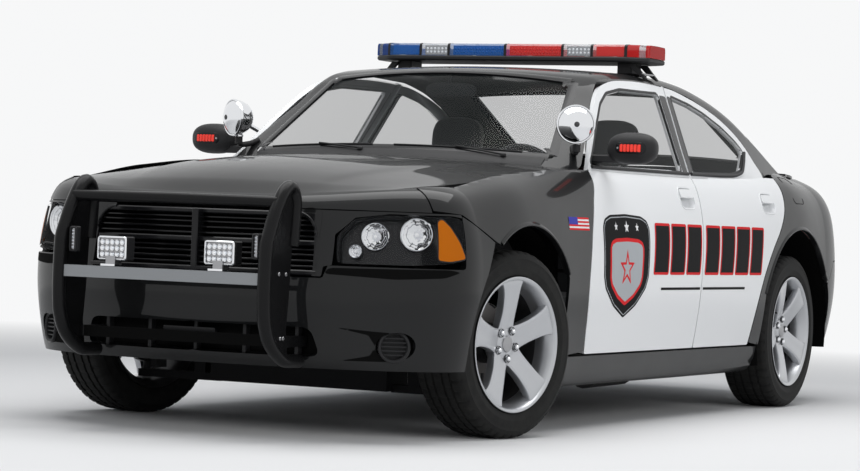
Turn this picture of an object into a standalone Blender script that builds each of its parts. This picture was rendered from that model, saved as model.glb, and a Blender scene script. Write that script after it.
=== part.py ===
# Police patrol car: a four-door saloon with a light bar, a push bumper and two spotlights.
# Metres, X forward, Y to the car's left, Z up, ground at zero.
# Tables give "back": the distance behind the front axle, so x is FRONT_AXLE_X minus back.
import math
import bpy
import bmesh
import numpy as np
from mathutils import Matrix, Vector

for old in list(bpy.data.objects):
    bpy.data.objects.remove(old, do_unlink=True)

# driving sizes
FRONT_AXLE_X = 1.488
WHEELBASE = 3.048
REAR_AXLE_X = FRONT_AXLE_X - WHEELBASE
HUB_Z = 0.356
TYRE_RADIUS = 0.356
TYRE_WIDTH = 0.228
RIM_RADIUS = 0.252
WHEEL_Y = 0.800
KINGPIN_Y = 0.740
STEER_REST_SHARE = -12.5 / 180
GAP = 0.0003
SHUT_GAP = 0.006
OVERRUN = 0.3
SHEET = 0.022
GLASS = 0.005
TYRE_STEPS = 28
ROUND_STEPS = 16

# body side: ten rails from the sill to the top edge, at seven stations
STATIONS = (-0.41, 0.0, 0.62, 1.75, 2.80, 3.05, 3.46)
RAIL_Y = (
    (0.800, 0.800, 0.800, 0.800, 0.800, 0.800, 0.790),
    (0.860, 0.870, 0.868, 0.868, 0.870, 0.870, 0.855),
    (0.890, 0.905, 0.893, 0.893, 0.903, 0.905, 0.885),
    (0.908, 0.925, 0.905, 0.906, 0.922, 0.925, 0.905),
    (0.930, 0.946, 0.930, 0.932, 0.942, 0.948, 0.932),
    (0.932, 0.948, 0.936, 0.940, 0.948, 0.950, 0.936),
    (0.908, 0.930, 0.922, 0.928, 0.944, 0.946, 0.922),
    (0.880, 0.895, 0.897, 0.903, 0.920, 0.922, 0.893),
    (0.848, 0.855, 0.870, 0.875, 0.885, 0.878, 0.830),
    (0.800, 0.800, 0.842, 0.846, 0.850, 0.800, 0.725),
)
RAIL_Z = (
    (0.185, 0.175, 0.170, 0.170, 0.172, 0.175, 0.210),
    (0.200, 0.190, 0.178, 0.178, 0.182, 0.190, 0.225),
    (0.260, 0.250, 0.240, 0.240, 0.240, 0.250, 0.270),
    (0.350, 0.345, 0.330, 0.330, 0.330, 0.345, 0.360),
    (0.510, 0.510, 0.500, 0.500, 0.500, 0.510, 0.510),
    (0.670, 0.700, 0.700, 0.700, 0.700, 0.700, 0.680),
    (0.800, 0.850, 0.840, 0.845, 0.860, 0.865, 0.860),
    (0.875, 0.930, 0.930, 0.935, 0.955, 0.965, 0.965),
    (0.915, 0.970, 1.000, 1.005, 1.025, 1.050, 1.045),
    (0.935, 0.995, 1.035, 1.042, 1.070, 1.098, 1.085),
)
NOSE_START = -0.41
NOSE_SPAN = 0.90
NOSE_SHARE = 0.909
NOSE_REACH = (0.80, 0.855, 0.880, 0.895, 0.925, 0.895, 0.875, 0.870, 0.855, 0.815)
NOSE_Z = (0.240, 0.262, 0.300, 0.400, 0.530, 0.630, 0.790, 0.835, 0.868, 0.888)
TAIL_START = 3.46
TAIL_SPAN = 1.05
TAIL_SHARE = 0.80
TAIL_REACH = (3.98, 4.05, 4.09, 4.125, 4.130, 4.105, 4.080, 4.060, 4.035, 3.990)
TAIL_Z = (0.250, 0.265, 0.310, 0.400, 0.540, 0.690, 0.820, 0.930, 1.020, 1.062)

# wheel arches
ARCH_FRONT_BACK = 0.0
ARCH_FRONT_RADIUS = 0.448
ARCH_REAR_BACK = 3.060
ARCH_REAR_RADIUS = 0.478
ARCH_Z = 0.357

# cabin
CABIN_STATIONS = (0.45, 1.00, 1.80, 2.60, 3.30)
CABIN_Y = (0.810, 0.838, 0.843, 0.832, 0.770)
BELT_Z = 1.045
LEAN_SHARE = 0.47
ROOF_BACK = (0.30, 0.40, 0.587, 0.963, 1.104, 1.20, 1.40, 1.70, 2.00, 2.25, 2.50, 2.80, 3.10, 3.35,
             3.50, 3.80)
ROOF_Z = (0.900, 0.968, 1.092, 1.340, 1.430, 1.466, 1.489, 1.500, 1.500, 1.488, 1.455, 1.385, 1.270,
          1.160, 1.095, 0.98)
BEND_STATIONS = (0.50, 1.10, 1.60, 2.40, 3.30)
BEND = (0.12, 0.12, 0.00, -0.05, -0.12)
CROWN = 0.030
CROWN_Y = 0.70

# the skin's two numbers
NUDGE = 0.01
S_MIN, S_MAX = NOSE_START - NOSE_SPAN, TAIL_START + TAIL_SPAN
RAIL_LAST = len(RAIL_Y) - 1

# outlines on the side, as (back, z)
DOOR_FRONT_EDGE = ((0.620, 0.290), (0.598, 0.420), (0.585, 0.600), (0.602, 0.760), (0.660, 0.905),
                   (0.712, 0.980))
DOOR_SPLIT = ((1.800, 0.290), (1.800, 0.600), (1.812, 0.840), (1.830, 0.960), (1.845, 1.045))
DOOR_REAR_EDGE = ((2.455, 0.290), (2.485, 0.400), (2.567, 0.600), (2.664, 0.730), (2.785, 0.845),
                  (2.862, 0.940), (2.895, 1.020), (2.900, 1.060))
FRAME_OUTLINE = ((0.735, 1.020), (0.762, 1.050), (0.960, 1.225), (1.110, 1.345), (1.213, 1.400),
                 (1.435, 1.436), (1.691, 1.444), (1.996, 1.436), (2.257, 1.400), (2.477, 1.350),
                 (2.650, 1.285), (2.782, 1.205), (2.845, 1.137), (2.900, 1.080), (2.900, 1.020))
SILL_TOP_Z = 0.300
WINDOW_FRONT = ((0.800, 1.060), (0.990, 1.210), (1.140, 1.318), (1.250, 1.368), (1.420, 1.393),
                (1.850, 1.400), (1.770, 1.068))
WINDOW_REAR = ((2.005, 1.397), (2.200, 1.372), (2.360, 1.338), (2.530, 1.285), (2.660, 1.225),
               (2.715, 1.186), (2.560, 1.098), (2.420, 1.080), (1.915, 1.068))
OUT_Y = 1.2
MID_Y = 0.30
LOW_Z = 0.0
HIGH_Z = 2.0

# fenders
DEEP = 0.030
FENDER_DEPTH = (0.030,) * 6 + (0.024, 0.014, 0.006)
HOOD_CORNER_Y = 0.735
FENDER_COLUMNS = (-0.80, -0.68, -0.56, -0.44, -0.30, -0.15, 0.0, 0.15, 0.30, 0.45, 0.60, 0.80)
FENDER_Z = (0.285, 1.10)
FENDER_LAMP_EDGE = ((-0.496, 0.834), (-0.300, 0.742))
FENDER_CORNER_Z = (0.920, 0.842)
FENDER_FOOT_BACK = 0.372
FENDER_HEAD = ((0.718, 1.020), (0.718, 2.0))
FENDER_BRACKET = (0.470, 0.500, 0.8003, 0.915, 0.760, 0.800)

# hood: a crowned top that rolls down over the nose
HOOD_REAR_BACK = 0.470
HOOD_REAR_BEND = 0.200
HOOD_REAR_Z = 1.072
HOOD_REAR_DROP = 0.036
HOOD_SHEET = 0.018
EDGE_LEAN = 0.022
HOOD_RISE_AT_SHARES = (0.0, 0.19, 0.51, 0.77, 0.93, 1.0)
HOOD_RISE_SHARES = (0.0, 0.05, 0.19, 0.42, 0.72, 1.0)
HOOD_ROW_SHARES = (0.0, 0.22, 0.44, 0.64, 0.80, 0.92, 1.0)
HOOD_COLUMN_SHARES = (0.0, 0.18, 0.36, 0.54, 0.71, 0.85, 0.94, 1.0)
HOOD_LIP_Z = 0.838
HOOD_PIVOT = (0.640, 1.020)
HOOD_EDGE_BACK = 0.7

# front bumper: wraps round the nose below lamps and grille
GRILLE_Y = 0.470
LAMP_IN_Y = 0.535
BUMPER_SHEET = 0.030
BUMPER_IN_Y = (0.12, 0.25, 0.38)
BUMPER_SHARES = (0.0, 0.18, 0.37, 0.56, 0.75, 0.91)
BUMPER_LAMP_BACK = 0.512
BUMPER_END = (0.508, 0.42, 0.355)
BUMPER_LOW_Z = 0.262
BUMPER_GRILLE_Z = 0.588
BUMPER_LAMP_Z = 0.634
BUMPER_END_Z = (0.815, 0.782, 0.748)
BUMPER_ARCH_CUT = ((0.6, 0.0), (-0.392, 0.0))
INTAKE = (-1.2, -0.6, -0.50, 0.50, 0.302, 0.416)
FOG = (0.711, 0.733, 0.353)
FOG_RADIUS = 0.052
FOG_DEPTH = 0.2
STEP_S = 0.004

# grille: frame, divider and slats on one backing, all bent with the nose
GRILLE_MID_Y = (0.17, 0.33)
GRILLE_BACKING = (0.600, 0.824, 0.010, 0.050)
GRILLE_BARS = (
    # z from, z to, depth, inset from the skin
    (0.597, 0.618, 0.055, 0.0),
    (0.806, 0.827, 0.055, 0.0),
    (0.640, 0.649, 0.042, 0.012),
    (0.667, 0.676, 0.042, 0.012),
    (0.694, 0.716, 0.046, 0.008),
    (0.734, 0.743, 0.042, 0.012),
    (0.761, 0.770, 0.042, 0.012),
    (0.785, 0.794, 0.042, 0.012),
)
GRILLE_DIVIDER = (-0.888, -0.810, -0.014, 0.014, 0.604, 0.815)
GRILLE_FOOT = (-0.835, -0.7403, -0.100, 0.100, 0.640, 0.670)
GRILLE_EDGE_OUT, GRILLE_EDGE_IN = 0.004, 0.014
GRILLE_EDGE = (0.5985, 0.8255)
GRILLE_EDGE_DEPTH = 0.0565
BUMPER_BRACKET = (-0.862, -0.7403, 0.400, 0.450, 0.440, 0.500)

# headlamps: a housing behind a clear front, from the grille round to the marker
LAMP_OUT_BACK = 0.532
LAMP_Z = (0.642, 0.826)
LAMP_DEPTH = 0.085
LAMP_PEG = (0.600, 0.6343, 0.660)
PEG_IN, PEG_DEPTH, PEG_HALF = 0.003, 0.022, 0.020

# doors: outer skin with depth, window frame above the belt
DOOR_DEPTH = 0.095
DOOR_FLANGE = 0.030
FRAME_DEPTH = 0.032
HINGE_BACK = {"door_front_left": 0.612, "door_rear_left": 1.830}
HINGE_Y = {"door_front_left": 0.930, "door_rear_left": 0.925}
HINGE_Z = 0.640
POCKET_REACH = 0.038
POCKET_SKIN = 0.012
POCKET_HALF = 0.030
LEAF_BACK = -0.012
RELIEF_SKIN = 0.030
RELIEF_BACK = 0.015
LEAF_IN = 0.045
LEAF_THICK = 0.014
LEAF_PAST = 0.014
LEAF_SHORT = 0.036
DOOR_Z = (0.270, 1.055)
FRAME_Z = (1.020, 1.12, 1.22, 1.32, 1.40, 1.46)
PANE_INSET = 0.012
SPLIT_GAP = 0.009
SPLIT_TOP = ((1.843, 1.020), (1.847, 1.045), (1.877, 1.180), (1.927, 1.330), (1.957, 1.438))
DOOR_FRONT_HEAD = ((0.726, 1.005), (0.735, 1.030))
DOOR_FRONT_COLUMNS = (0.55, 0.75, 0.95, 1.15, 1.35, 1.55, 1.75, 1.97)
DOOR_REAR_COLUMNS = (1.72, 1.90, 2.10, 2.30, 2.48, 2.64, 2.78, 2.92)

# quarter panels
TAIL_LAMP_Y = 0.835
QUARTER_COLUMNS = (2.45, 2.62, 2.78, 2.92, 3.06, 3.20, 3.34, 3.46, 3.56, 3.66)
QUARTER_Z = (0.290, 1.12)
QUARTER_HEAD = ((2.911, 1.020), (2.919, 1.060))
QUARTER_FOOT_BACK = (2.510, 2.600)
QUARTER_LOW_EDGE = ((3.500, 0.610), (3.560, 0.690), (3.640, 0.700), (4.2, 0.704), (4.2, 2.0),
                    (2.919, 2.0))
QUARTER_FOOT = (2.535, 2.575, 0.868, 0.888, 0.2963, 0.330)

# rear bumper
REAR_COLUMNS = (3.48, 3.56, 3.64)
REAR_SHARES = (0.0, 0.33, 0.67)
PLATE_Y = 0.492
REAR_IN_Y = (0.30, 0.15)
REAR_LOW_Z = 0.270
REAR_PLATE_Z, REAR_LAMP_Z = 0.692, 0.790
REAR_END_Z = (0.692, 0.690, 0.668, 0.60)
REAR_ARCH_CUT = ((2.5, 0.0), (3.500, 0.45), (3.490, 0.0))
REAR_BRACKET = (3.8603, 4.085, 0.300, 0.360, 0.384, 0.404)
TAIL_LAMP_IN_Y = 0.472
TAIL_LAMP_Z = (0.797, 0.962)
TAIL_LAMP_DEPTH = 0.060
TAIL_LAMP_PEG = (0.600, 0.7903, 0.820)

# trunk lid: deck and rear face
LID_FRONT_BACK = 3.430
LID_FRONT_BEND = -0.020
LID_FRONT_Z = 1.105
LID_CORNER_Y = 0.640
LID_GAP = 0.014
LID_PIVOT = (3.050, 0.900)
NECK_Y = (0.570, 0.590)
NECK_OUTLINE = ((3.035, 0.915), (3.065, 0.915), (3.402, 0.622), (3.478, 0.652), (3.478, 1.095),
                (3.505, 1.095), (3.505, 0.640), (3.400, 0.590), (3.035, 0.885))
PIVOT_RADIUS = 0.010
LID_ROW_SHARES = (0.0, 0.2, 0.4, 0.55, 0.69, 0.70, 0.85, 1.0)
LID_COLUMN_SHARES = (0.0, 0.2, 0.4, 0.6, 0.8, 1.0)
LID_STEP_SHARE = 0.695
LID_LOW_Z = (0.699, 0.969)
LID_CROWN = 0.022

# roof and pillars: a canopy shell with its windows cut
ROOF_COLUMNS = (0.46, 0.60, 0.76, 0.94, 1.08, 1.20, 1.36, 1.60, 1.90, 2.20, 2.45, 2.70, 2.95, 3.16,
                3.32, 3.46)
SIDE_SHARES = (0.0, 0.45, 0.88)
TOP_SHARES = (0.965, 0.86, 0.68, 0.46, 0.23, 0.0)
CANOPY_FOOT = 0.030
CANOPY_CUT = 0.25
CANOPY_LEAST = 0.060
ROOF_SPACE_Z = (0.80, 1.045, 1.080, 1.35, 1.60)
ROOF_SPACE_BACK = (0.60, 0.90, 1.30, 1.80, 2.30, 2.70, 3.00)
ROOF_SPACE_GAP = 0.021
ROOF_EDGE_Y = (0.842, 0.735)
ROOF_CUT_BACK = (0.0, 4.0)
ROOF_CUT_Z = 0.6
WINDOW_CUT_Z = 0.8
FRAME_HOLE_FRONT = ((0.600, 0.8), (0.600, 1.040), (0.745, 1.040))
FRAME_HOLE_REAR = ((2.900, 1.020), (2.900, 0.8))
ROOF_DEPTH = 0.034
CANOPY_IN = 0.002
EDGE_BACK = 3.30
EDGE_SHARE = 0.4
CANOPY_SEAT_BACK = 2.93
CANOPY_SEAT = 0.003
CANOPY_LIP = 0.015
WS_LOW, WS_HIGH = 0.600, 1.160
WS_Y_LOW, WS_Y_HIGH = 0.690, 0.570
WS_BEND_LOW, WS_BEND_HIGH = 0.13, 0.06
BL_BEND_LOW, BL_BEND_HIGH = -0.10, -0.05
PANE_SINK = 0.004
WS_SPAN = (0.52, 1.33, 0.69)
BL_SPAN = (2.42, 3.42, 0.66)
BL_LOW, BL_HIGH = 3.330, 2.560
BL_Y_LOW, BL_Y_HIGH = 0.600, 0.560

# B pillars hang from the roof between the doors
PILLAR_OUTLINE = ((0.700, 0.2163), (0.765, 0.2163), (0.765, 0.960), (0.745, 1.060), (0.700, 1.190),
                  (0.650, 1.300), (0.606, 1.400), (0.606, 1.478), (0.570, 1.478), (0.570, 1.400),
                  (0.655, 1.180), (0.700, 1.000))
PILLAR_BACK = (1.790, 1.880)
PILLAR_LEAF_Y = 0.755

# floor, sills, firewall, front rails and rear bulkhead in one welded structure
FLOOR_BLOCKS = (
    # back from, back to, y from, y to, z from, z to
    (0.470, 2.560, -0.800, 0.800, 0.190, 0.216),
    (0.470, 0.500, -0.700, 0.700, 0.200, 0.980),
    (2.520, 2.570, -0.560, 0.560, 0.200, 0.420),
    (2.560, 3.860, -0.545, 0.545, 0.380, 0.405),
    (2.840, 2.862, -0.560, 0.560, 0.390, 0.930),
    (2.850, 3.380, -0.560, 0.560, 0.915, 0.930),
    (-0.735, 0.490, 0.400, 0.450, 0.420, 0.520),
    (-0.735, 0.490, -0.450, -0.400, 0.420, 0.520),
    (-0.740, -0.700, -0.500, 0.500, 0.320, 0.760),
)
POST_BACK = (0.480, 0.560)
POST_Y = (0.690, 0.800)
POST_Z = (0.190, 0.900)
POST_LEAF_IN = 0.020
SILL_COLUMNS = (0.385, 0.60, 1.00, 1.40, 1.80, 2.20, 2.45, 2.585)
SILL_Z = (0.172, 0.296)
SILL_DEPTH = 0.110
WHEELHOUSE = (2.560, 3.560, 0.530, 0.548, 0.385, 0.930)
PIVOT_IN = 0.540

# power unit, exhaust and axles
ENGINE_BLOCK = (-0.420, 0.330, -0.300, 0.300, 0.300, 0.840)
ENGINE_MOUNT = (-0.180, -0.120, 0.290, 0.3997, 0.440, 0.480)
PIPE_PATH = ((0.60, 0.30, 0.16), (1.60, 0.30, 0.16), (2.30, 0.34, 0.17), (2.42, 0.34, 0.17))
PIPE_RADIUS = 0.028
MUFFLER_PATH = ((1.95, 0.33, 0.165), (2.35, 0.34, 0.170))
MUFFLER_RADIUS = 0.075
UNDER_FLOOR = (0.0, 4.0, -1.0, 1.0, 0.1897, 1.0)
DISC_RADIUS = 0.155
HUB_PROFILE = ((0.0, -0.135), (0.050, -0.135), (0.050, -0.075), (DISC_RADIUS, -0.075),
               (DISC_RADIUS, -0.050), (0.062, -0.050), (0.062, -0.0003), (0.0, -0.0003))
CROSSMEMBER = (-0.090, 0.090, -0.390, 0.390, 0.150, 0.2497)
FRONT_ARMS = (
    # back from, back to, y from, y to, z from, z to, on the left
    (-0.030, 0.030, 0.380, 0.762, 0.145, 0.1747),
    (-0.030, 0.030, 0.4503, 0.500, 0.150, 0.600),
    (-0.025, 0.025, 0.460, 0.640, 0.560, 0.590),
)
REAR_AXLE = (-0.100, 0.100, -0.480, 0.480, 0.250, 0.340)
REAR_ARMS = (
    (-0.060, 0.060, 0.400, 0.470, 0.330, 0.3797),
    (-0.035, 0.035, 0.400, 0.675, 0.290, 0.360),
)
CASING_PROFILE = ((0.0, -0.12), (0.085, -0.12), (0.085, 0.12), (0.0, 0.12))
CASING_Z = 0.285
UPRIGHT = (-0.030, 0.030, 0.660, 0.690, 0.185, 0.600)
BALL_PROFILE = ((0.0, 0.175), (0.016, 0.175), (0.016, 0.240), (0.0, 0.240))

# wheels
TYRE_PROFILE = ((0.2563, -0.100), (0.275, -0.112), (0.315, -0.1140), (0.345, -0.102),
                (0.356, -0.070), (0.356, 0.070), (0.345, 0.102), (0.315, 0.1140), (0.275, 0.112),
                (0.2563, 0.100), (0.2403, 0.085), (0.2403, -0.085))
RIM_PROFILE = ((0.256, -0.112), (0.256, -0.1003), (0.240, -0.085), (0.240, 0.085), (0.256, 0.1003),
               (0.256, 0.112), (0.243, 0.112), (0.222, 0.070), (0.222, -0.090))
WHEEL_HUB_PROFILE = ((0.0, 0.0), (0.078, 0.0), (0.078, 0.050), (0.060, 0.066), (0.0, 0.066))
SPOKE_SECTIONS = (
    # radius, half width, inner face, outer face
    (0.050, 0.030, 0.020, 0.063),
    (0.140, 0.030, 0.034, 0.086),
    (0.232, 0.044, 0.064, 0.104),
)
SPOKE_EDGE = 0.008
SPOKES = 5
SPOKE_SHARE = 1 / SPOKES

# seats, dashboard, steering wheel
SEAT_OUTLINE = ((1.300, 0.2163), (1.300, 0.440), (1.330, 0.500), (1.420, 0.520), (1.740, 0.480),
                (1.800, 0.520), (1.960, 0.950), (2.010, 0.990), (2.060, 0.960), (1.900, 0.440),
                (1.860, 0.330), (1.820, 0.2163))
HEADREST_OUTLINE = ((1.985, 0.980), (1.975, 1.120), (1.995, 1.170), (2.045, 1.170), (2.060, 1.120),
                    (2.040, 0.960))
SEAT_Y = (0.130, 0.640)
HEADREST_Y = (0.270, 0.500)
REAR_SEAT_OUTLINE = ((2.140, 0.2163), (2.140, 0.470), (2.180, 0.500), (2.560, 0.470), (2.620, 0.500),
                     (2.760, 0.930), (2.800, 0.950), (2.8397, 0.930), (2.8397, 0.4053),
                     (2.5703, 0.4203), (2.5197, 0.4203), (2.5197, 0.2163))
REAR_SEAT_Y = 0.525
DASH_OUTLINE = ((0.5003, 0.620), (0.5003, 0.910), (0.640, 0.950), (0.900, 0.985), (0.985, 0.960),
                (0.990, 0.800), (0.900, 0.680))
DASH_Y = 0.660
WHEEL_HUB_BACK, WHEEL_HUB_Z, DRIVER_Y = 1.160, 0.900, 0.370
WHEEL_LEAN_SHARE = 24 / 180
GRIP_RADIUS, GRIP_THICK = 0.175, 0.013
BOSS_PROFILE = ((0.0, -0.025), (0.055, -0.025), (0.055, 0.020), (0.0, 0.020))
WHEEL_ARMS = (
    # x, y and z limits about the boss
    ((-0.010, 0.006), (-0.172, 0.172), (-0.018, 0.018)),
    ((-0.010, 0.006), (-0.016, 0.016), (-0.172, 0.0)),
)
COLUMN_PATH = ((1.150, 0.370, 0.900), (0.600, 0.370, 0.680))
COLUMN_RADIUS = 0.028
CUT_Y = 0.8

# light bar
BAR_OUTLINE = ((1.700, -0.579), (1.700, 0.579), (1.760, 0.668), (1.950, 0.668), (2.010, 0.579),
               (2.010, -0.579), (1.950, -0.668), (1.760, -0.668))
BAR_CLEAR, BAR_BASE, BAR_LENS = 0.034, 0.022, 0.056
BAR_LENS_IN = 0.006
BAR_FOOT = (1.780, 1.900, 0.500, 0.580, 0.100, 0.006)
BAR_BASE_Z = max(ROOF_Z) + BAR_CLEAR
BAR_LENS_Z = BAR_BASE_Z + BAR_BASE
BAR_TOP_Z = BAR_LENS_Z + BAR_LENS

# push bumper, takedown lamps and spotlights
PUSH_Y = 0.427
PUSH_PATH = ((0.860, 0.290), (1.020, 0.320), (1.110, 0.400), (1.130, 0.540), (1.125, 0.690),
             (1.060, 0.830), (0.995, 0.905), (0.950, 0.905), (0.925, 0.850))
PUSH_RADIUS = 0.024
WEB_OUTLINE = ((0.950, 0.300), (1.100, 0.400), (1.118, 0.540), (1.113, 0.690), (1.050, 0.820),
               (0.980, 0.890), (0.945, 0.880), (0.955, 0.640), (0.970, 0.400))
WEB_HALF = 0.006
CROSS_TUBE = (1.050, 0.855, 0.020)
PUSH_BARS = (
    # back from, back to, y from, y to, z from, z to
    (-1.136, -1.100, -0.427, 0.427, 0.560, 0.602),
    (-0.985, -0.960, -0.427, 0.427, 0.340, 0.380),
)
PUSH_BRACKET = (-0.990, -0.7403, 0.400, 0.430, 0.340, 0.380)
TAKEDOWN_BLOCKS = (
    (-1.100, -1.040, 0.162, 0.286, 0.625, 0.711),
    (-1.128, -1.105, 0.194, 0.254, 0.6023, 0.612),
    (-1.112, -1.060, 0.204, 0.244, 0.6060, 0.640),
)
SPOT = (0.719, 0.783, 1.219)
SPOT_RADIUS, SPOT_DEPTH = 0.078, 0.072
SPOT_FRONT = ((0.074, 0.050), (0.0, 0.058))
SPOT_STEM = ((0.739, 0.783, 1.169), (0.739, 0.783, 1.109), (0.819, 0.731, 1.129))
SPOT_STEM_RADIUS = 0.012
MIRROR_CENTRE = (0.870, 0.975, 1.132)
MIRROR_HALF = (0.062, 0.105, 0.064)
MIRROR_BACK = (0.905, 1.2, 0.5, 1.3, 0.9, 1.4)
MIRROR_ARM = (0.840, 0.900, 0.780, 0.940, 1.080, 1.110)
MIRROR_SEAT_BACK = (0.55, 0.75, 0.95, 1.15)

# the front wheels stand turned a little to the right, as in the picture
DOOR_FRONT_HINGE = (FRONT_AXLE_X - HINGE_BACK["door_front_left"], HINGE_Y["door_front_left"], HINGE_Z)
DOOR_REAR_HINGE = (FRONT_AXLE_X - HINGE_BACK["door_rear_left"], HINGE_Y["door_rear_left"], HINGE_Z)
HOOD_HINGE = (FRONT_AXLE_X - HOOD_PIVOT[0], 0.0, HOOD_PIVOT[1])
LID_HINGE = (FRONT_AXLE_X - LID_PIVOT[0], 0.0, LID_PIVOT[1])

parts = bpy.data.collections.new("police_patrol_car")
cutters = bpy.data.collections.new("cutters")
for group in (parts, cutters):
    bpy.context.scene.collection.children.link(group)
cutters.hide_render = True


def paint(name, colour, metallic_share=0.0, rough_share=0.5, alpha_share=1.0):
    surface = bpy.data.materials.new(name)
    surface.use_nodes = True
    shader = surface.node_tree.nodes["Principled BSDF"]
    shader.inputs["Base Color"].default_value = (*colour, 1.0)
    shader.inputs["Metallic"].default_value = metallic_share
    shader.inputs["Roughness"].default_value = rough_share
    shader.inputs["Alpha"].default_value = alpha_share
    surface.diffuse_color = (*colour, alpha_share)
    return surface


BLACK = paint("black_paint", (0.010, 0.011, 0.012), rough_share=0.15)
WHITE = paint("white_paint", (0.80, 0.81, 0.82), rough_share=0.2)
TRIM = paint("dark_trim", (0.02, 0.02, 0.022), rough_share=0.5)
RUBBER = paint("rubber", (0.018, 0.018, 0.018), rough_share=0.8)
ALLOY = paint("alloy", (0.62, 0.63, 0.65), metallic_share=0.9, rough_share=0.3)
STEEL = paint("steel", (0.30, 0.30, 0.31), metallic_share=0.9, rough_share=0.5)
CHROME = paint("chrome", (0.85, 0.86, 0.87), metallic_share=1.0, rough_share=0.08)
CLEAR = paint("glass", (0.12, 0.14, 0.15), rough_share=0.05, alpha_share=0.35)
LAMP = paint("lamp", (0.75, 0.77, 0.80), rough_share=0.1)
RED = paint("red_lens", (0.60, 0.02, 0.02), rough_share=0.1)
CLOTH = paint("cloth", (0.05, 0.052, 0.055), rough_share=0.9)
LENS = paint("bar_lens", (0.70, 0.20, 0.20), rough_share=0.15)


def pchip(x, xs, ys):
    """Monotone cubic through the table; straight on beyond both ends."""
    x, xs, ys = np.asarray(x, float), np.asarray(xs, float), np.asarray(ys, float)
    step = np.diff(xs)
    rise = np.diff(ys) / step
    slope = np.zeros(len(xs))
    both = rise[:-1] * rise[1:] > 0
    w1, w2 = 2 * step[1:] + step[:-1], step[1:] + 2 * step[:-1]
    safe = np.where(both, rise[:-1] * rise[1:], 1.0)
    mean = (w1 + w2) * safe / (w1 * rise[1:] + w2 * rise[:-1] + (~both) * 1e9)
    slope[1:-1] = np.where(both, mean, 0.0)
    slope[0], slope[-1] = rise[0], rise[-1]
    i = np.clip(np.searchsorted(xs, x) - 1, 0, len(xs) - 2)
    t = (x - xs[i]) / step[i]
    inside = np.clip(t, 0.0, 1.0)
    h = step[i]
    a, b, c = inside, inside ** 2, inside ** 3
    y = ((2 * c - 3 * b + 1) * ys[i] + (c - 2 * b + a) * h * slope[i]
         + (3 * b - 2 * c) * ys[i + 1] + (c - b) * h * slope[i + 1])
    y = y + np.where(t < 0, t * h * slope[0], 0.0) + np.where(t > 1, (t - 1) * h * slope[-1], 0.0)
    return y


def spline(values, t):
    """Uniform cubic B-spline through both end rails; t runs from 0 to the number of rails less one."""
    values = np.asarray(values, float)
    last = values.shape[0] - 1
    full = np.concatenate([[2 * values[0] - values[1]], values, [2 * values[-1] - values[-2]]])
    i = np.clip(np.floor(t).astype(int), 0, last - 1)
    u = t - i
    basis = ((1 - u) ** 3 / 6, (3 * u ** 3 - 6 * u ** 2 + 4) / 6,
             (-3 * u ** 3 + 3 * u ** 2 + 3 * u + 1) / 6, u ** 3 / 6)
    if values.ndim == 1:
        return sum(b * full[i + k] for k, b in enumerate(basis))
    column = np.arange(values.shape[1])
    return sum(b * full[i + k, column] for k, b in enumerate(basis))


def skin(s, t):
    """Outer body skin. s runs back along the side, wrapping round the nose and the tail; t is the rail."""
    s, t = np.broadcast_arrays(np.asarray(s, float), np.asarray(t, float))
    flat_s, flat_t = s.ravel(), t.ravel()
    inner = np.clip(flat_s, NOSE_START, TAIL_START)
    ys = np.stack([pchip(inner, STATIONS, row) for row in RAIL_Y])
    zs = np.stack([pchip(inner, STATIONS, row) for row in RAIL_Z])
    y, z = spline(ys, flat_t), spline(zs, flat_t)
    nose = np.clip((NOSE_START - flat_s) / NOSE_SPAN, 0.0, 1.0) * math.pi / 2
    tail = np.clip((flat_s - TAIL_START) / TAIL_SPAN, 0.0, 1.0) * math.pi / 2
    back = (inner - (spline(NOSE_REACH, flat_t) + NOSE_START) * np.sin(nose) ** NOSE_SHARE
            + (spline(TAIL_REACH, flat_t) - TAIL_START) * np.sin(tail) ** TAIL_SHARE)
    y = y * np.cos(nose) ** NOSE_SHARE * np.cos(tail) ** TAIL_SHARE
    z = (z + (spline(NOSE_Z, flat_t) - z) * np.sin(nose) ** 2
         + (spline(TAIL_Z, flat_t) - z) * np.sin(tail) ** 2)
    return np.stack([FRONT_AXLE_X - back, y, z], -1).reshape(*s.shape, 3)


RAIL_SAMPLES = np.linspace(0, len(RAIL_Y) - 1, 91)


def rail_at(s, z):
    """The rail number at height z, for each s."""
    s, z = np.broadcast_arrays(np.asarray(s, float), np.asarray(z, float))
    found = [np.interp(height, skin(np.full(RAIL_SAMPLES.shape, where), RAIL_SAMPLES)[:, 2], RAIL_SAMPLES)
             for where, height in zip(s.ravel(), z.ravel())]
    return np.array(found).reshape(s.shape)


def s_at_y(y, t, nose=True):
    """Where on the nose or tail wrap the skin has half width y at rail t."""
    start, span = (NOSE_START, -NOSE_SPAN) if nose else (TAIL_START, TAIL_SPAN)
    walk = start + span * np.linspace(0, 1, 181)
    return float(np.interp(-y, -skin(walk, np.full(181, t))[:, 1], walk))


def normals(grid):
    """Unit normals of a grid of points, by central differences."""
    along, across = np.gradient(grid, axis=0), np.gradient(grid, axis=1)
    n = np.cross(along, across)
    return n / np.maximum(np.linalg.norm(n, axis=-1, keepdims=True), 1e-12)


def solid(name, verts, faces, surface, group=parts):
    mesh = bpy.data.meshes.new(name)
    mesh.from_pydata([tuple(v) for v in verts], [], [tuple(f) for f in faces])
    work = bmesh.new()
    work.from_mesh(mesh)
    bmesh.ops.remove_doubles(work, verts=work.verts, dist=GAP / 100)
    bmesh.ops.recalc_face_normals(work, faces=work.faces)
    if work.calc_volume(signed=True) < 0:
        bmesh.ops.reverse_faces(work, faces=work.faces)
    work.to_mesh(mesh)
    work.free()
    mesh.materials.append(surface)
    obj = bpy.data.objects.new(name, mesh)
    if group is cutters:
        obj.display_type = "WIRE"
    group.objects.link(obj)
    return obj


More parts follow.
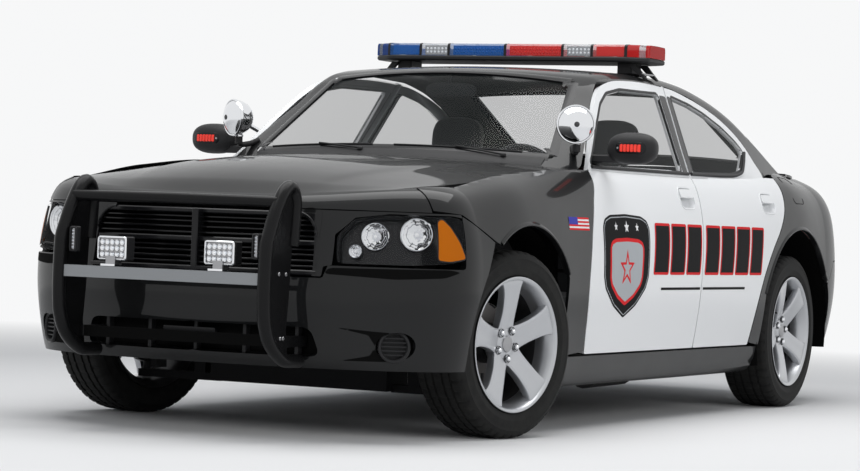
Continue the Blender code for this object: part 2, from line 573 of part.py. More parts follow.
def slab(name, outer, inner, surface, group=parts):
    """A closed body between two grids of the same size; both layers split along the same diagonals."""
    rows, cols = outer.shape[:2]
    verts = np.concatenate([outer.reshape(-1, 3), inner.reshape(-1, 3)])
    size = rows * cols
    at = lambda r, c, layer: layer * size + r * cols + c
    faces = []
    for r in range(rows - 1):
        for c in range(cols - 1):
            a, b, d, e = at(r, c, 0), at(r, c + 1, 0), at(r + 1, c + 1, 0), at(r + 1, c, 0)
            straight = np.linalg.norm(verts[a] - verts[d]) <= np.linalg.norm(verts[b] - verts[e])
            for ring in ((a, b, d), (a, d, e)) if straight else ((a, b, e), (b, d, e)):
                faces += [ring, tuple(size + v for v in reversed(ring))]
    edge = ([(0, c) for c in range(cols)] + [(r, cols - 1) for r in range(1, rows)]
            + [(rows - 1, c) for c in range(cols - 2, -1, -1)] + [(r, 0) for r in range(rows - 2, 0, -1)])
    for (r0, c0), (r1, c1) in zip(edge, edge[1:] + edge[:1]):
        faces.append((at(r0, c0, 0), at(r0, c0, 1), at(r1, c1, 1), at(r1, c1, 0)))
    return solid(name, verts, faces, surface, group)


def shell(name, grid, depth, surface, inset):
    """A sheet of the given depth under a grid of roof points, inset from it."""
    n = normals(grid)
    if n[..., 2].sum() < 0:
        n = -n
    return slab(name, grid - n * inset, grid - n * (inset + depth), surface)


def mirror_grid(half):
    """A grid whose first row lies on the middle plane, carried over to the other side."""
    other = half[1:][::-1] * np.array([1.0, -1.0, 1.0])
    return np.concatenate([other, half])


def prism(name, outline, low, high, axis="y", group=cutters):
    """An outline swept along an axis. For y it is (back, z); for z (back, y); for x (y, z)."""
    verts = []
    for level in (low, high):
        for a, b in outline:
            verts.append({"y": (FRONT_AXLE_X - a, level, b), "z": (FRONT_AXLE_X - a, b, level),
                          "x": (level, a, b)}[axis])
    n = len(outline)
    faces = [tuple(range(n)), tuple(range(2 * n - 1, n - 1, -1))]
    faces += [(i, (i + 1) % n, n + (i + 1) % n, n + i) for i in range(n)]
    return solid(name, verts, faces, TRIM, group)


def block(name, back0, back1, y0, y1, z0, z1, surface=None, group=parts):
    """A box from two distances behind the front axle, two y and two z."""
    xs = (FRONT_AXLE_X - back1, FRONT_AXLE_X - back0)
    return box(name, xs, (y0, y1), (z0, z1), surface or TRIM, group)


def box(name, xs, ys, zs, surface, group=parts):
    verts = [(x, y, z) for x in xs for y in ys for z in zs]
    faces = [(0, 1, 3, 2), (4, 6, 7, 5), (0, 4, 5, 1), (2, 3, 7, 6), (0, 2, 6, 4), (1, 5, 7, 3)]
    return solid(name, verts, faces, surface, group)


def flipped(row, side):
    """A row of back, y and z limits moved to the other side of the car when side is -1."""
    back0, back1, y0, y1, z0, z1 = row
    return back0, back1, *sorted((side * y0, side * y1)), z0, z1


def sided(body, side):
    """A left-hand body turned into its right-hand twin when side is -1."""
    if side < 0:
        body.data.transform(Matrix.Diagonal((1.0, -1.0, 1.0, 1.0)))
        body.data.flip_normals()
    return body


def turned(name, profile, centre, surface, steps=ROUND_STEPS, axis="y", group=parts):
    """A closed (radius, offset) profile turned round an axis through centre."""
    verts, faces = [], []
    n = len(profile)
    for k in range(steps):
        a = 2 * math.pi * k / steps
        for r, o in profile:
            u, v = r * math.cos(a), r * math.sin(a)
            verts.append({"y": (centre[0] + u, centre[1] + o, centre[2] + v),
                          "z": (centre[0] + u, centre[1] + v, centre[2] + o),
                          "x": (centre[0] + o, centre[1] + u, centre[2] + v)}[axis])
    for k in range(steps):
        m = (k + 1) % steps
        for i in range(n):
            j = (i + 1) % n
            faces.append((k * n + i, k * n + j, m * n + j, m * n + i))
    return solid(name, verts, faces, surface, group)


def rod(name, points, radius, surface, steps=10, group=parts):
    """A round bar along points, flat at both ends."""
    pts = [Vector(p) for p in points]
    verts, faces = [], []
    up = Vector((0.0, 0.0, 1.0))
    first = (pts[1] - pts[0]).normalized()
    side = first.cross(up) if abs(first.dot(up)) < 0.9 else first.cross(Vector((0.0, 1.0, 0.0)))
    side.normalize()
    for i, p in enumerate(pts):
        before = (p - pts[i - 1]).normalized() if i else None
        after = (pts[i + 1] - p).normalized() if i < len(pts) - 1 else None
        way = ((before or after) + (after or before)).normalized()
        side = (side - way * side.dot(way)).normalized()
        other = way.cross(side)
        wide = 1.0 / max(0.5, (before or after).dot(way))
        for k in range(steps):
            a = 2 * math.pi * k / steps
            verts.append(p + side * (radius * math.cos(a)) + other * (radius * wide * math.sin(a)))
    for i in range(len(pts) - 1):
        for k in range(steps):
            m = (k + 1) % steps
            faces.append((i * steps + k, i * steps + m, (i + 1) * steps + m, (i + 1) * steps + k))
    faces.append(tuple(range(steps)))
    faces.append(tuple((len(pts) - 1) * steps + k for k in range(steps)))
    return solid(name, verts, faces, surface, group)


def combine(target, others, how):
    """Apply a Boolean with each other body and drop it."""
    for other in others:
        cut = target.modifiers.new("cut", "BOOLEAN")
        cut.object, cut.operation, cut.solver = other, how, "EXACT"
        graph = bpy.context.evaluated_depsgraph_get()
        mesh = bpy.data.meshes.new_from_object(target.evaluated_get(graph))
        target.modifiers.clear()
        old = target.data
        target.data = mesh
        mesh.name = target.name
        bpy.data.meshes.remove(old)
        bpy.data.objects.remove(other, do_unlink=True)
    while len(target.data.materials) > 1:
        target.data.materials.pop()
    return target


def keep(target, *others):
    return combine(target, others, "INTERSECT")


def cut(target, *others):
    return combine(target, others, "DIFFERENCE")


def join(target, *others):
    return combine(target, others, "UNION")


def mirrored(source, name, surface=None):
    """The right-hand twin of a left-hand piece."""
    mesh = source.data.copy()
    mesh.name = name
    mesh.transform(Matrix.Diagonal((1.0, -1.0, 1.0, 1.0)))
    mesh.flip_normals()
    twin = bpy.data.objects.new(name, mesh)
    parts.objects.link(twin)
    return twin


def arc(centre, radius, start, end, count):
    """Points round a centre from one angle to another, in degrees."""
    angles = np.radians(np.linspace(start, end, count))
    return [(centre[0] + radius * math.cos(a), centre[1] + radius * math.sin(a)) for a in angles]


# outlines on the side, as (back, z)


def moved(outline, back=0.0, up=0.0):
    return [(a + back, b + up) for a, b in outline]


def grown(outline, by):
    """An outline moved outward by a distance, corner by corner."""
    pts = [Vector(p) for p in outline]
    area = sum(a.x * b.y - b.x * a.y for a, b in zip(pts, pts[1:] + pts[:1]))
    side = 1.0 if area > 0 else -1.0
    result = []
    for i, p in enumerate(pts):
        a, b = (p - pts[i - 1]).normalized(), (pts[(i + 1) % len(pts)] - p).normalized()
        na, nb = Vector((a.y, -a.x)) * side, Vector((b.y, -b.x)) * side
        m = (na + nb).normalized()
        result.append(tuple(p + m * (by / max(0.4, m.dot(na)))))
    return result


def cabin_y(back, z):
    return pchip(back, CABIN_STATIONS, CABIN_Y) - LEAN_SHARE * (z - BELT_Z)


def canopy_y(back, z):
    """Cabin side that stands upright below the belt."""
    return pchip(back, CABIN_STATIONS, CABIN_Y) - LEAN_SHARE * np.maximum(z - BELT_Z, 0.0)


def roof_z(back, y):
    q = (np.asarray(y, float) / CROWN_Y) ** 2
    return pchip(back - pchip(back, BEND_STATIONS, BEND) * q, ROOF_BACK, ROOF_Z) - CROWN * q


def rows(t0, t1, count):
    """Rail numbers from t0 to t1 for every column."""
    share = np.linspace(0, 1, count)[None, :]
    return np.asarray(t0)[:, None] * (1 - share) + np.asarray(t1)[:, None] * share


def side_grid(s, z0, z1, count):
    s = np.asarray(s, float)
    t = rows(rail_at(s, np.broadcast_to(z0, s.shape)), rail_at(s, np.broadcast_to(z1, s.shape)), count)
    return skin(s[:, None], t)


def skin_shell(name, s, z0, z1, count, depth, surface, inset=0.0, both=False, group=parts):
    """A sheet under the skin between two heights, thickened along the skin's own normals."""
    s = np.asarray(s, float)
    t = rows(rail_at(s, np.broadcast_to(z0, s.shape)), rail_at(s, np.broadcast_to(z1, s.shape)), count)
    s2 = np.broadcast_to(s[:, None], t.shape)
    grid = skin(s2, t)
    low_s, high_s = np.clip(s2 - NUDGE, S_MIN, S_MAX), np.clip(s2 + NUDGE, S_MIN, S_MAX)
    low_t, high_t = np.clip(t - NUDGE, 0, RAIL_LAST), np.clip(t + NUDGE, 0, RAIL_LAST)
    n = np.cross(skin(high_s, t) - skin(low_s, t), skin(s2, high_t) - skin(s2, low_t))
    n /= np.linalg.norm(n, axis=-1, keepdims=True)
    if n[..., 1].sum() < 0:
        n = -n
    depth = np.broadcast_to(depth, t.shape)[..., None]
    outer, inner = grid - n * inset, grid - n * (inset + depth)
    if both:
        outer, inner = mirror_grid(outer), mirror_grid(inner)
    return slab(name, outer, inner, surface, group)


def y_shell(name, grid, depth, surface):
    """A side sheet thickened straight inward along y."""
    depth = np.asarray(depth, float)
    inner = grid.copy()
    inner[..., 1] -= depth
    return slab(name, grid, inner, surface)


# fenders
corner_s = s_at_y(HOOD_CORNER_Y, 9.0)
corner_top, corner_low = FRONT_AXLE_X - skin(corner_s, 9.0)[0], FRONT_AXLE_X - skin(corner_s, 6.3)[0]
fender = skin_shell("fender_left", np.array(FENDER_COLUMNS), *FENDER_Z, 9, FENDER_DEPTH, BLACK)
arch = arc((ARCH_FRONT_BACK, ARCH_Z), ARCH_FRONT_RADIUS, 122, 34, 12)
door_edge = moved(DOOR_FRONT_EDGE, back=-SHUT_GAP)
outline = ([(corner_top + SHUT_GAP, HIGH_Z), (corner_top + SHUT_GAP, FENDER_CORNER_Z[0]),
            (corner_low + SHUT_GAP, FENDER_CORNER_Z[1])] + list(FENDER_LAMP_EDGE) + arch
           + [(FENDER_FOOT_BACK, SILL_TOP_Z + SHUT_GAP), (door_edge[0][0], SILL_TOP_Z + SHUT_GAP)]
           + door_edge[1:] + list(FENDER_HEAD))
keep(fender, prism("cut", outline, MID_Y, OUT_Y))
join(fender, block("bracket", *FENDER_BRACKET, BLACK))
fender_right = mirrored(fender, "fender_right")

# hood: a crowned top that rolls down over the nose


def folded(outer, v, fold, inward):
    """Both layers of a lid that folds down past column fold; inward is the lip's thickness along x."""
    inner = outer.copy()
    roll = np.clip((np.arange(outer.shape[1]) - fold + 2) / 2, 0.0, 1.0)
    inner[..., 0] += inward * roll * (1 - v[:, None] ** 6)
    inner[..., 1] -= EDGE_LEAN * v[:, None] ** 4
    inner[..., 2] -= HOOD_SHEET * (1 - 0.8 * roll)
    return mirror_grid(outer), mirror_grid(inner)


def hood_grid(edge_gap):
    v = np.array(HOOD_ROW_SHARES)
    loop_s = np.array([s_at_y(HOOD_CORNER_Y * k, 9.0) for k in v])
    nose = skin(loop_s, np.full(v.shape, 9.0))
    w = np.array(HOOD_COLUMN_SHARES)
    back_rear = HOOD_REAR_BACK + HOOD_REAR_BEND * v ** 2
    side_y = skin(back_rear, np.full(v.shape, 9.0))[:, 1] - edge_gap
    top = np.zeros((len(v), len(w), 3))
    for i, k in enumerate(v):
        back = back_rear[i] + (FRONT_AXLE_X - nose[i, 0] - back_rear[i]) * w
        width = skin(np.clip(back, corner_s, HOOD_EDGE_BACK), np.full(w.shape, 9.0))[:, 1] - edge_gap
        y = k * width * (1 - w ** 4) + nose[i, 1] * w ** 4
        rise = pchip(w, HOOD_RISE_AT_SHARES, HOOD_RISE_SHARES) * (1 - k ** 2) + w ** 1.1 * k ** 2
        z_rear = HOOD_REAR_Z - HOOD_REAR_DROP * k ** 2
        z = z_rear + (nose[i, 2] - z_rear) * rise
        top[i] = np.stack([FRONT_AXLE_X - back, y, z], -1)
    t_low = rail_at(loop_s, HOOD_LIP_Z)
    lip = skin(loop_s[:, None], rows(np.full(v.shape, 9.0), t_low, 4))
    return folded(np.concatenate([top, lip[:, 1:]], axis=1), v, len(w), -HOOD_SHEET)


hood = slab("hood", *hood_grid(SHUT_GAP), BLACK)

# front bumper: wraps round the nose below lamps and grille
s_mid = NOSE_START - NOSE_SPAN
s_grille = s_at_y(GRILLE_Y + BUMPER_SHEET, 5.0)
s_lamp = s_grille + STEP_S + (-BUMPER_LAMP_BACK - s_grille - STEP_S) * np.array(BUMPER_SHARES)
s = np.array([s_mid] + [s_at_y(y, 5.0) for y in BUMPER_IN_Y] + [s_grille, *s_lamp, -BUMPER_LAMP_BACK]
             + [-back for back in BUMPER_END])
z_high = np.array([BUMPER_GRILLE_Z] * 5 + [BUMPER_LAMP_Z] * 7 + list(BUMPER_END_Z))
bumper = skin_shell("front_bumper", s, BUMPER_LOW_Z, z_high, 7, BUMPER_SHEET, BLACK, both=True)
arch = arc((ARCH_FRONT_BACK, ARCH_Z), ARCH_FRONT_RADIUS, 60, 145, 12)
arch_cut = [BUMPER_ARCH_CUT[0], *arch, BUMPER_ARCH_CUT[1]]
cut(bumper, prism("cut", arch_cut, -OUT_Y, OUT_Y))
cut(bumper, block("cut", *INTAKE, group=cutters))
fog_hole = [(0.0, -FOG_DEPTH), (FOG_RADIUS, -FOG_DEPTH), (FOG_RADIUS, FOG_DEPTH), (0.0, FOG_DEPTH)]
for side in (1, -1):
    middle = (FRONT_AXLE_X + FOG[0], side * FOG[1], FOG[2])
    cut(bumper, turned("cut", fog_hole, middle, TRIM, axis="x", group=cutters))

# grille: frame, divider and slats on one backing, all bent with the nose
s_grid = np.array([s_mid] + [s_at_y(y, 5.5) for y in (*GRILLE_MID_Y, GRILLE_Y)])


def nose_band(name, z0, z1, depth, inset):
    return skin_shell(name, s_grid, z0, z1, 2, depth, TRIM, inset=inset, both=True)


grille = nose_band("grille", *GRILLE_BACKING)
for row in GRILLE_BARS:
    join(grille, nose_band("bar", *row))
join(grille, block("divider", *GRILLE_DIVIDER))
s_edge = np.array([s_at_y(GRILLE_Y + GRILLE_EDGE_OUT, 5.5), s_at_y(GRILLE_Y - GRILLE_EDGE_IN, 5.5)])
for side in (1, -1):
    join(grille, sided(skin_shell("edge", s_edge, *GRILLE_EDGE, 3, GRILLE_EDGE_DEPTH, TRIM), side))
join(grille, block("foot", *GRILLE_FOOT))
for side in (1, -1):
    join(bumper, block("bracket", *flipped(BUMPER_BRACKET, side)))

# headlamps: a housing behind a clear front, from the grille round to the marker
s = np.linspace(s_at_y(LAMP_IN_Y, 5.6), -LAMP_OUT_BACK, 9)
lamp = skin_shell("headlamp_left", s, *LAMP_Z, 5, LAMP_DEPTH, LAMP)


def peg(y, z0, z1, rail, nose, surface):
    """A short foot just behind the skin at one half width, down to the piece below."""
    back = FRONT_AXLE_X - float(skin(s_at_y(y, rail, nose), rail)[0])
    way = 1 if nose else -1
    ends = sorted((back + way * PEG_IN, back + way * PEG_DEPTH))
    return block("peg", *ends, y - PEG_HALF, y + PEG_HALF, z0, z1, surface)


join(lamp, peg(*LAMP_PEG, 5.0, True, LAMP))
lamp_right = mirrored(lamp, "headlamp_right")

# doors: outer skin with depth, window frame above the belt


def door(name, edge_front, edge_rear, window, outline_top, back_cols):
    s = np.array(back_cols)
    grid = side_grid(s, *DOOR_Z, 9)
    depth = np.full(grid.shape[:2], DOOR_DEPTH)
    depth[:, -1] = DOOR_FLANGE * 2
    depth[:, 0] = DOOR_FLANGE * 2
    panel = y_shell(name, grid, depth, WHITE)
    low = [(edge_front[0][0], SILL_TOP_Z + SHUT_GAP)] + list(edge_front[1:])
    high = [(edge_rear[0][0], SILL_TOP_Z + SHUT_GAP)] + list(edge_rear[1:])
    keep(panel, prism("cut", low + high[::-1], MID_Y, OUT_Y))
    shallow, deep = grid - np.array([0.0, RELIEF_SKIN, 0.0]), grid - np.array([0.0, OVERRUN, 0.0])
    relief = slab("relief", shallow, deep, TRIM, cutters)
    band = moved(high, back=-RELIEF_BACK) + moved(high, back=SHUT_GAP)[::-1]
    keep(relief, prism("cut", band, MID_Y, OUT_Y))
    cut(panel, relief)
    z = np.array(FRAME_Z)
    back = np.array(back_cols)
    upper = np.stack([np.broadcast_to(FRONT_AXLE_X - back[:, None], (len(back), len(z))),
                      cabin_y(back[:, None], z[None, :]),
                      np.broadcast_to(z[None, :], (len(back), len(z)))], -1)
    frame = y_shell("frame", upper, FRAME_DEPTH, WHITE)
    keep(frame, prism("cut", outline_top, MID_Y, OUT_Y))
    join(panel, frame)
    cut(panel, prism("cut", window, MID_Y, OUT_Y))
    hinge_back, hinge_y = HINGE_BACK[name], HINGE_Y[name]
    front_back = min(edge_front[2][0], edge_front[1][0]) - SHUT_GAP
    cut(panel, block("pocket", front_back - OVERRUN, hinge_back + POCKET_REACH, MID_Y, hinge_y - POCKET_SKIN,
                     HINGE_Z - POCKET_HALF, HINGE_Z + POCKET_HALF, group=cutters))
    join(panel, block("leaf", hinge_back + LEAF_BACK, hinge_back + POCKET_REACH + SHUT_GAP,
                      hinge_y - LEAF_IN, hinge_y - SHUT_GAP, HINGE_Z + GAP, HINGE_Z + LEAF_THICK, WHITE))
    pane_outer, pane_inner = upper.copy(), upper.copy()
    pane_outer[..., 1] -= PANE_INSET
    pane_inner[..., 1] -= PANE_INSET + GLASS
    glass = slab(name.replace("door", "window"), pane_outer, pane_inner, CLEAR)
    keep(glass, prism("cut", grown(window, -GAP), MID_Y, OUT_Y))
    return panel, glass


split_front = moved(DOOR_SPLIT, back=-SPLIT_GAP / 2)
split_rear = moved(DOOR_SPLIT, back=SPLIT_GAP / 2)
top_front = [p for p in FRAME_OUTLINE if p[0] < SPLIT_TOP[0][0]]
top_rear = [p for p in FRAME_OUTLINE if p[0] > SPLIT_TOP[-1][0] + SHUT_GAP]
frame_front = top_front + moved(SPLIT_TOP, back=-SPLIT_GAP / 2)[::-1]
frame_rear = moved(SPLIT_TOP, back=SPLIT_GAP / 2) + top_rear
door_front, window_front = door("door_front_left", DOOR_FRONT_EDGE + DOOR_FRONT_HEAD, split_front,
                                WINDOW_FRONT, frame_front, DOOR_FRONT_COLUMNS)
door_rear, window_rear = door("door_rear_left", split_rear, DOOR_REAR_EDGE,
                              WINDOW_REAR, frame_rear, DOOR_REAR_COLUMNS)
twins = [mirrored(door_front, "door_front_right"), mirrored(window_front, "window_front_right"),
         mirrored(door_rear, "door_rear_right"), mirrored(window_rear, "window_rear_right")]

# quarter panels
TAIL_LAMP_S = s_at_y(TAIL_LAMP_Y, 6.5, nose=False)
s = np.array(QUARTER_COLUMNS + (TAIL_LAMP_S - 2 * STEP_S,))
quarter = skin_shell("quarter_left", s, *QUARTER_Z, 9, DEEP, BLACK)
arch = arc((ARCH_REAR_BACK, ARCH_Z), ARCH_REAR_RADIUS, 158, 30, 16)
rear_edge = moved(DOOR_REAR_EDGE[:-2], back=SHUT_GAP) + list(QUARTER_HEAD)
outline = (rear_edge[::-1][:-1] + [(back, SILL_TOP_Z + SHUT_GAP) for back in QUARTER_FOOT_BACK]
           + [p for p in arch if p[0] > QUARTER_FOOT_BACK[1]] + list(QUARTER_LOW_EDGE))
keep(quarter, prism("cut", outline, MID_Y, OUT_Y))
join(quarter, block("foot", *QUARTER_FOOT, BLACK))
quarter_right = mirrored(quarter, "quarter_right")

# rear bumper
s_tail = TAIL_START + TAIL_SPAN
s_plate = s_at_y(PLATE_Y, 5.5, nose=False)
s_step = TAIL_LAMP_S + STEP_S
s_wing = s_step + (s_plate - STEP_S - s_step) * np.array(REAR_SHARES)
s = np.array([*REAR_COLUMNS, TAIL_LAMP_S, *s_wing, s_plate - STEP_S, s_plate]
             + [s_at_y(y, 5.5, nose=False) for y in REAR_IN_Y] + [s_tail])[::-1]
z_high = np.array([REAR_PLATE_Z] * 4 + [REAR_LAMP_Z] * 4 + list(REAR_END_Z))
rear_bumper = skin_shell("rear_bumper", s, REAR_LOW_Z, z_high, 7, BUMPER_SHEET, BLACK, both=True)
arch_cut = ([REAR_ARCH_CUT[0]] + arc((ARCH_REAR_BACK, ARCH_Z), ARCH_REAR_RADIUS, 120, 20, 12)
            + list(REAR_ARCH_CUT[1:]))
cut(rear_bumper, prism("cut", arch_cut, -OUT_Y, OUT_Y))
for side in (1, -1):
    join(rear_bumper, block("bracket", *flipped(REAR_BRACKET, side)))
s = np.linspace(s_at_y(TAIL_LAMP_IN_Y, 6.5, nose=False), TAIL_LAMP_S + STEP_S, 8)
tail_lamp = skin_shell("tail_lamp_left", s, *TAIL_LAMP_Z, 4, TAIL_LAMP_DEPTH, RED)
join(tail_lamp, peg(*TAIL_LAMP_PEG, 5.8, False, RED))
tail_lamp_right = mirrored(tail_lamp, "tail_lamp_right")

# trunk lid: deck and rear face


def lid_grid():
    v = np.array(LID_ROW_SHARES)
    loop_s = np.array([s_at_y(LID_CORNER_Y * k, 9.0, nose=False) for k in v])
    nose = skin(loop_s, np.full(v.shape, 9.0))
    w = np.array(LID_COLUMN_SHARES)
    top = np.zeros((len(v), len(w), 3))
    for i, k in enumerate(v):
        front = LID_FRONT_BACK + LID_FRONT_BEND * k ** 2
        back = front + (FRONT_AXLE_X - nose[i, 0] - front) * w
        width = skin(np.minimum(back, loop_s[-1]), np.full(w.shape, 9.0))[:, 1] - SHUT_GAP
        y = k * width * (1 - w ** 3) + nose[i, 1] * w ** 3
        z_front = LID_FRONT_Z + LID_CROWN * (1 - k ** 2)
        z = z_front + (nose[i, 2] - z_front) * w ** 1.6
        top[i] = np.stack([FRONT_AXLE_X - back, y, z], -1)
    low = np.where(v < LID_STEP_SHARE, *LID_LOW_Z)
    t = rows(np.full(v.shape, 9.0), rail_at(loop_s, low), 6)
    upright = v < LID_STEP_SHARE + 0.01
    lip_s = np.array([[s_at_y(LID_CORNER_Y * k, rail, nose=False) if level else where for rail in line]
                      for k, level, where, line in zip(v, upright, loop_s, t)])
    lip = skin(lip_s, t)
    return folded(np.concatenate([top, lip[:, 1:]], axis=1), v, len(w), HOOD_SHEET)


lid = slab("trunk_lid", *lid_grid(), BLACK)
for side in (1, -1):
    join(lid, prism("neck", NECK_OUTLINE, *sorted(side * y for y in NECK_Y), group=parts))

# roof and pillars: a canopy shell with its windows cut


def corner(back):
    """Height where the cabin side meets the roof surface."""
    z = np.full(np.shape(back), 1.3)
    for _ in range(60):
        z = 0.5 * z + 0.5 * roof_z(back, canopy_y(back, z))
    return z


def canopy(whole):
    """Cross sections from the left belt over the roof to the right belt, drawn in by a depth."""
    grid = []
    for back, zc in zip(ROOF_COLUMNS, corner(np.array(ROOF_COLUMNS))):
        depth = whole * (1.0 if back < EDGE_BACK else EDGE_SHARE)
        z0 = min(BELT_Z - CANOPY_FOOT, zc - CANOPY_LEAST)
        if back > CANOPY_SEAT_BACK:
            z0 = float(skin(back, RAIL_LAST)[2]) + CANOPY_SEAT
            zc = max(zc, z0 + CANOPY_LIP)
        side_z = z0 + (zc - z0) * np.array(SIDE_SHARES)
        y_c = float(canopy_y(back, zc)) - CANOPY_IN - depth
        left = [(canopy_y(back, z) - CANOPY_IN - depth, min(z, zc - depth)) for z in side_z]
        least = [zc - CANOPY_FOOT * (1 - k) if k > 0.9 else 0.0 for k in TOP_SHARES]
        left += [(y_c * k, max(float(roof_z(back, y_c * k)), low) - depth)
                 for k, low in zip(TOP_SHARES, least)]
        full = left + [(-y, z) for y, z in left[:-1][::-1]]
        grid.append([(FRONT_AXLE_X - back, y, z) for y, z in full])
    return np.array(grid, float)


roof = slab("roof", canopy(0.0), canopy(ROOF_DEPTH), BLACK)


ys = np.linspace(-1, 1, 9)


def across(back, bend, width, end):
    """A cutter's outline seen from above: a bent edge across the car, and all beyond it up to end."""
    edge = [(back + bend * k ** 2, k * width) for k in ys]
    return [(end, -OUT_Y), (edge[0][0], -OUT_Y)] + edge + [(edge[-1][0], OUT_Y), (end, OUT_Y)]


for outline in (across(HOOD_REAR_BACK + SHUT_GAP, HOOD_REAR_BEND, ROOF_EDGE_Y[0], ROOF_CUT_BACK[0]),
                across(LID_FRONT_BACK - LID_GAP, LID_FRONT_BEND, ROOF_EDGE_Y[1], ROOF_CUT_BACK[1])):
    cut(roof, prism("cut", outline, ROOF_CUT_Z, HIGH_Z, axis="z"))
space_in = np.array([DOOR_DEPTH] * 2 + [FRAME_DEPTH] * 3) + ROOF_SPACE_GAP
space_back, space_z = np.array(ROOF_SPACE_BACK), np.array(ROOF_SPACE_Z)
size = (len(space_back), len(space_z))
space = np.stack([np.broadcast_to(FRONT_AXLE_X - space_back[:, None], size),
                  canopy_y(space_back[:, None], space_z[None, :]), np.broadcast_to(space_z, size)], -1)
near, far = space.copy(), space.copy()
near[..., 1] -= space_in
far[..., 1] += OVERRUN
frame_hole = FRAME_HOLE_FRONT + FRAME_OUTLINE[1:-1] + FRAME_HOLE_REAR
for side in (1, -1):
    hole = slab("hole", near, far, TRIM, group=cutters)
    cut(roof, sided(keep(hole, prism("hole", grown(frame_hole, SHUT_GAP), MID_Y, OUT_Y)), side))
ws_outline = ([(WS_LOW + WS_BEND_LOW * (k * WS_Y_LOW / CROWN_Y) ** 2, k * WS_Y_LOW) for k in ys]
              + [(WS_HIGH + WS_BEND_HIGH * (k * WS_Y_HIGH / CROWN_Y) ** 2, k * WS_Y_HIGH) for k in -ys])
bl_outline = ([(BL_HIGH + BL_BEND_HIGH * (k * BL_Y_HIGH / CROWN_Y) ** 2, k * BL_Y_HIGH) for k in ys]
              + [(BL_LOW + BL_BEND_LOW * (k * BL_Y_LOW / CROWN_Y) ** 2, k * BL_Y_LOW) for k in -ys])


def pane(name, outline, back0, back1, y1):
    back = np.linspace(back0, back1, 6)
    y = np.linspace(-y1, y1, 7)
    back, y = np.meshgrid(back, y, indexing="ij")
    grid = np.stack([FRONT_AXLE_X - back, y, roof_z(back, y)], -1)
    sheet = shell(name, grid, GLASS, CLEAR, PANE_SINK)
    return keep(sheet, prism("cut", grown(outline, -GAP), WINDOW_CUT_Z, HIGH_Z, axis="z"))


for outline in (ws_outline, bl_outline):
    cut(roof, prism("cut", outline, WINDOW_CUT_Z, HIGH_Z, axis="z"))
windshield = pane("windshield", ws_outline, *WS_SPAN)
rear_glass = pane("rear_glass", bl_outline, *BL_SPAN)

# B pillars hang from the roof between the doors
for side in (1, -1):
    outline = [(side * y, z) for y, z in PILLAR_OUTLINE]
    join(roof, prism("pillar", outline, *[FRONT_AXLE_X - back for back in PILLAR_BACK[::-1]], axis="x"))
    leaf_back, leaf_y = HINGE_BACK["door_rear_left"], HINGE_Y["door_rear_left"]
    leaf = (leaf_back - LEAF_PAST, leaf_back + LEAF_PAST, PILLAR_LEAF_Y, leaf_y - LEAF_SHORT,
            HINGE_Z - LEAF_THICK, HINGE_Z)
    join(roof, block("leaf", *flipped(leaf, side), BLACK))

# floor, sills, firewall, front rails and rear bulkhead in one welded structure
floor = block("floor_pan", *FLOOR_BLOCKS[0], TRIM)
for row in FLOOR_BLOCKS[1:]:
    join(floor, block("block", *row))
for side in (1, -1):
    grid = side_grid(np.array(SILL_COLUMNS), *SILL_Z, 5)
    post = (*POST_BACK, *POST_Y, *POST_Z)
    leaf = (POST_BACK[1] - POST_LEAF_IN, HINGE_BACK["door_front_left"] + LEAF_PAST, POST_Y[1] - POST_LEAF_IN,
            HINGE_Y["door_front_left"] - LEAF_SHORT, HINGE_Z - LEAF_THICK, HINGE_Z)
    pin = [(0.0, side * PIVOT_IN), (PIVOT_RADIUS, side * PIVOT_IN), (PIVOT_RADIUS, side * (NECK_Y[0] - GAP)),
           (0.0, side * (NECK_Y[0] - GAP))]
    join(floor, sided(y_shell("sill", grid, SILL_DEPTH, TRIM), side), block("post", *flipped(post, side)),
         block("leaf", *flipped(leaf, side)), block("wheelhouse", *flipped(WHEELHOUSE, side)),
         turned("pivot", pin, (FRONT_AXLE_X - LID_PIVOT[0], 0.0, LID_PIVOT[1]), TRIM, steps=10))

# power unit, exhaust and axles


def behind(path):
    """Points given as distance back, y and z."""
    return [(FRONT_AXLE_X - back, y, z) for back, y, z in path]


engine = block("engine", *ENGINE_BLOCK, STEEL)
for side in (1, -1):
    join(engine, block("mount", *flipped(ENGINE_MOUNT, side)))
exhaust = rod("exhaust", behind(PIPE_PATH), PIPE_RADIUS, STEEL)
join(exhaust, rod("muffler", behind(MUFFLER_PATH), MUFFLER_RADIUS, STEEL, 16))
cut(exhaust, block("cut", *UNDER_FLOOR, group=cutters))


def at_rear(row):
    """A row given about the rear axle."""
    return (WHEELBASE + row[0], WHEELBASE + row[1], *row[2:])


def hub(name, side, axle_x):
    """Hub and brake disc round the wheel's middle."""
    return turned(name, [(r, side * o) for r, o in HUB_PROFILE], (axle_x, side * WHEEL_Y, HUB_Z), STEEL)


front_axle = block("front_crossmember", *CROSSMEMBER, STEEL)
rear_axle = block("rear_axle", *at_rear(REAR_AXLE), STEEL)
join(rear_axle, turned("casing", CASING_PROFILE, (REAR_AXLE_X, 0.0, CASING_Z), STEEL, axis="x"))
knuckles = {}
for side, word in ((1, "left"), (-1, "right")):
    for row in FRONT_ARMS:
        join(front_axle, block("arm", *flipped(row, side)))
    join(rear_axle, hub("hub", side, REAR_AXLE_X))
    for row in REAR_ARMS:
        join(rear_axle, block("arm", *flipped(at_rear(row), side)))
    knuckle = hub("knuckle_" + word, side, FRONT_AXLE_X)
    join(knuckle, block("post", *flipped(UPRIGHT, side)),
         turned("ball", BALL_PROFILE, (FRONT_AXLE_X, side * KINGPIN_Y, 0.0), STEEL, steps=10, axis="z"))
    knuckles[side] = knuckle

# wheels


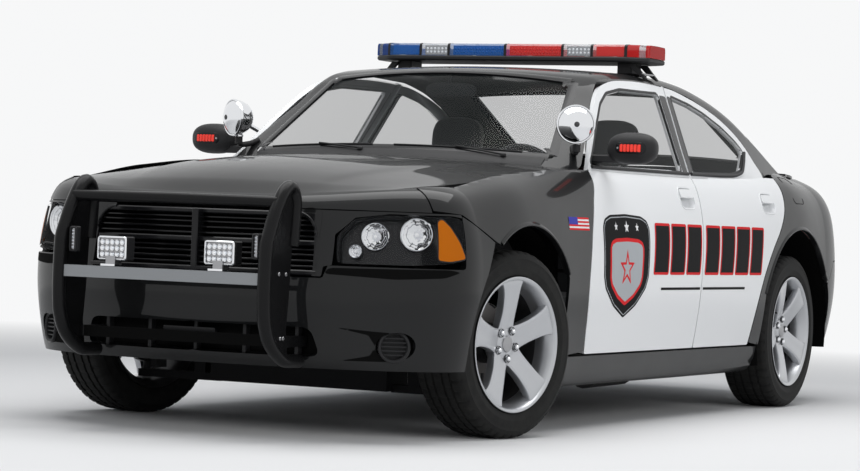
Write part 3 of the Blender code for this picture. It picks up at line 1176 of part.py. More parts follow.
def wheel(word, side, axle_x):
    """Rim and tyre; the outer face looks away from the car."""
    centre = (axle_x, side * WHEEL_Y, HUB_Z)
    rim = turned("rim_" + word, [(r, side * o) for r, o in RIM_PROFILE], centre, ALLOY, steps=TYRE_STEPS)
    join(rim, turned("hub", [(r, side * o) for r, o in WHEEL_HUB_PROFILE], centre, ALLOY, steps=10))
    for k in range(SPOKES):
        spoke = spoke_body(centre, side)
        turn = Matrix.Rotation(2 * math.pi * k * SPOKE_SHARE, 4, "Y")
        spoke.data.transform(Matrix.Translation(centre) @ turn @ Matrix.Translation(-Vector(centre)))
        join(rim, spoke)
    tyre = turned("tyre_" + word, [(r, side * o) for r, o in TYRE_PROFILE], centre, RUBBER, steps=TYRE_STEPS)
    return rim, tyre


def spoke_body(centre, side):
    """One spoke pointing up from the hub, wide at the rim, dished outward at the middle."""
    verts = []
    for r, half, low, high in SPOKE_SECTIONS:
        for u, o in ((-half, low), (half, low), (half, high - SPOKE_EDGE), (half * 0.6, high),
                     (-half * 0.6, high), (-half, high - SPOKE_EDGE)):
            verts.append((centre[0] + u, centre[1] + side * o, centre[2] + r))
    n = 6
    faces = [tuple(range(n)), tuple(range(len(verts) - n, len(verts)))]
    for i in range(len(SPOKE_SECTIONS) - 1):
        for k in range(n):
            m = (k + 1) % n
            faces.append((i * n + k, i * n + m, (i + 1) * n + m, (i + 1) * n + k))
    return solid("spoke", verts, faces, ALLOY)


wheels = {}
for word, side, axle_x in (("front_left", 1, FRONT_AXLE_X), ("front_right", -1, FRONT_AXLE_X),
                           ("rear_left", 1, REAR_AXLE_X), ("rear_right", -1, REAR_AXLE_X)):
    wheels[word] = wheel(word, side, axle_x)

# seats, dashboard, steering wheel
seat = prism("seat_left", SEAT_OUTLINE, *SEAT_Y, group=parts)
join(seat, prism("headrest", HEADREST_OUTLINE, *HEADREST_Y, group=parts))
rear_seat = prism("rear_seat", REAR_SEAT_OUTLINE, -REAR_SEAT_Y, REAR_SEAT_Y, group=parts)
dash = prism("dashboard", DASH_OUTLINE, -DASH_Y, DASH_Y, group=parts)
grip = [(GRIP_RADIUS + GRIP_THICK * math.cos(a), GRIP_THICK * math.sin(a))
        for a in np.linspace(0, 2 * math.pi, 5, endpoint=False)]
steering = turned("steering_wheel", grip, (0.0, 0.0, 0.0), TRIM, steps=18, axis="x")
join(steering, turned("boss", BOSS_PROFILE, (0.0, 0.0, 0.0), TRIM, steps=12, axis="x"))
for limits in WHEEL_ARMS:
    join(steering, box("arm", *limits, TRIM))
steering.data.transform(Matrix.Translation((FRONT_AXLE_X - WHEEL_HUB_BACK, DRIVER_Y, WHEEL_HUB_Z))
                        @ Matrix.Rotation(math.pi * WHEEL_LEAN_SHARE, 4, "Y"))
join(steering, rod("column", behind(COLUMN_PATH), COLUMN_RADIUS, TRIM))
cut(steering, prism("cut", grown(DASH_OUTLINE, GAP), -CUT_Y, CUT_Y))

# light bar
bar_base = prism("light_bar_base", BAR_OUTLINE, BAR_BASE_Z, BAR_LENS_Z - GAP, axis="z", group=parts)
for side in (1, -1):
    foot = (*BAR_FOOT[:4], max(ROOF_Z) - BAR_FOOT[4], BAR_BASE_Z + BAR_FOOT[5])
    join(bar_base, block("foot", *flipped(foot, side)))
cut(bar_base, slab("cut", canopy(-GAP), canopy(CANOPY_CUT), TRIM, group=cutters))
bar_lens = prism("light_bar_lens", grown(BAR_OUTLINE, -BAR_LENS_IN), BAR_LENS_Z, BAR_TOP_Z, axis="z",
                 group=parts)

# push bumper, takedown lamps and spotlights
tubes = []
for side in (1, -1):
    path = [(FRONT_AXLE_X + a, side * PUSH_Y, b) for a, b in PUSH_PATH]
    web = prism("web", [(-a, b) for a, b in WEB_OUTLINE], side * PUSH_Y - WEB_HALF, side * PUSH_Y + WEB_HALF,
                group=parts)
    tubes.append(join(rod("push_bumper", path, PUSH_RADIUS, TRIM, 12), web))
push = tubes[0]
cross = [(FRONT_AXLE_X + CROSS_TUBE[0], side * PUSH_Y, CROSS_TUBE[1]) for side in (-1, 1)]
join(push, rod("tube", cross, CROSS_TUBE[2], TRIM, 12), tubes[1])
for row in PUSH_BARS:
    join(push, block("bar", *row))
for side in (1, -1):
    join(push, block("bracket", *flipped(PUSH_BRACKET, side)))
takedown = block("takedown_lamp_left", *TAKEDOWN_BLOCKS[0], LAMP)
join(takedown, *[block("stem", *row) for row in TAKEDOWN_BLOCKS[1:]])
takedown_right = mirrored(takedown, "takedown_lamp_right")
spot_profile = ([(0.0, -SPOT_DEPTH)] + [(SPOT_RADIUS * math.cos(a), SPOT_DEPTH * math.sin(a))
                                        for a in np.radians(np.linspace(-75, 20, 7))] + list(SPOT_FRONT))
spotlight = turned("spotlight_left", spot_profile, behind([SPOT])[0], CHROME, steps=16, axis="x")
join(spotlight, rod("stem", behind(SPOT_STEM), SPOT_STEM_RADIUS, CHROME, 8))
cut(spotlight, slab("cut", canopy(-GAP), canopy(CANOPY_CUT), TRIM, group=cutters))
spotlight_right = mirrored(spotlight, "spotlight_right")

# mirrors ride on the front doors
mirror = turned("mirror_left", [(math.cos(a), math.sin(a)) for a in np.radians(np.linspace(-90.0, 90.0, 9))],
                (0.0, 0.0, 0.0), TRIM, steps=14)
mirror.data.transform(Matrix.Translation(behind([MIRROR_CENTRE])[0]) @ Matrix.Diagonal((*MIRROR_HALF, 1.0)))
cut(mirror, block("cut", *MIRROR_BACK, group=cutters))
join(mirror, block("arm", *MIRROR_ARM))
seat_back, seat_z = np.array(MIRROR_SEAT_BACK)[:, None], np.array(FRAME_Z[:3])[None, :]
size = (len(MIRROR_SEAT_BACK), 3)
door_face = np.stack([np.broadcast_to(FRONT_AXLE_X - seat_back, size), cabin_y(seat_back, seat_z) + GAP,
                      np.broadcast_to(seat_z, size)], -1)
cut(mirror, slab("cut", door_face, door_face - np.array([0.0, OVERRUN, 0.0]), TRIM, group=cutters))
mirror_right = mirrored(mirror, "mirror_right")

# the front wheels stand turned a little to the right, as in the picture
for word, side in (("left", 1), ("right", -1)):
    pivot = Vector((FRONT_AXLE_X, side * KINGPIN_Y, 0.0))
    turn = (Matrix.Translation(pivot) @ Matrix.Rotation(math.pi * STEER_REST_SHARE, 4, "Z")
            @ Matrix.Translation(-pivot))
    for obj in (*wheels["front_" + word], knuckles[side]):
        obj.data.transform(turn)

seat_right = mirrored(seat, "seat_right")


def set_origin(obj, point):
    """Put a moving piece's origin on its joint axis."""
    obj.data.transform(Matrix.Translation(-Vector(point)))
    obj.location = point


STEER_TURN = Matrix.Rotation(math.pi * STEER_REST_SHARE, 4, "Z")
for word, (rim, tyre) in wheels.items():
    side = 1 if word.endswith("left") else -1
    if word.startswith("front"):
        pivot = Vector((FRONT_AXLE_X, side * KINGPIN_Y, HUB_Z))
        middle = pivot + STEER_TURN @ Vector((0.0, side * (WHEEL_Y - KINGPIN_Y), 0.0))
        set_origin(knuckles[side], pivot)
    else:
        middle = Vector((REAR_AXLE_X, side * WHEEL_Y, HUB_Z))
    for obj in (rim, tyre):
        set_origin(obj, middle)
for suffix, side in (("left", 1), ("right", -1)):
    for hinge, names in ((DOOR_FRONT_HINGE, ("door_front_", "window_front_", "mirror_")),
                         (DOOR_REAR_HINGE, ("door_rear_", "window_rear_"))):
        for stem in names:
            set_origin(parts.objects[stem + suffix], (hinge[0], side * hinge[1], hinge[2]))
set_origin(hood, HOOD_HINGE)
set_origin(lid, LID_HINGE)
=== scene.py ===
# %% [markdown]
# Police patrol car, dressed for its picture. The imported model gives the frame: every moving body and
# the box it must stay in. This file draws the outside again with fine curved surfaces, and adds the
# lamps, trim, interior and markings that a welded solid can't show. Metres, X forward, Y to the car's
# left, Z up, and tables give "back", the distance behind the front axle.

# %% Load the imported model
import math
import bpy
import numpy as np
from mathutils import Matrix, Vector


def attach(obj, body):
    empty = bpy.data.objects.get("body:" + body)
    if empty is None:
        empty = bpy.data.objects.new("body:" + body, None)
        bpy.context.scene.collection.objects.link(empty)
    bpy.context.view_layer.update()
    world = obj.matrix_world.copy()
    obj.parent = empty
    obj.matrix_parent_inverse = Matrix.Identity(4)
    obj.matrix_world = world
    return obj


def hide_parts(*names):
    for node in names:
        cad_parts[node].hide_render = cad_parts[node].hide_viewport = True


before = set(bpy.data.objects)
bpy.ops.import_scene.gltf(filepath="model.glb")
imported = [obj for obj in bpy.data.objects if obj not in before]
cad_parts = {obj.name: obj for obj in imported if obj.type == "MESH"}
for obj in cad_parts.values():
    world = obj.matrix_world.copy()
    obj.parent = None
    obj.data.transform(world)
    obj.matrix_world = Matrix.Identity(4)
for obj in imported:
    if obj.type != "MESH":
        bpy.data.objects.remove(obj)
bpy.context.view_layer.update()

AXLE = 1.488
WHEELBASE = 3.048
HUB_Z = 0.356

# %% [markdown]
# A finish is a small tree of shader nodes. Reading node trees is easier when sums look like sums, so a
# Field wraps one output socket, and + - * / between Fields make the Math nodes.

# %% Fields and finishes
class Field:
    """A number worked out by shader nodes for each point of a surface."""

    def __init__(self, finish, socket):
        self.finish, self.socket = finish, socket

    def math(self, kind, *others):
        return self.finish.node("ShaderNodeMath", (self, *others), operation=kind)

    def __add__(self, other):
        return self.math("ADD", other)

    def __sub__(self, other):
        return self.math("SUBTRACT", other)

    def __mul__(self, other):
        return self.math("MULTIPLY", other)

    def __truediv__(self, other):
        return self.math("DIVIDE", other)

    def ramp(self, low, high):
        """0 below low, 1 above high, straight between."""
        return self.finish.node("ShaderNodeMapRange", (self, low, high, 0.0, 1.0))

    def blend(self, first, second):
        """The colour first where this is 0 and second where it is 1."""
        return self.finish.node("ShaderNodeMix", {0: self, 6: first, 7: second}, out=2, data_type="RGBA")


class Finish:
    """A material on one Principled shader; sockets are set by name."""

    def __init__(self, name, colour, **sockets):
        self.material = bpy.data.materials.new(name)
        self.material.use_nodes = True
        self.tree = self.material.node_tree
        self.shader = self.tree.nodes["Principled BSDF"]
        self.set("Base Color", colour)
        for socket, value in sockets.items():
            self.set(socket.replace("_", " ").title().replace("Ior", "IOR"), value)
        self.material.diffuse_color = (*colour, 1.0)

    def plug(self, slot, value):
        if isinstance(value, Field):
            self.tree.links.new(value.socket, slot)
        elif isinstance(value, (tuple, list)):
            slot.default_value = (*value[:3], 1.0) if len(slot.default_value) == 4 else value[:3]
        else:
            slot.default_value = value

    def set(self, name, value):
        self.plug(self.shader.inputs[name], value)
        return self

    def node(self, kind, values=(), out=0, **settings):
        made = self.tree.nodes.new(kind)
        for key, value in settings.items():
            setattr(made, key, value)
        pairs = values.items() if isinstance(values, dict) else enumerate(values)
        for slot, value in pairs:
            self.plug(made.inputs[slot], value)
        return Field(self, made.outputs[out])

    def place(self):
        """Object coordinates: metres in the car's own frame."""
        return self.node("ShaderNodeTexCoord", out="Object")

    def noise(self, scale, detail=2.0, where=None):
        return self.node("ShaderNodeTexNoise", {"Vector": where or self.place(), "Scale": scale, "Detail": detail})

    def bump(self, height, strength, distance):
        normal = self.node("ShaderNodeBump", {"Height": height, "Strength": strength, "Distance": distance})
        return self.set("Normal", normal)


# %% [markdown]
# Car paint is a dark or pale base under a clear coat. The coat gives the sharp reflections, and a very
# shallow, slow waviness stops the panels looking like glass.

# %% Paints
def car_paint(name, colour, rough, swing, shine):
    """Base with a slowly changing roughness, under a clear coat with a faint orange peel."""
    paint = Finish(name, colour, roughness=rough, specular_ior_level=0.1, coat_weight=shine, coat_roughness=0.035)
    paint.set("Roughness", paint.noise(6.0) * swing + (rough - 0.04))
    return paint.bump(paint.noise(35.0, 1.0), 0.01, 0.0004)


BLACK = car_paint("black paint", (0.0035, 0.0038, 0.0042), 0.5, 0.08, 0.5)
WHITE = car_paint("white paint", (0.78, 0.79, 0.80), 0.30, 0.06, 0.8)
print("paints:", BLACK.material.name, "and", WHITE.material.name)

# %% [markdown]
# Trim, rubber and metal finishes each get the small texture that their making leaves: moulded plastic a
# grain, rubber a dusty patchiness, cast and lacquered wheels a fine sparkle.

# %% Trim, rubber and metals
def grained(name, colour, rough, scale=900.0, depth=0.0002, shine=0.25):
    """Moulded plastic: a fine grain in the bump and the roughness."""
    plastic = Finish(name, colour, roughness=rough, specular_ior_level=shine)
    grain = plastic.noise(scale, 3.0)
    plastic.set("Roughness", grain * 0.2 + (rough - 0.1))
    return plastic.bump(grain, 0.25, depth)


def mottled(name, colour, scale, swing, base, detail=2.0, **sockets):
    """A finish whose roughness runs from base to base + swing, in patches of about 1 / scale metres."""
    made = Finish(name, colour, **sockets)
    return made.set("Roughness", made.noise(scale, detail) * swing + base)


TRIM = grained("dark trim", (0.016, 0.016, 0.017), 0.5)
GLOSS_TRIM = grained("gloss black trim", (0.008, 0.008, 0.009), 0.2, 300.0, 0.00005)
POWDER = grained("powder-coated steel", (0.0050, 0.0050, 0.0054), 0.28, 1400.0, 0.0001, 0.16)
CABIN = grained("cabin plastic", (0.020, 0.021, 0.023), 0.6)
# Near-black liner plastic for arch liners, backings, gaps and pads; also the colour of the flat patches that are
# painted shade in the bumper's lamp slot and fog recesses.
LINER_AND_PAINTED_SHADE = grained("arch liner", (0.0045, 0.0045, 0.0045), 0.85, 250.0, 0.0006, 0.03)
TYRE = Finish("tyre rubber", (0.013, 0.013, 0.013), roughness=0.72, specular_ior_level=0.15)
dust = TYRE.noise(30.0, 4.0)
TYRE.set("Base Color", dust.ramp(0.35, 0.75).blend((0.011, 0.011, 0.011), (0.020, 0.020, 0.019)))
TYRE.set("Roughness", dust * 0.2 + 0.6).bump(TYRE.noise(700.0), 0.2, 0.0002)
ALLOY = mottled("silver wheel lacquer", (0.47, 0.48, 0.50), 1500.0, 0.14, 0.26, metallic=0.85, roughness=0.3,
                coat_weight=0.6, coat_roughness=0.08)
DARK_METAL = Finish("dark metal", (0.07, 0.07, 0.072), metallic=0.8, roughness=0.5)
DARK_METAL.bump(DARK_METAL.noise(200.0, 4.0), 0.3, 0.0004)
IRON = mottled("brake iron", (0.20, 0.19, 0.185), 60.0, 0.3, 0.3, 4.0, metallic=0.9, roughness=0.45)
CHROME = mottled("bright chrome", (0.80, 0.81, 0.83), 40.0, 0.05, 0.04, metallic=1.0, roughness=0.06)
SATIN = mottled("satin steel", (0.36, 0.36, 0.37), 500.0, 0.2, 0.25, metallic=0.9, roughness=0.35)
CLOTH = Finish("seat cloth", (0.022, 0.023, 0.025), roughness=0.95, sheen_weight=0.3)
CLOTH.bump(CLOTH.noise(600.0, 3.0), 0.4, 0.0006)

# %% [markdown]
# Glass and lenses. A pane is a thin sheet with a low alpha, so the light still reaches the seats behind
# it, and lamp lenses are clearer than the windows.

# %% Glass and lenses
def lens(name, colour, alpha, rough=0.03, coat=0.05, shine=0.15):
    """A thin coloured sheet that lets part of the light through."""
    made = Finish(name, colour, roughness=rough, alpha=alpha, coat_weight=coat, coat_roughness=0.02,
                  specular_ior_level=shine)
    return made.bump(made.noise(3.0, 1.0), 0.01, 0.0005)


GLASS = lens("window glass", (0.020, 0.024, 0.024), 0.28, 0.12, 0.0, 0.18)
CLEAR = lens("clear lens", (0.10, 0.105, 0.11), 0.07, 0.12, 0.0, 0.2)
AMBER = lens("amber lens", (0.46, 0.120, 0.004), 0.98, 0.3, 0.05, 0.05)
RED = lens("red lens", (0.55, 0.012, 0.012), 0.92, 0.12)
BLUE = lens("blue lens", (0.018, 0.115, 0.36), 0.5, 0.1)
RED_BAR = lens("red bar lens", (0.66, 0.040, 0.040), 0.5, 0.1)
RED_END = lens("red end lens", (0.40, 0.012, 0.012), 0.93, 0.15, 0.05, 0.05)
BLUE_END = lens("blue end lens", (0.008, 0.045, 0.21), 0.93, 0.15, 0.05, 0.05)
CLEAR_BAR = lens("clear bar lens", (0.42, 0.45, 0.48), 0.35, 0.1)
MIRROR_GLASS = mottled("mirror glass", (0.75, 0.78, 0.80), 5.0, 0.02, 0.01, metallic=1.0, roughness=0.02)


def lamp_cell(name, colour, glow, rough):
    cell = Finish(name, colour, roughness=rough, emission_strength=0.25).set("Emission Color", glow)
    return cell.bump(cell.noise(120.0), 0.2, 0.0004)


LED = lamp_cell("lamp cell", (0.9, 0.92, 0.95), (0.9, 0.95, 1.0), 0.15)
RED_LED = lamp_cell("red lamp cell", (0.75, 0.03, 0.02), (0.9, 0.05, 0.02), 0.2)
print("finishes so far:", len(bpy.data.materials))

# %% [markdown]
# The body side is one skin. Ten rails run along the car from the sill to the shoulder; each rail's half
# width and height is a smooth curve through seven stations, and a B-spline joins the rails upwards. At
# the nose and the tail the same skin wraps round to the middle on a superellipse.

# %% Tables of the body skin
STATIONS = (-0.41, 0.0, 0.62, 1.75, 2.80, 3.05, 3.46)
RAIL_Y = (
    (0.800, 0.800, 0.800, 0.800, 0.800, 0.800, 0.790),
    (0.860, 0.870, 0.868, 0.868, 0.870, 0.870, 0.855),
    (0.890, 0.905, 0.893, 0.893, 0.903, 0.905, 0.885),
    (0.908, 0.925, 0.905, 0.906, 0.922, 0.925, 0.905),
    (0.930, 0.946, 0.930, 0.932, 0.942, 0.948, 0.932),
    (0.932, 0.948, 0.936, 0.940, 0.948, 0.950, 0.936),
    (0.908, 0.930, 0.922, 0.928, 0.944, 0.946, 0.922),
    (0.880, 0.895, 0.897, 0.903, 0.920, 0.922, 0.893),
    (0.848, 0.855, 0.870, 0.875, 0.885, 0.878, 0.830),
    (0.800, 0.800, 0.842, 0.846, 0.850, 0.800, 0.725),
)
RAIL_Z = (
    (0.185, 0.175, 0.170, 0.170, 0.172, 0.175, 0.210),
    (0.200, 0.190, 0.178, 0.178, 0.182, 0.190, 0.225),
    (0.260, 0.250, 0.240, 0.240, 0.240, 0.250, 0.270),
    (0.350, 0.345, 0.330, 0.330, 0.330, 0.345, 0.360),
    (0.510, 0.510, 0.500, 0.500, 0.500, 0.510, 0.510),
    (0.670, 0.700, 0.700, 0.700, 0.700, 0.700, 0.680),
    (0.800, 0.850, 0.840, 0.845, 0.860, 0.865, 0.860),
    (0.875, 0.930, 0.930, 0.935, 0.955, 0.965, 0.965),
    (0.915, 0.970, 1.000, 1.005, 1.025, 1.050, 1.045),
    (0.935, 0.995, 1.035, 1.042, 1.070, 1.098, 1.085),
)
NOSE_START = -0.41
NOSE_SPAN = 0.90
NOSE_SHARE = 0.909
NOSE_REACH = (0.80, 0.855, 0.880, 0.895, 0.925, 0.895, 0.875, 0.870, 0.855, 0.815)
NOSE_Z = (0.240, 0.262, 0.300, 0.400, 0.530, 0.630, 0.790, 0.835, 0.868, 0.888)
TAIL_START = 3.46
TAIL_SPAN = 1.05
TAIL_SHARE = 0.80
TAIL_REACH = (3.98, 4.05, 4.09, 4.125, 4.130, 4.105, 4.080, 4.060, 4.035, 3.990)
TAIL_Z = (0.250, 0.265, 0.310, 0.400, 0.540, 0.690, 0.820, 0.930, 1.020, 1.062)

# %% The skin as a function of two numbers
def pchip(x, xs, ys):
    """Monotone cubic through a table, straight on beyond both ends."""
    x, xs, ys = np.asarray(x, float), np.asarray(xs, float), np.asarray(ys, float)
    step = np.diff(xs)
    rise = np.diff(ys) / step
    slope = np.zeros(len(xs))
    both = rise[:-1] * rise[1:] > 0
    w1, w2 = 2 * step[1:] + step[:-1], step[1:] + 2 * step[:-1]
    safe = np.where(both, rise[:-1] * rise[1:], 1.0)
    mean = (w1 + w2) * safe / (w1 * rise[1:] + w2 * rise[:-1] + (~both) * 1e9)
    slope[1:-1] = np.where(both, mean, 0.0)
    slope[0], slope[-1] = rise[0], rise[-1]
    i = np.clip(np.searchsorted(xs, x) - 1, 0, len(xs) - 2)
    t = (x - xs[i]) / step[i]
    a = np.clip(t, 0.0, 1.0)
    b, c, h = a ** 2, a ** 3, step[i]
    y = ((2 * c - 3 * b + 1) * ys[i] + (c - 2 * b + a) * h * slope[i]
         + (3 * b - 2 * c) * ys[i + 1] + (c - b) * h * slope[i + 1])
    return y + np.where(t < 0, t * h * slope[0], 0.0) + np.where(t > 1, (t - 1) * h * slope[-1], 0.0)


def rails(values, t):
    """Uniform cubic B-spline over the rails: weights (1-u)^3/6, (3u^3-6u^2+4)/6, and their mirror."""
    last = values.shape[0] - 1
    full = np.concatenate([[2 * values[0] - values[1]], values, [2 * values[-1] - values[-2]]])
    i = np.clip(np.floor(t).astype(int), 0, last - 1)
    u = t - i
    weights = ((1 - u) ** 3 / 6, (3 * u ** 3 - 6 * u ** 2 + 4) / 6, (-3 * u ** 3 + 3 * u ** 2 + 3 * u + 1) / 6,
               u ** 3 / 6)
    if values.ndim == 1:
        return sum(w * full[i + k] for k, w in enumerate(weights))
    column = np.arange(values.shape[1])
    return sum(w * full[i + k, column] for k, w in enumerate(weights))


def skin(s, t):
    """Point of the skin at s back along the side, or round the nose and tail, and rail t."""
    s, t = np.broadcast_arrays(np.asarray(s, float), np.asarray(t, float))
    flat, rail = s.ravel(), t.ravel()
    inner = np.clip(flat, NOSE_START, TAIL_START)
    y = rails(np.stack([pchip(inner, STATIONS, row) for row in RAIL_Y]), rail)
    z = rails(np.stack([pchip(inner, STATIONS, row) for row in RAIL_Z]), rail)
    nose = np.clip((NOSE_START - flat) / NOSE_SPAN, 0.0, 1.0) * math.pi / 2
    tail = np.clip((flat - TAIL_START) / TAIL_SPAN, 0.0, 1.0) * math.pi / 2
    back = (inner - (rails(np.array(NOSE_REACH), rail) + NOSE_START) * np.sin(nose) ** NOSE_SHARE
            + (rails(np.array(TAIL_REACH), rail) - TAIL_START) * np.sin(tail) ** TAIL_SHARE)
    y = y * np.cos(nose) ** NOSE_SHARE * np.cos(tail) ** TAIL_SHARE
    z = z + (rails(np.array(NOSE_Z), rail) - z) * np.sin(nose) ** 2
    z = z + (rails(np.array(TAIL_Z), rail) - z) * np.sin(tail) ** 2
    return np.stack([AXLE - back, y, z], -1).reshape(*s.shape, 3)


S_MIN, S_MAX, TOP_RAIL = NOSE_START - NOSE_SPAN, TAIL_START + TAIL_SPAN, 9.0
TABLE_S, TABLE_T = np.linspace(S_MIN, S_MAX, 561), np.linspace(0, TOP_RAIL, 181)
TABLE = skin(TABLE_S[:, None], TABLE_T[None, :])


def looked_up(s, t, which):
    """Bilinear reading of one coordinate from the table."""
    i = np.clip((s - S_MIN) / (S_MAX - S_MIN) * (len(TABLE_S) - 1), 0, len(TABLE_S) - 1.001)
    j = np.clip(t / TOP_RAIL * (len(TABLE_T) - 1), 0, len(TABLE_T) - 1.001)
    a, b = i.astype(int), j.astype(int)
    u, v = i - a, j - b
    grid = TABLE[..., which]
    return ((1 - u) * (1 - v) * grid[a, b] + u * (1 - v) * grid[a + 1, b]
            + (1 - u) * v * grid[a, b + 1] + u * v * grid[a + 1, b + 1])


def rail_at(s, z):
    """Rail number at height z, found by halving."""
    s, z = np.broadcast_arrays(np.asarray(s, float), np.asarray(z, float))
    low, high = np.zeros(s.shape), np.full(s.shape, TOP_RAIL)
    for _ in range(24):
        mid = (low + high) / 2
        short = looked_up(s, mid, 2) < z
        low, high = np.where(short, mid, low), np.where(short, high, mid)
    return (low + high) / 2


def side(s, z):
    """Skin point at s and height z."""
    return skin(s, rail_at(s, z))


def s_at_y(y, t, nose=True):
    """Where on the nose or tail the skin has half width y at rail t."""
    walk = np.linspace(NOSE_START, S_MIN, 361) if nose else np.linspace(TAIL_START, S_MAX, 361)
    return float(np.interp(-y, -skin(walk, np.full(walk.shape, float(t)))[:, 1], walk))


def s_at_back(back, z):
    """s of a point on the nose or tail wrap from its distance behind the axle and its height."""
    walk = np.linspace(NOSE_START, S_MIN, 181) if back < 0 else np.linspace(TAIL_START, S_MAX, 181)
    x = AXLE - side(walk, np.full(walk.shape, float(z)))[:, 0]
    return float(np.interp(back, x, walk)) if back > 0 else float(np.interp(-back, -x, walk))


print("side skin %.3f m wide, %.3f m long" % (2 * TABLE[..., 1].max(), np.ptp(TABLE[..., 0])))

# %% [markdown]
# A panel is a piece of a surface inside an outline. A fine grid is laid over the surface's two numbers,
# grid points near the outline are moved on to it, and faces whose middle lies outside are dropped. The
# normals come from the surface itself, so reflections stay smooth, and a lip turns in at every edge.

# %% Cutting a surface to an outline
def inside(points, loop):
    """Even-odd rule for every point against every edge at once."""
    a, b = np.asarray(loop, float), np.roll(np.asarray(loop, float), -1, 0)
    x, y = points[:, None, 0], points[:, None, 1]
    crossed = (a[:, 1] > y) != (b[:, 1] > y)
    rise = np.where(b[:, 1] == a[:, 1], 1e-12, b[:, 1] - a[:, 1])
    return (crossed & (x < a[:, 0] + (y - a[:, 1]) * (b[:, 0] - a[:, 0]) / rise)).sum(1) % 2 == 1


def nearest(points, loop):
    """The closest point of a closed outline to each point, and how far it is."""
    a = np.asarray(loop, float)
    d = np.roll(a, -1, 0) - a
    w = points[:, None] - a
    u = np.clip((w * d).sum(-1) / np.maximum((d * d).sum(-1), 1e-12), 0.0, 1.0)
    q = a + d * u[..., None]
    far = np.linalg.norm(points[:, None] - q, axis=-1)
    k = far.argmin(1)
    row = np.arange(len(points))
    return q[row, k], far[row, k]


def unit(v):
    return v / np.maximum(np.linalg.norm(v, axis=-1, keepdims=True), 1e-12)


def steady(surface, a, b, reach=0.002):
    """Unit normals of a surface by central differences."""
    return unit(np.cross(surface(a + reach, b) - surface(a - reach, b), surface(a, b + reach) - surface(a, b - reach)))


def extent(loop, margin=0.0):
    """The box round an outline, wider by margin along the car."""
    loop = np.asarray(loop)
    return (loop[:, 0].min() - margin, loop[:, 0].max() + margin), (loop[:, 1].min(), loop[:, 1].max())


INSIDE = np.array([0.0, 0.0, 0.6])


def trimmed(surface, outline, step, finish, holes=(), span=None, lip=0.012, lift=0.0):
    """The part of surface(a, b) inside outline and outside holes, facing away from the point INSIDE."""
    (a0, a1), (b0, b1) = span or extent(outline)
    na, nb = int(np.ceil((a1 - a0) / step)) + 1, int(np.ceil((b1 - b0) / step)) + 1
    grid = np.stack(np.meshgrid(np.linspace(a0, a1, na), np.linspace(b0, b1, nb), indexing="ij"), -1).reshape(-1, 2)
    loops = [np.asarray(outline, float)] + [np.asarray(h, float) for h in holes]
    near = [nearest(grid, loop) for loop in loops]
    best = np.argmin([n[1] for n in near], axis=0)
    far = np.choose(best, [n[1] for n in near])
    spot = np.choose(best[:, None], [n[0] for n in near])
    grid = np.where((far < 0.45 * step)[:, None], spot, grid)
    i, j = np.meshgrid(np.arange(na - 1), np.arange(nb - 1), indexing="ij")
    first = (i * nb + j).ravel()
    quads = np.stack([first, first + nb, first + nb + 1, first + 1], 1)
    centre = grid[quads].mean(1)
    keep = inside(centre, loops[0])
    for hole in loops[1:]:
        keep &= ~inside(centre, hole)
    quads = quads[keep]
    edges = np.stack([quads, np.roll(quads, -1, 1)], -1).reshape(-1, 2)
    size = len(grid)
    code, back = edges[:, 0] * size + edges[:, 1], edges[:, 1] * size + edges[:, 0]
    rim = edges[~np.isin(code, back)]
    on_rim = np.unique(rim)
    on_rim = on_rim[far[on_rim] < 1.6 * step]
    grid[on_rim] = spot[on_rim]
    points = surface(grid[:, 0], grid[:, 1])
    n = steady(surface, grid[:, 0], grid[:, 1])
    if (n * (points - INSIDE)).sum() < 0:
        n = -n
    points = points + n * lift
    used = np.unique(quads)
    renumber = np.zeros(size, int)
    renumber[used] = np.arange(len(used))
    quads, rim = renumber[quads], renumber[rim]
    points, n = points[used], n[used]
    turn = np.cross(points[quads[:, 2]] - points[quads[:, 0]], points[quads[:, 3]] - points[quads[:, 1]])
    if (turn * n[quads].mean(1)).sum() < 0:
        quads, rim = quads[:, ::-1], rim[:, ::-1]
    if not lip:
        return points, quads.tolist(), n, finish
    u, v = rim[:, 0], rim[:, 1]
    out = unit(np.cross(points[v] - points[u], (n[u] + n[v]) / 2))
    base, count = len(points), len(rim)
    ring = np.concatenate([points[u], points[v], points[v] - n[v] * lip, points[u] - n[u] * lip])
    row = base + np.arange(count)
    walls = np.stack([row + count, row, row + 3 * count, row + 2 * count], 1)
    return (np.concatenate([points, ring]), quads.tolist() + walls.tolist(),
            np.concatenate([n, np.tile(out, (4, 1))]), finish)


# %% Putting pieces into the scene
CREASE = math.radians(32.0)


def put(name, parts, body, replaces=()):
    """One object from parts, each (vertices, faces, normals or None, finish)."""
    finishes, verts, faces, slots, normals = [], [], [], [], []
    start = 0
    for points, loops, n, finish in parts:
        if finish not in finishes:
            finishes.append(finish)
        verts.append(np.asarray(points, float))
        faces += [tuple(int(start + k) for k in loop) for loop in loops]
        slots += [finishes.index(finish)] * len(loops)
        normals.append(n)
        start += len(points)
    mesh = bpy.data.meshes.new(name)
    mesh.from_pydata(np.concatenate(verts).tolist(), [], faces)
    for finish in finishes:
        mesh.materials.append(finish.material)
    mesh.polygons.foreach_set("material_index", slots)
    obj = bpy.data.objects.new(name, mesh)
    bpy.context.scene.collection.objects.link(obj)
    mesh.shade_smooth()
    if all(n is not None for n in normals):
        mesh.normals_split_custom_set_from_vertices(np.concatenate(normals).tolist())
    else:
        mesh.set_sharp_from_angle(angle=CREASE)
    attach(obj, body)
    if replaces:
        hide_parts(*replaces)
    return obj


FLIP = np.array([1.0, -1.0, 1.0])


def other_side(parts):
    """The same parts mirrored to the car's right."""
    return [(np.asarray(p) * FLIP, [tuple(loop)[::-1] for loop in f], None if n is None else n * FLIP, m)
            for p, f, n, m in parts]


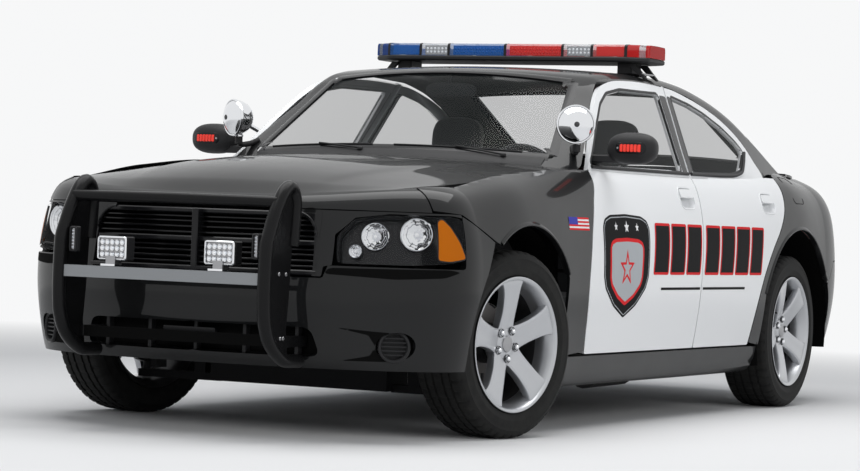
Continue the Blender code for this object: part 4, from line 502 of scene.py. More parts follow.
def pair(stem, parts, body="body", replaces=()):
    """A left piece and its mirrored twin; body and replaced nodes may hold {} for the side's word."""
    made = []
    for word, own in (("left", parts), ("right", other_side(parts))):
        made.append(put(stem + "_" + word, own, body.format(word), [node.format(word) for node in replaces]))
    return made


def both(parts):
    """Both sides as one list of parts."""
    return list(parts) + other_side(parts)


# %% [markdown]
# Small hard pieces come from four shapes: a grid of points, a profile turned round an axis, a round bar
# along a path, and an outline with a thickness and broken edges.

# %% Grids, turned shapes, bars and plates
def gridded(points, closed_a=False, closed_b=False):
    """Faces over a grid of points with shape (rows, columns, 3)."""
    na, nb = points.shape[:2]
    i, j = np.meshgrid(np.arange(na if closed_a else na - 1), np.arange(nb if closed_b else nb - 1), indexing="ij")
    i, j = i.ravel(), j.ravel()
    k, m = (i + 1) % na, (j + 1) % nb
    quads = np.stack([i * nb + j, k * nb + j, k * nb + m, i * nb + m], 1)
    return points.reshape(-1, 3), quads.tolist()


def sheet(points, finish, flip=False, **closed):
    """The part that a grid of points makes; flip turns its faces round."""
    verts, faces = gridded(np.asarray(points), **closed)
    return verts, [f[::-1] for f in faces] if flip else faces, None, finish


AXES = {"x": ((0, 1, 0), (0, 0, 1), (1, 0, 0)), "y": ((0, 0, 1), (1, 0, 0), (0, 1, 0)),
        "z": ((1, 0, 0), (0, 1, 0), (0, 0, 1))}


def turned(profile, centre, finish, axis="y", steps=48, flip=1.0, sweep=2 * math.pi, frame_of=None):
    """Radius and offset pairs turned round an axis: P = C + r cos(a) U + r sin(a) V + o W."""
    profile = np.asarray(profile, float)
    closed = abs(sweep - 2 * math.pi) < 1e-6
    angle = np.linspace(0, sweep, steps, endpoint=not closed)
    u, v, w = (np.array(d, float) for d in (frame_of or AXES[axis]))
    r, o = profile[:, 0][None, :, None], profile[:, 1][None, :, None] * flip
    points = (np.array(centre) + r * (np.cos(angle)[:, None, None] * u + np.sin(angle)[:, None, None] * v) + o * w)
    return sheet(points, finish, flip < 0, closed_a=closed)


def bar(path, radius, finish, steps=12):
    """A round bar swept along a path; the section keeps its twist by projecting one side direction."""
    path = np.asarray(path, float)
    way = unit(np.gradient(path, axis=0))
    hint = np.array([0.0, 0.0, 1.0]) if abs(way[:, 2]).mean() < 0.7 else np.array([0.0, 1.0, 0.0])
    u = unit(np.cross(way, hint))
    v = np.cross(way, u)
    angle = np.linspace(0, 2 * math.pi, steps, endpoint=False)
    radius = np.broadcast_to(radius, (len(path),))[:, None, None]
    points = path[:, None] + radius * (np.cos(angle)[None, :, None] * u[:, None]
                                       + np.sin(angle)[None, :, None] * v[:, None])
    verts, faces, *rest = sheet(points, finish, True, closed_b=True)
    faces += [list(range(steps))[::-1], [(len(path) - 1) * steps + k for k in range(steps)]]
    return verts, faces, *rest


def winding(loop):
    """1 where a closed outline runs anticlockwise, and -1 where it runs clockwise."""
    area = (loop[:, 0] * np.roll(loop[:, 1], -1) - np.roll(loop[:, 0], -1) * loop[:, 1]).sum()
    return 1.0 if area > 0 else -1.0


def plate(outline, low, high, finish, axis="y", edge=0.002):
    """An outline given a thickness, with its edges broken: the end faces are drawn in by edge."""
    loop = np.asarray(outline, float)
    along = unit(np.roll(loop, -1, 0) - loop) + unit(loop - np.roll(loop, 1, 0))
    small = loop + unit(np.stack([-along[:, 1], along[:, 0]], 1) * winding(loop)) * edge
    levels = ((small, low), (loop, low + edge), (loop, high - edge), (small, high))
    rings = []
    for ring, level in levels:
        a, b, c = ring[:, 0], ring[:, 1], np.full(len(ring), level)
        rings.append({"y": np.stack([AXLE - a, c, b], 1), "z": np.stack([AXLE - a, b, c], 1),
                      "x": np.stack([c, a, b], 1)}[axis])
    verts, faces = gridded(np.stack(rings), closed_b=True)
    n = len(loop)
    faces += [list(range(n)), [3 * n + k for k in range(n)][::-1]]
    middle = verts.mean(0)
    spread = sum(float(np.dot(np.cross(verts[f[1]] - verts[f[0]], verts[f[2]] - verts[f[0]]),
                              verts[f].mean(0) - middle)) for f in faces[:3 * n])
    if spread < 0:
        faces = [f[::-1] for f in faces]
    return verts, faces, None, finish


def slab(back, y, z, finish, edge=0.003):
    """A block with broken edges from its two distances back, two half widths and two heights."""
    (b0, b1), (y0, y1), (z0, z1) = back, y, z
    return plate([(b0, z0), (b1, z0), (b1, z1), (b0, z1)], min(y0, y1), max(y0, y1), finish, "y",
                 min(edge, 0.45 * min(abs(b1 - b0), abs(y1 - y0), abs(z1 - z0))))


def arc(centre, radius, start, end, count):
    """Points round a centre between two angles in degrees."""
    angle = np.radians(np.linspace(start, end, count))
    return np.stack([centre[0] + radius * np.cos(angle), centre[1] + radius * np.sin(angle)], 1).tolist()


print("helpers ready")

# %% [markdown]
# The doors' shut lines, the arches and the lamp edges are outlines on the side, written as (back, height)
# so that they can be compared with a side view. A gap of about six millimetres runs between panels.

# %% Outlines of the body side
SHUT = 0.006
SILL_Z = 0.303
BELT_Z = 1.045
DOOR_FRONT_EDGE = [(0.620, 0.290), (0.598, 0.420), (0.585, 0.600), (0.602, 0.760), (0.660, 0.905), (0.712, 0.980),
                   (0.735, 1.050)]
DOOR_SPLIT = [(1.800, 0.290), (1.800, 0.600), (1.812, 0.840), (1.830, 0.960), (1.845, 1.050)]
DOOR_REAR_EDGE = [(2.455, 0.290), (2.485, 0.400), (2.567, 0.600), (2.664, 0.730), (2.785, 0.845), (2.862, 0.940),
                  (2.895, 1.020), (2.903, 1.080)]


def curve(points, count=60):
    """A shut line drawn smoothly through its points: back as a monotone cubic of height."""
    points = np.asarray(points, float)
    z = np.linspace(points[0, 1], points[-1, 1], count)
    return np.stack([pchip(z, points[:, 1], points[:, 0]), z], 1)


def shifted(line, back):
    return line + np.array([back, 0.0])


def rectangle(a0, a1, b0, b1):
    return [(a0, b0), (a1, b0), (a1, b1), (a0, b1)]


def between(front, rear, low, high):
    """Closed outline between two shut lines, from height low to height high."""
    edges = []
    for line in (front, rear):
        ends = [[float(np.interp(z, line[:, 1], line[:, 0])), z] for z in (low, high)]
        edges.append(np.concatenate([ends[:1], line[(line[:, 1] > low) & (line[:, 1] < high)], ends[1:]]))
    return np.concatenate([edges[0], edges[1][::-1]])


front_line, split_line, rear_line = curve(DOOR_FRONT_EDGE), curve(DOOR_SPLIT), curve(DOOR_REAR_EDGE)
ARCH_FRONT, ARCH_REAR = ((0.0, 0.357), 0.448), ((3.060, 0.357), 0.478)
arch_front = arc(*ARCH_FRONT, 124, 34, 40)
arch_rear = arc(*ARCH_REAR, 158, 28, 48)
corner_s = s_at_y(0.735, 9.0)
print("hood corner at s %.3f" % corner_s)

# %% [markdown]
# The fender reaches from the headlamp to the door. Its lower edge is the wheel arch, whose rim stands a
# little proud of the panel, so the arch gets its own rolled flange.

# %% Fenders, quarters and arch flanges
STEP = 0.014
lamp_s = s_at_back(-0.500, 0.834)
fender_outline = ([(corner_s + 0.006, 1.2), (corner_s + 0.006, 0.846), (lamp_s, 0.835), (-0.300, 0.745)] + arch_front
                  + [(0.372, SILL_Z)] + shifted(front_line, -SHUT).tolist() + [(0.729, 1.2)])
fender_outline = [p for p in fender_outline if p[1] >= SILL_Z - 1e-6]


def flange(centre, radius, start, end, width=0.016, proud=0.006):
    """The rolled rim of a wheel arch: a quarter-round strip standing a few millimetres off the skin."""
    angle = np.radians(np.linspace(start, end, 70))
    grid = []
    for r, out in ((radius + width, 0.0006), (radius + 0.7 * width, 0.6 * proud), (radius + 0.25 * width, proud),
                   (radius, 0.7 * proud), (radius - 0.001, -0.004), (radius + 0.004, -0.022)):
        back, z = centre[0] + r * np.cos(angle), centre[1] + r * np.sin(angle)
        p = side(back, z)
        grid.append(p + steady(side, back, z) * out)
    return sheet(grid, BLACK)


fender = [trimmed(side, fender_outline, STEP, BLACK, span=((corner_s - 0.02, 0.78), (0.28, 1.12)))]
pair("fender", fender, replaces=["fender_{}"])
tail_s = s_at_y(0.835, 6.5, nose=False)
quarter_outline = (shifted(rear_line, SHUT + 0.003)[::-1][:-2].tolist() + [(2.600, SILL_Z)]
                   + [p for p in arch_rear if p[0] > 2.601]
                   + [(3.500, 0.606), (3.560, 0.690), (3.640, 0.701), (tail_s - 0.004, 0.701), (tail_s - 0.004, 1.3),
                      (2.917, 1.3)])
quarter = [trimmed(side, quarter_outline, STEP, BLACK, span=((2.44, tail_s), (0.28, 1.13)))]
pair("quarter", quarter, replaces=["quarter_{}"])
pair("arch_flange_front", [flange(*ARCH_FRONT, 124, 36)])
pair("arch_flange_rear", [flange(*ARCH_REAR, 158, 30)])
print("fender %d faces, quarter %d faces" % (len(fender[0][1]), len(quarter[0][1])))

# %% [markdown]
# A door is two surfaces: the curved skin up to the belt, and the window frame above it, which leans in
# on the cabin's side plane. Both are white, and a dark weather strip hides the line between them.

# %% The cabin's side plane
CABIN_STATIONS = (0.45, 1.00, 1.80, 2.60, 3.30)
CABIN_Y = (0.810, 0.838, 0.843, 0.832, 0.770)
LEAN = 0.47


def cabin(back, z):
    """Point of the window frames' surface."""
    return np.stack([AXLE - back, pchip(back, CABIN_STATIONS, CABIN_Y) - LEAN * (z - BELT_Z),
                     np.broadcast_to(z, np.shape(back)).astype(float)], -1)


FRAME_TOP = np.array([(0.745, 1.036), (0.762, 1.050), (0.960, 1.225), (1.110, 1.345), (1.213, 1.400), (1.435, 1.436),
                      (1.691, 1.444), (1.996, 1.436), (2.257, 1.400), (2.477, 1.350), (2.650, 1.285), (2.782, 1.205),
                      (2.845, 1.137), (2.900, 1.080), (2.908, 1.036)])
WINDOW_FRONT = [(0.800, 1.060), (0.990, 1.210), (1.140, 1.318), (1.250, 1.368), (1.420, 1.393), (1.850, 1.400),
                (1.770, 1.068)]
WINDOW_REAR = [(2.005, 1.397), (2.200, 1.372), (2.360, 1.338), (2.530, 1.285), (2.660, 1.225), (2.715, 1.186),
               (2.560, 1.098), (2.420, 1.080), (1.915, 1.068)]
SPLIT_TOP = np.array([(1.843, 1.036), (1.847, 1.050), (1.877, 1.180), (1.927, 1.330), (1.957, 1.445)])


def rounded(loop, radius=0.02, count=5):
    """Each corner of a closed outline replaced by a short curve: P = (1-u)^2 A + 2u(1-u) C + u^2 B."""
    loop = np.asarray(loop, float)
    before, after = np.roll(loop, 1, 0) - loop, np.roll(loop, -1, 0) - loop
    lb, la = np.linalg.norm(before, axis=1, keepdims=True), np.linalg.norm(after, axis=1, keepdims=True)
    a = loop + before / lb * np.minimum(radius, 0.45 * lb)
    b = loop + after / la * np.minimum(radius, 0.45 * la)
    u = np.linspace(0, 1, count)[None, :, None]
    return ((1 - u) ** 2 * a[:, None] + 2 * u * (1 - u) * loop[:, None] + u ** 2 * b[:, None]).reshape(-1, 2)


def frame_loop(first, last):
    """The top edge of a door's frame between two distances back."""
    back = np.linspace(first, last, 60)
    return np.stack([back, pchip(back, *FRAME_TOP.T)], 1)


top_front, split_top = frame_loop(0.745, 1.950), curve(SPLIT_TOP, 30)
front_frame = np.concatenate([top_front[top_front[:, 0] < np.interp(1.44, split_top[:, 1], split_top[:, 0]) - SHUT],
                              shifted(split_top, -SHUT / 2)[::-1]])
rear_frame = np.concatenate([shifted(split_top, SHUT / 2 + 0.003), frame_loop(1.965, 2.908)])


def handle_hole(back):
    return rounded(rectangle(back - 0.080, back + 0.080, 0.908, 0.992), 0.036)


def door_skin(front, rear, handle_back):
    loop = between(front, rear, SILL_Z + 0.003, 1.07)
    return trimmed(side, loop, STEP, WHITE, [handle_hole(handle_back)], (extent(loop, 0.02)[0], (0.28, 1.09)),
                   lip=0.028)


def door_lining(front, rear):
    """The moulded inner face of a door, a level inside its skin."""
    loop = between(front, rear, SILL_Z + 0.012, 1.060)
    loop[:, 0] += np.where(loop[:, 0] < loop[:, 0].mean(), 0.008, -0.008)
    return trimmed(side, loop, 0.02, CABIN, span=(extent(loop, 0.02)[0], (0.28, 1.07)), lip=0.0, lift=-0.032)


def door_frame(loop, window):
    """The frame with its window cut out."""
    return trimmed(cabin, loop, 0.009, WHITE, [rounded(window)], (extent(loop, 0.01)[0], (1.03, 1.46)), lip=0.02)


def grown(loop, by):
    """A closed outline moved outward by a distance along its corners' directions."""
    loop = np.asarray(loop, float)
    tangent = unit(np.roll(loop, -1, 0) - np.roll(loop, 1, 0))
    return loop + np.stack([tangent[:, 1], -tangent[:, 0]], 1) * by * winding(loop)


def strip_round(surface, loop, width, finish, lift=0.0012):
    """A band that follows a closed outline on a surface, from its edge outward by width."""
    inner, outer = np.asarray(loop, float), grown(loop, width)
    rings = []
    for share, rise in ((0.0, -0.008), (0.0, 0.6), (0.3, 1.0), (0.7, 1.0), (1.0, 0.0)):
        ring = inner * (1 - share) + outer * share
        p = surface(ring[:, 0], ring[:, 1])
        n = steady(surface, ring[:, 0], ring[:, 1])
        n *= np.sign((n * (p - INSIDE)).sum(1, keepdims=True))
        rings.append(p + n * (rise * lift if rise >= 0 else rise))
    return sheet(rings, finish, closed_b=True)


def pane(window):
    """Side glass: a sheet behind the frame."""
    return trimmed(cabin, grown(rounded(window), 0.004), 0.02, GLASS, lip=0.0, lift=-0.010)


DOORS = {"front": ((front_line, shifted(split_line, -SHUT / 2)), front_frame, WINDOW_FRONT, 1.684),
         "rear": ((shifted(split_line, SHUT / 2 + 0.002), rear_line), rear_frame, WINDOW_REAR, 2.654)}
for word, (edges, frame_edge, window, handle_back) in DOORS.items():
    pair("door_%s_skin" % word, [door_skin(*edges, handle_back), door_frame(frame_edge, window)],
         "door_%s_{}" % word, ["door_%s_{}" % word])
for word, (edges, frame_edge, window, handle_back) in DOORS.items():
    pair("door_lining_" + word, [door_lining(*edges)], "door_%s_{}" % word)
for word, (edges, frame_edge, window, handle_back) in DOORS.items():
    pair("glass_" + word, [pane(window)], "door_%s_{}" % word, ["window_%s_{}" % word])
for word, (edges, frame_edge, window, handle_back) in DOORS.items():
    pair("seal_" + word, [strip_round(cabin, rounded(window), 0.012, TRIM)], "door_%s_{}" % word)
print("doors dressed")

# %% [markdown]
# The hood is crowned across and falls towards the nose, where it rolls over into a lip above the grille.
# Two creases run from the corners of the windshield towards the grille, and the middle stands a few
# millimetres higher than the flanks.

# %% Hood
HOOD_Y = 0.735


def hood_surface(v, w):
    """Left half: v is 0 on the middle line and 1 at the fender, w is 0 at the windshield and 1 at the nose."""
    loop_s = np.interp(HOOD_Y * v, *edge_table)
    nose = skin(loop_s, np.full(v.shape, TOP_RAIL))
    start = 0.470 + 0.200 * v ** 2
    back = start + (AXLE - nose[..., 0] - start) * w
    width = skin(np.clip(back, corner_s, 0.7), np.full(back.shape, TOP_RAIL))[..., 1] - 0.005
    y = v * width * (1 - w ** 4) + nose[..., 1] * w ** 4
    rise = pchip(w, (0.0, 0.19, 0.51, 0.77, 0.93, 1.0), (0.0, 0.05, 0.19, 0.42, 0.72, 1.0)) * (1 - v ** 2)
    rise = rise + w ** 1.1 * v ** 2
    z_rear = 1.072 - 0.036 * v ** 2
    z = z_rear + (nose[..., 2] - z_rear) * rise
    line = 0.70 - 0.16 * w
    dome = 1 / (1 + np.exp(-(line - v) / 0.018))
    z = z + 0.006 * dome * np.sin(np.pi * np.clip(w, 0, 1)) ** 0.6 - 0.003
    return np.stack([AXLE - back, y, z], -1)


walk = np.linspace(S_MIN, NOSE_START, 600)
edge_table = (skin(walk, np.full(walk.shape, TOP_RAIL))[:, 1], walk)
v = np.linspace(0, 1, 90)
w = 1 - (1 - np.linspace(0, 1, 110)) ** 1.3
top = hood_surface(*np.meshgrid(v, w, indexing="ij"))
loop_s = np.interp(HOOD_Y * v, *edge_table)
t_low = rail_at(loop_s, np.full(loop_s.shape, 0.838))
lip_t = TOP_RAIL + (t_low[:, None] - TOP_RAIL) * np.linspace(0, 1, 14)[None, 1:]
lip = skin(np.broadcast_to(loop_s[:, None], lip_t.shape), lip_t)
lip[..., 2] -= 0.003 * (1 - np.linspace(0, 1, 14)[None, 1:])
half = np.concatenate([top, lip], 1)


def rolled_edge(grid, depth=0.012):
    """A row more all round a grid, turned down by depth."""
    down = np.array([0.0, 0.0, -depth])
    grid = np.concatenate([grid[:, :1] + down, grid], 1)
    return np.concatenate([grid, grid[-1:] + down], 0)


def whole(half):
    """Both halves as one grid, from the right edge to the left."""
    return np.concatenate([(half[1:] * FLIP)[::-1], half], 0)


hood = sheet(whole(rolled_edge(half)), BLACK, True)
put("hood_panel", [hood], "hood", ["hood"])
print("hood %d faces" % len(hood[1]))

# %% [markdown]
# The roof panel, the A pillars and the wide rear pillars are one shell. Its cross sections run up the
# cabin's side and over the crowned roof, with the corner between them rounded, and the door frames,
# windshield and rear glass are left out of it.

# %% The canopy surface
ROOF_BACK = (0.30, 0.40, 0.587, 0.963, 1.104, 1.20, 1.40, 1.70, 2.00, 2.25, 2.50, 2.80, 3.10, 3.35, 3.50, 3.80)
ROOF_Z = (0.900, 0.968, 1.092, 1.340, 1.430, 1.466, 1.489, 1.500, 1.500, 1.488, 1.455, 1.385, 1.270, 1.160, 1.095, 0.98)
BEND_STATIONS = (0.50, 1.10, 1.60, 2.40, 3.30)
BEND = (0.12, 0.12, 0.00, -0.05, -0.12)
CROWN, CROWN_Y = 0.030, 0.70


def roof(back, y):
    """Roof height: a curve along the car, bent forward or back at the sides, less a crown of y squared."""
    q = (np.asarray(y, float) / CROWN_Y) ** 2
    return pchip(back - pchip(back, BEND_STATIONS, BEND) * q, ROOF_BACK, ROOF_Z) - CROWN * q


def cabin_side(back, z):
    return pchip(back, CABIN_STATIONS, CABIN_Y) - LEAN * np.maximum(z - BELT_Z, 0.0) - 0.002


def roof_corner(back):
    """Height where the cabin side meets the roof, found by repeated halves."""
    z = np.full(np.shape(back), 1.3)
    for _ in range(60):
        z = 0.5 * z + 0.5 * roof(back, cabin_side(back, z))
    return z


CORNER_BACK = np.linspace(0.40, 3.60, 321)
CORNER_Z = roof_corner(CORNER_BACK)
ROUND = 0.16


def canopy(back, q):
    """q from 0 to 1 climbs the cabin side, 1 to 2 crosses the roof to the middle; the corner is eased."""
    back, q = np.broadcast_arrays(np.asarray(back, float), np.asarray(q, float))
    zc = np.interp(back, CORNER_BACK, CORNER_Z)
    z0 = np.minimum(BELT_Z - 0.02, zc - 0.06)
    low = skin(np.clip(back, 0.4, 3.6), np.full(back.shape, TOP_RAIL))[..., 2]
    z0 = np.where(back > 2.93, low - 0.004, z0)
    zc = np.maximum(zc, z0 + 0.012)
    yc = cabin_side(back, zc)

    def plain(q):
        z = z0 + (zc - z0) * np.minimum(q, 1.0)
        y_top = yc * np.clip(2.0 - q, 0.0, 1.0)
        y = np.where(q <= 1.0, cabin_side(back, z), y_top)
        return y, np.where(q <= 1.0, z, np.minimum(roof(back, y_top), 9.0))

    ones = np.ones_like(q)
    a, corner, b = plain(ones - ROUND), plain(ones), plain(ones + ROUND * 0.55)
    u = np.clip((q - (1.0 - ROUND)) / (ROUND + ROUND * 0.55), 0.0, 1.0)
    y, z = plain(q)
    eased = (u > 0) & (u < 1)
    ey = (1 - u) ** 2 * a[0] + 2 * u * (1 - u) * corner[0] + u ** 2 * b[0]
    ez = (1 - u) ** 2 * a[1] + 2 * u * (1 - u) * corner[1] + u ** 2 * b[1]
    return np.stack([AXLE - back, np.where(eased, ey, y), np.where(eased, ez, z)], -1)


def q_of_z(back, z):
    """The canopy's second number for a height on the cabin side."""
    zc = np.interp(back, CORNER_BACK, CORNER_Z)
    z0 = np.minimum(BELT_Z - 0.02, zc - 0.06)
    return np.clip((z - z0) / (zc - z0), 0.0, 1.0)


def q_of_y(back, y):
    zc = np.interp(back, CORNER_BACK, CORNER_Z)
    return 2.0 - y / cabin_side(back, zc)


WS_LOW, WS_HIGH, WS_Y_LOW, WS_Y_HIGH = 0.600, 1.160, 0.690, 0.570
BL_LOW, BL_HIGH, BL_Y_LOW, BL_Y_HIGH = 3.330, 2.560, 0.600, 0.560
k = np.linspace(-0.15, 1, 30)
shield = np.concatenate([np.stack([WS_LOW + 0.13 * (k * WS_Y_LOW / CROWN_Y) ** 2, k * WS_Y_LOW], 1),
                         np.stack([WS_HIGH + 0.06 * (k * WS_Y_HIGH / CROWN_Y) ** 2, k * WS_Y_HIGH], 1)[::-1]])
rear_pane = np.concatenate([np.stack([BL_HIGH - 0.05 * (k * BL_Y_HIGH / CROWN_Y) ** 2, k * BL_Y_HIGH], 1),
                            np.stack([BL_LOW - 0.10 * (k * BL_Y_LOW / CROWN_Y) ** 2, k * BL_Y_LOW], 1)[::-1]])


def on_canopy(loop):
    """A (back, y) outline in the canopy's own numbers, running a little past the middle line."""
    loop = rounded(loop, 0.03)
    q = q_of_y(loop[:, 0], loop[:, 1])
    return np.stack([loop[:, 0], np.where(loop[:, 1] < 0.012, 2.2, q)], 1)


frame_gap = grown(np.concatenate([[(0.700, 0.90), (0.700, 1.036)], FRAME_TOP[1:-1], [(2.908, 1.036), (2.908, 0.90)]]),
                  0.005)
frame_hole = np.stack([frame_gap[:, 0], np.where(frame_gap[:, 1] < 1.03, -0.5, q_of_z(*frame_gap.T))], 1)
hood_gap = [(0.476 + 0.200 * (y / 0.842) ** 2, 2.0 - y / 0.842) for y in np.linspace(0, 0.842, 30)]
lid_gap = [(3.416 - 0.020 * (y / 0.735) ** 2, 2.0 - y / 0.735) for y in np.linspace(0, 0.735, 30)]
canopy_loop = [(0.476, 2.3)] + hood_gap[1:] + [(0.68, -0.02), (3.395, -0.02)] + lid_gap[:0:-1] + [(3.416, 2.3)]
shell = trimmed(canopy, canopy_loop, 0.013, BLACK, [frame_hole, on_canopy(shield), on_canopy(rear_pane)],
                ((0.45, 3.45), (-0.03, 2.0)), lip=0.0)
put("roof_shell", both([shell]), "body", ["roof"])
print("canopy %d faces" % (2 * len(shell[1])))


# %% Windshield and rear glass
def roof_point(back, y):
    return np.stack([AXLE - back, y, roof(back, y)], -1)


def full_loop(loop):
    """A half outline carried over the middle line."""
    loop = rounded(loop, 0.03)
    loop = loop[loop[:, 1] > 0.001]
    return np.concatenate([loop, (loop * np.array([1.0, -1.0]))[::-1]])


for name, loop, node in (("windshield_glass", shield, "windshield"), ("rear_window_glass", rear_pane, "rear_glass")):
    outline = grown(full_loop(loop), 0.004)
    put(name, [trimmed(roof_point, outline, 0.03, GLASS, lip=0.0, lift=-0.006),
               strip_round(roof_point, grown(outline, -0.030), 0.040, GLOSS_TRIM, 0.0036)], "body", [node])
print("glass in")

# %% [markdown]
# The trunk lid is the hood's opposite: a short deck with a folded rear face that reaches down between
# the tail lamps to the plate recess.

# %% Trunk lid
def lid_half(count=60):
    """Rows from the middle line outward; the deck first, then the face that drops to low(v)."""
    v = np.sort(np.concatenate([np.linspace(0, 1, count), [0.688, 0.692]]))
    tail = np.linspace(TAIL_START, S_MAX, 600)
    across = skin(tail, np.full(tail.shape, TOP_RAIL))[:, 1]
    loop_s = np.interp(-0.640 * v, -across, tail)
    nose = skin(loop_s, np.full(v.shape, TOP_RAIL))
    w = np.linspace(0, 1, 40)
    front = 3.430 - 0.020 * v[:, None] ** 2
    back = front + (AXLE - nose[:, None, 0] - front) * w
    width = skin(np.minimum(back, loop_s[-1]), np.full(back.shape, TOP_RAIL))[..., 1] - 0.005
    y = v[:, None] * width * (1 - w ** 3) + nose[:, None, 1] * w ** 3
    z_front = 1.105 + 0.022 * (1 - v[:, None] ** 2)
    z = z_front + (nose[:, None, 2] - z_front) * w ** 1.6
    deck = np.stack([AXLE - back, y, z], -1)
    low = np.where(v < 0.69, 0.702, 0.969)
    t_low = rail_at(loop_s, low)
    t = TOP_RAIL + (t_low[:, None] - TOP_RAIL) * np.linspace(0, 1, 26)[None, 1:]
    kept = np.stack([np.interp(-0.640 * v, -skin(tail, np.full(tail.shape, rail))[:, 1], tail)
                     for rail in np.linspace(TOP_RAIL, t_low[0], 40)], 1)
    place = np.clip((TOP_RAIL - t) / (TOP_RAIL - t_low[0]) * 39, 0, 38.999)
    i = place.astype(int)
    row = np.arange(len(v))[:, None]
    s_const_y = kept[row, i] * (1 - (place - i)) + kept[row, i + 1] * (place - i)
    blend = np.clip((v[:, None] - 0.70) / 0.05, 0, 1)
    s = s_const_y * (1 - blend) + loop_s[:, None] * blend
    return np.concatenate([deck, skin(s, t)], 1)


lid = sheet(whole(rolled_edge(lid_half())), BLACK)
put("trunk_lid_panel", [lid], "trunk_lid", ["trunk_lid"])
print("trunk lid %d faces" % len(lid[1]))

# %% [markdown]
# Bumpers wrap round the ends on the same skin, so their outlines are written along s, the distance that
# runs round the corner. The front one has a wide lower intake and two round fog recesses.

# %% Front bumper
grille_s = s_at_y(0.500, 5.0)
bumper_outline = [(S_MIN, 0.264), (S_MIN, 0.590), (grille_s, 0.590), (grille_s + 0.012, 0.636),
                  (s_at_back(-0.520, 0.64), 0.636), (lamp_s - 0.012, 0.650), (lamp_s - 0.006, 0.829), (-0.430, 0.797),
                  (-0.303, 0.738), *arc(*ARCH_FRONT, 144, 192, 20), (-0.440, 0.264)]
intake_s = s_at_y(0.500, 3.0)
intake = [(S_MIN - 0.3, 0.306), (intake_s, 0.306), (intake_s - 0.03, 0.412), (S_MIN - 0.3, 0.412)]
fog_s = s_at_back(-0.711, 0.353)
fog_hole = [(fog_s + a * 1.30, b) for a, b in arc((0.0, 0.353), 0.052, 0, 345, 24)]
bumper = trimmed(side, bumper_outline, 0.012, BLACK, [rounded(intake, 0.03), fog_hole],
                 ((S_MIN, -0.29), (0.262, 0.84)), lip=0.03)
put("front_bumper_skin", both([bumper]), "body", ["front_bumper"])
print("front bumper %d faces" % (2 * len(bumper[1])))

# %% Rear bumper and tail lamps
tail_in = s_at_y(0.449, 5.5, nose=False)
rear_outline = [(S_MAX, 0.272), (S_MAX, 0.692), (tail_in, 0.692), (tail_in - 0.003, 0.790), (tail_s + 0.003, 0.790),
                (tail_s - 0.001, 0.695), (3.640, 0.695), (3.560, 0.683), (3.497, 0.598), *arc(*ARCH_REAR, 30, 0, 12),
                (3.520, 0.272)]
rear_bumper = trimmed(side, rear_outline, STEP, BLACK, span=((3.46, S_MAX), (0.268, 0.80)), lip=0.03)
put("rear_bumper_skin", both([rear_bumper]), "body", ["rear_bumper"])
lamp_in = s_at_y(0.450, 6.5, nose=False)
tail_lamp = [(lamp_in, 0.799), (lamp_in, 0.960), (tail_s + 0.006, 0.960), (tail_s + 0.006, 0.799)]
lamp_skin = trimmed(side, rounded(tail_lamp, 0.025), 0.012, RED, span=((tail_s, lamp_in + 0.01), (0.79, 0.97)),
                    lip=0.02)
pair("tail_lamp_lens", [lamp_skin], replaces=["tail_lamp_{}"])
under_lid = [(tail_s - 0.010, 0.952), (tail_s - 0.010, 1.12), (lamp_in, 1.12), (lamp_in, 0.952)]
pair("tail_panel", [trimmed(side, under_lid, 0.010, BLACK, lip=0.0, lift=-0.003)])
print("rear end in")

# %% [markdown]
# The grille is a thin gloss frame round thin slats, with a bar down the middle and one wide slat across.
# Each slat follows the nose, so it is a strip swept along the skin at its own height.

# %% Grille
GRILLE_Y = 0.470
SLATS = (0.629, 0.649, 0.670, 0.689, 0.736, 0.757, 0.777, 0.794)


def nose_strip(y_end, z, section, finish, y_start=0.0, rail=5.5, sink=0.0):
    """A closed section of (inset, height) pairs swept along the nose from y_start to y_end."""
    y = np.linspace(y_start, y_end, 60)
    s = np.interp(np.abs(y), *nose_table(rail))
    p = side(s, np.full(s.shape, z))
    out = steady(side, s, np.full(s.shape, z))
    out *= np.sign(out[:, :1])
    p[:, 1] *= np.sign(y)
    out[:, 1] *= np.sign(y)
    out[:, 2] = 0.0
    out = unit(out)
    section = np.asarray(section, float)
    grid = (p[:, None] - out[:, None] * (section[None, :, :1] + sink)
            + np.array([0.0, 0.0, 1.0]) * section[None, :, 1:])
    return sheet(grid, finish, closed_b=True)


def nose_table(rail):
    walk = np.linspace(S_MIN, NOSE_START, 400)
    return skin(walk, np.full(walk.shape, rail))[:, 1], walk


def bead(width, height, edge):
    """A rounded strip's section: inset from 0 to width, height about the middle."""
    h = height / 2
    return [(0.0, -h + edge), (0.0, h - edge), (edge, h), (width, h), (width, -h), (edge, -h)]


grille = [nose_strip(GRILLE_Y - 0.004, z, bead(0.024, 0.006, 0.001), GLOSS_TRIM, sink=0.010) for z in SLATS]
grille.append(nose_strip(GRILLE_Y - 0.004, 0.713, bead(0.034, 0.019, 0.004), GLOSS_TRIM, sink=0.004))
for z in (0.607, 0.816):
    grille.append(nose_strip(GRILLE_Y, z, bead(0.045, 0.018, 0.004), GLOSS_TRIM, sink=-0.001))
edge_z = np.linspace(0.598, 0.825, 30)
edge_s = float(np.interp(GRILLE_Y - 0.004, *nose_table(5.5)))
rim = []
for inset, shift in ((0.0, -0.006), (0.0, 0.006), (0.045, 0.006), (0.045, -0.006)):
    p = side(np.full(edge_z.shape, edge_s + shift * 0.8), edge_z)
    p[:, 0] -= inset
    rim.append(p)
grille.append(sheet(rim, GLOSS_TRIM, closed_a=True))
grille_parts = both(grille)
grille_parts.append(slab((-0.905, -0.850), (-0.013, 0.013), (0.600, 0.822), GLOSS_TRIM, 0.004))
grille_parts.append(nose_strip(GRILLE_Y, 0.712, [(0.0, -0.115), (0.0, 0.115), (0.006, 0.115), (0.006, -0.115)], LINER_AND_PAINTED_SHADE,
                               y_start=-GRILLE_Y, sink=0.048))
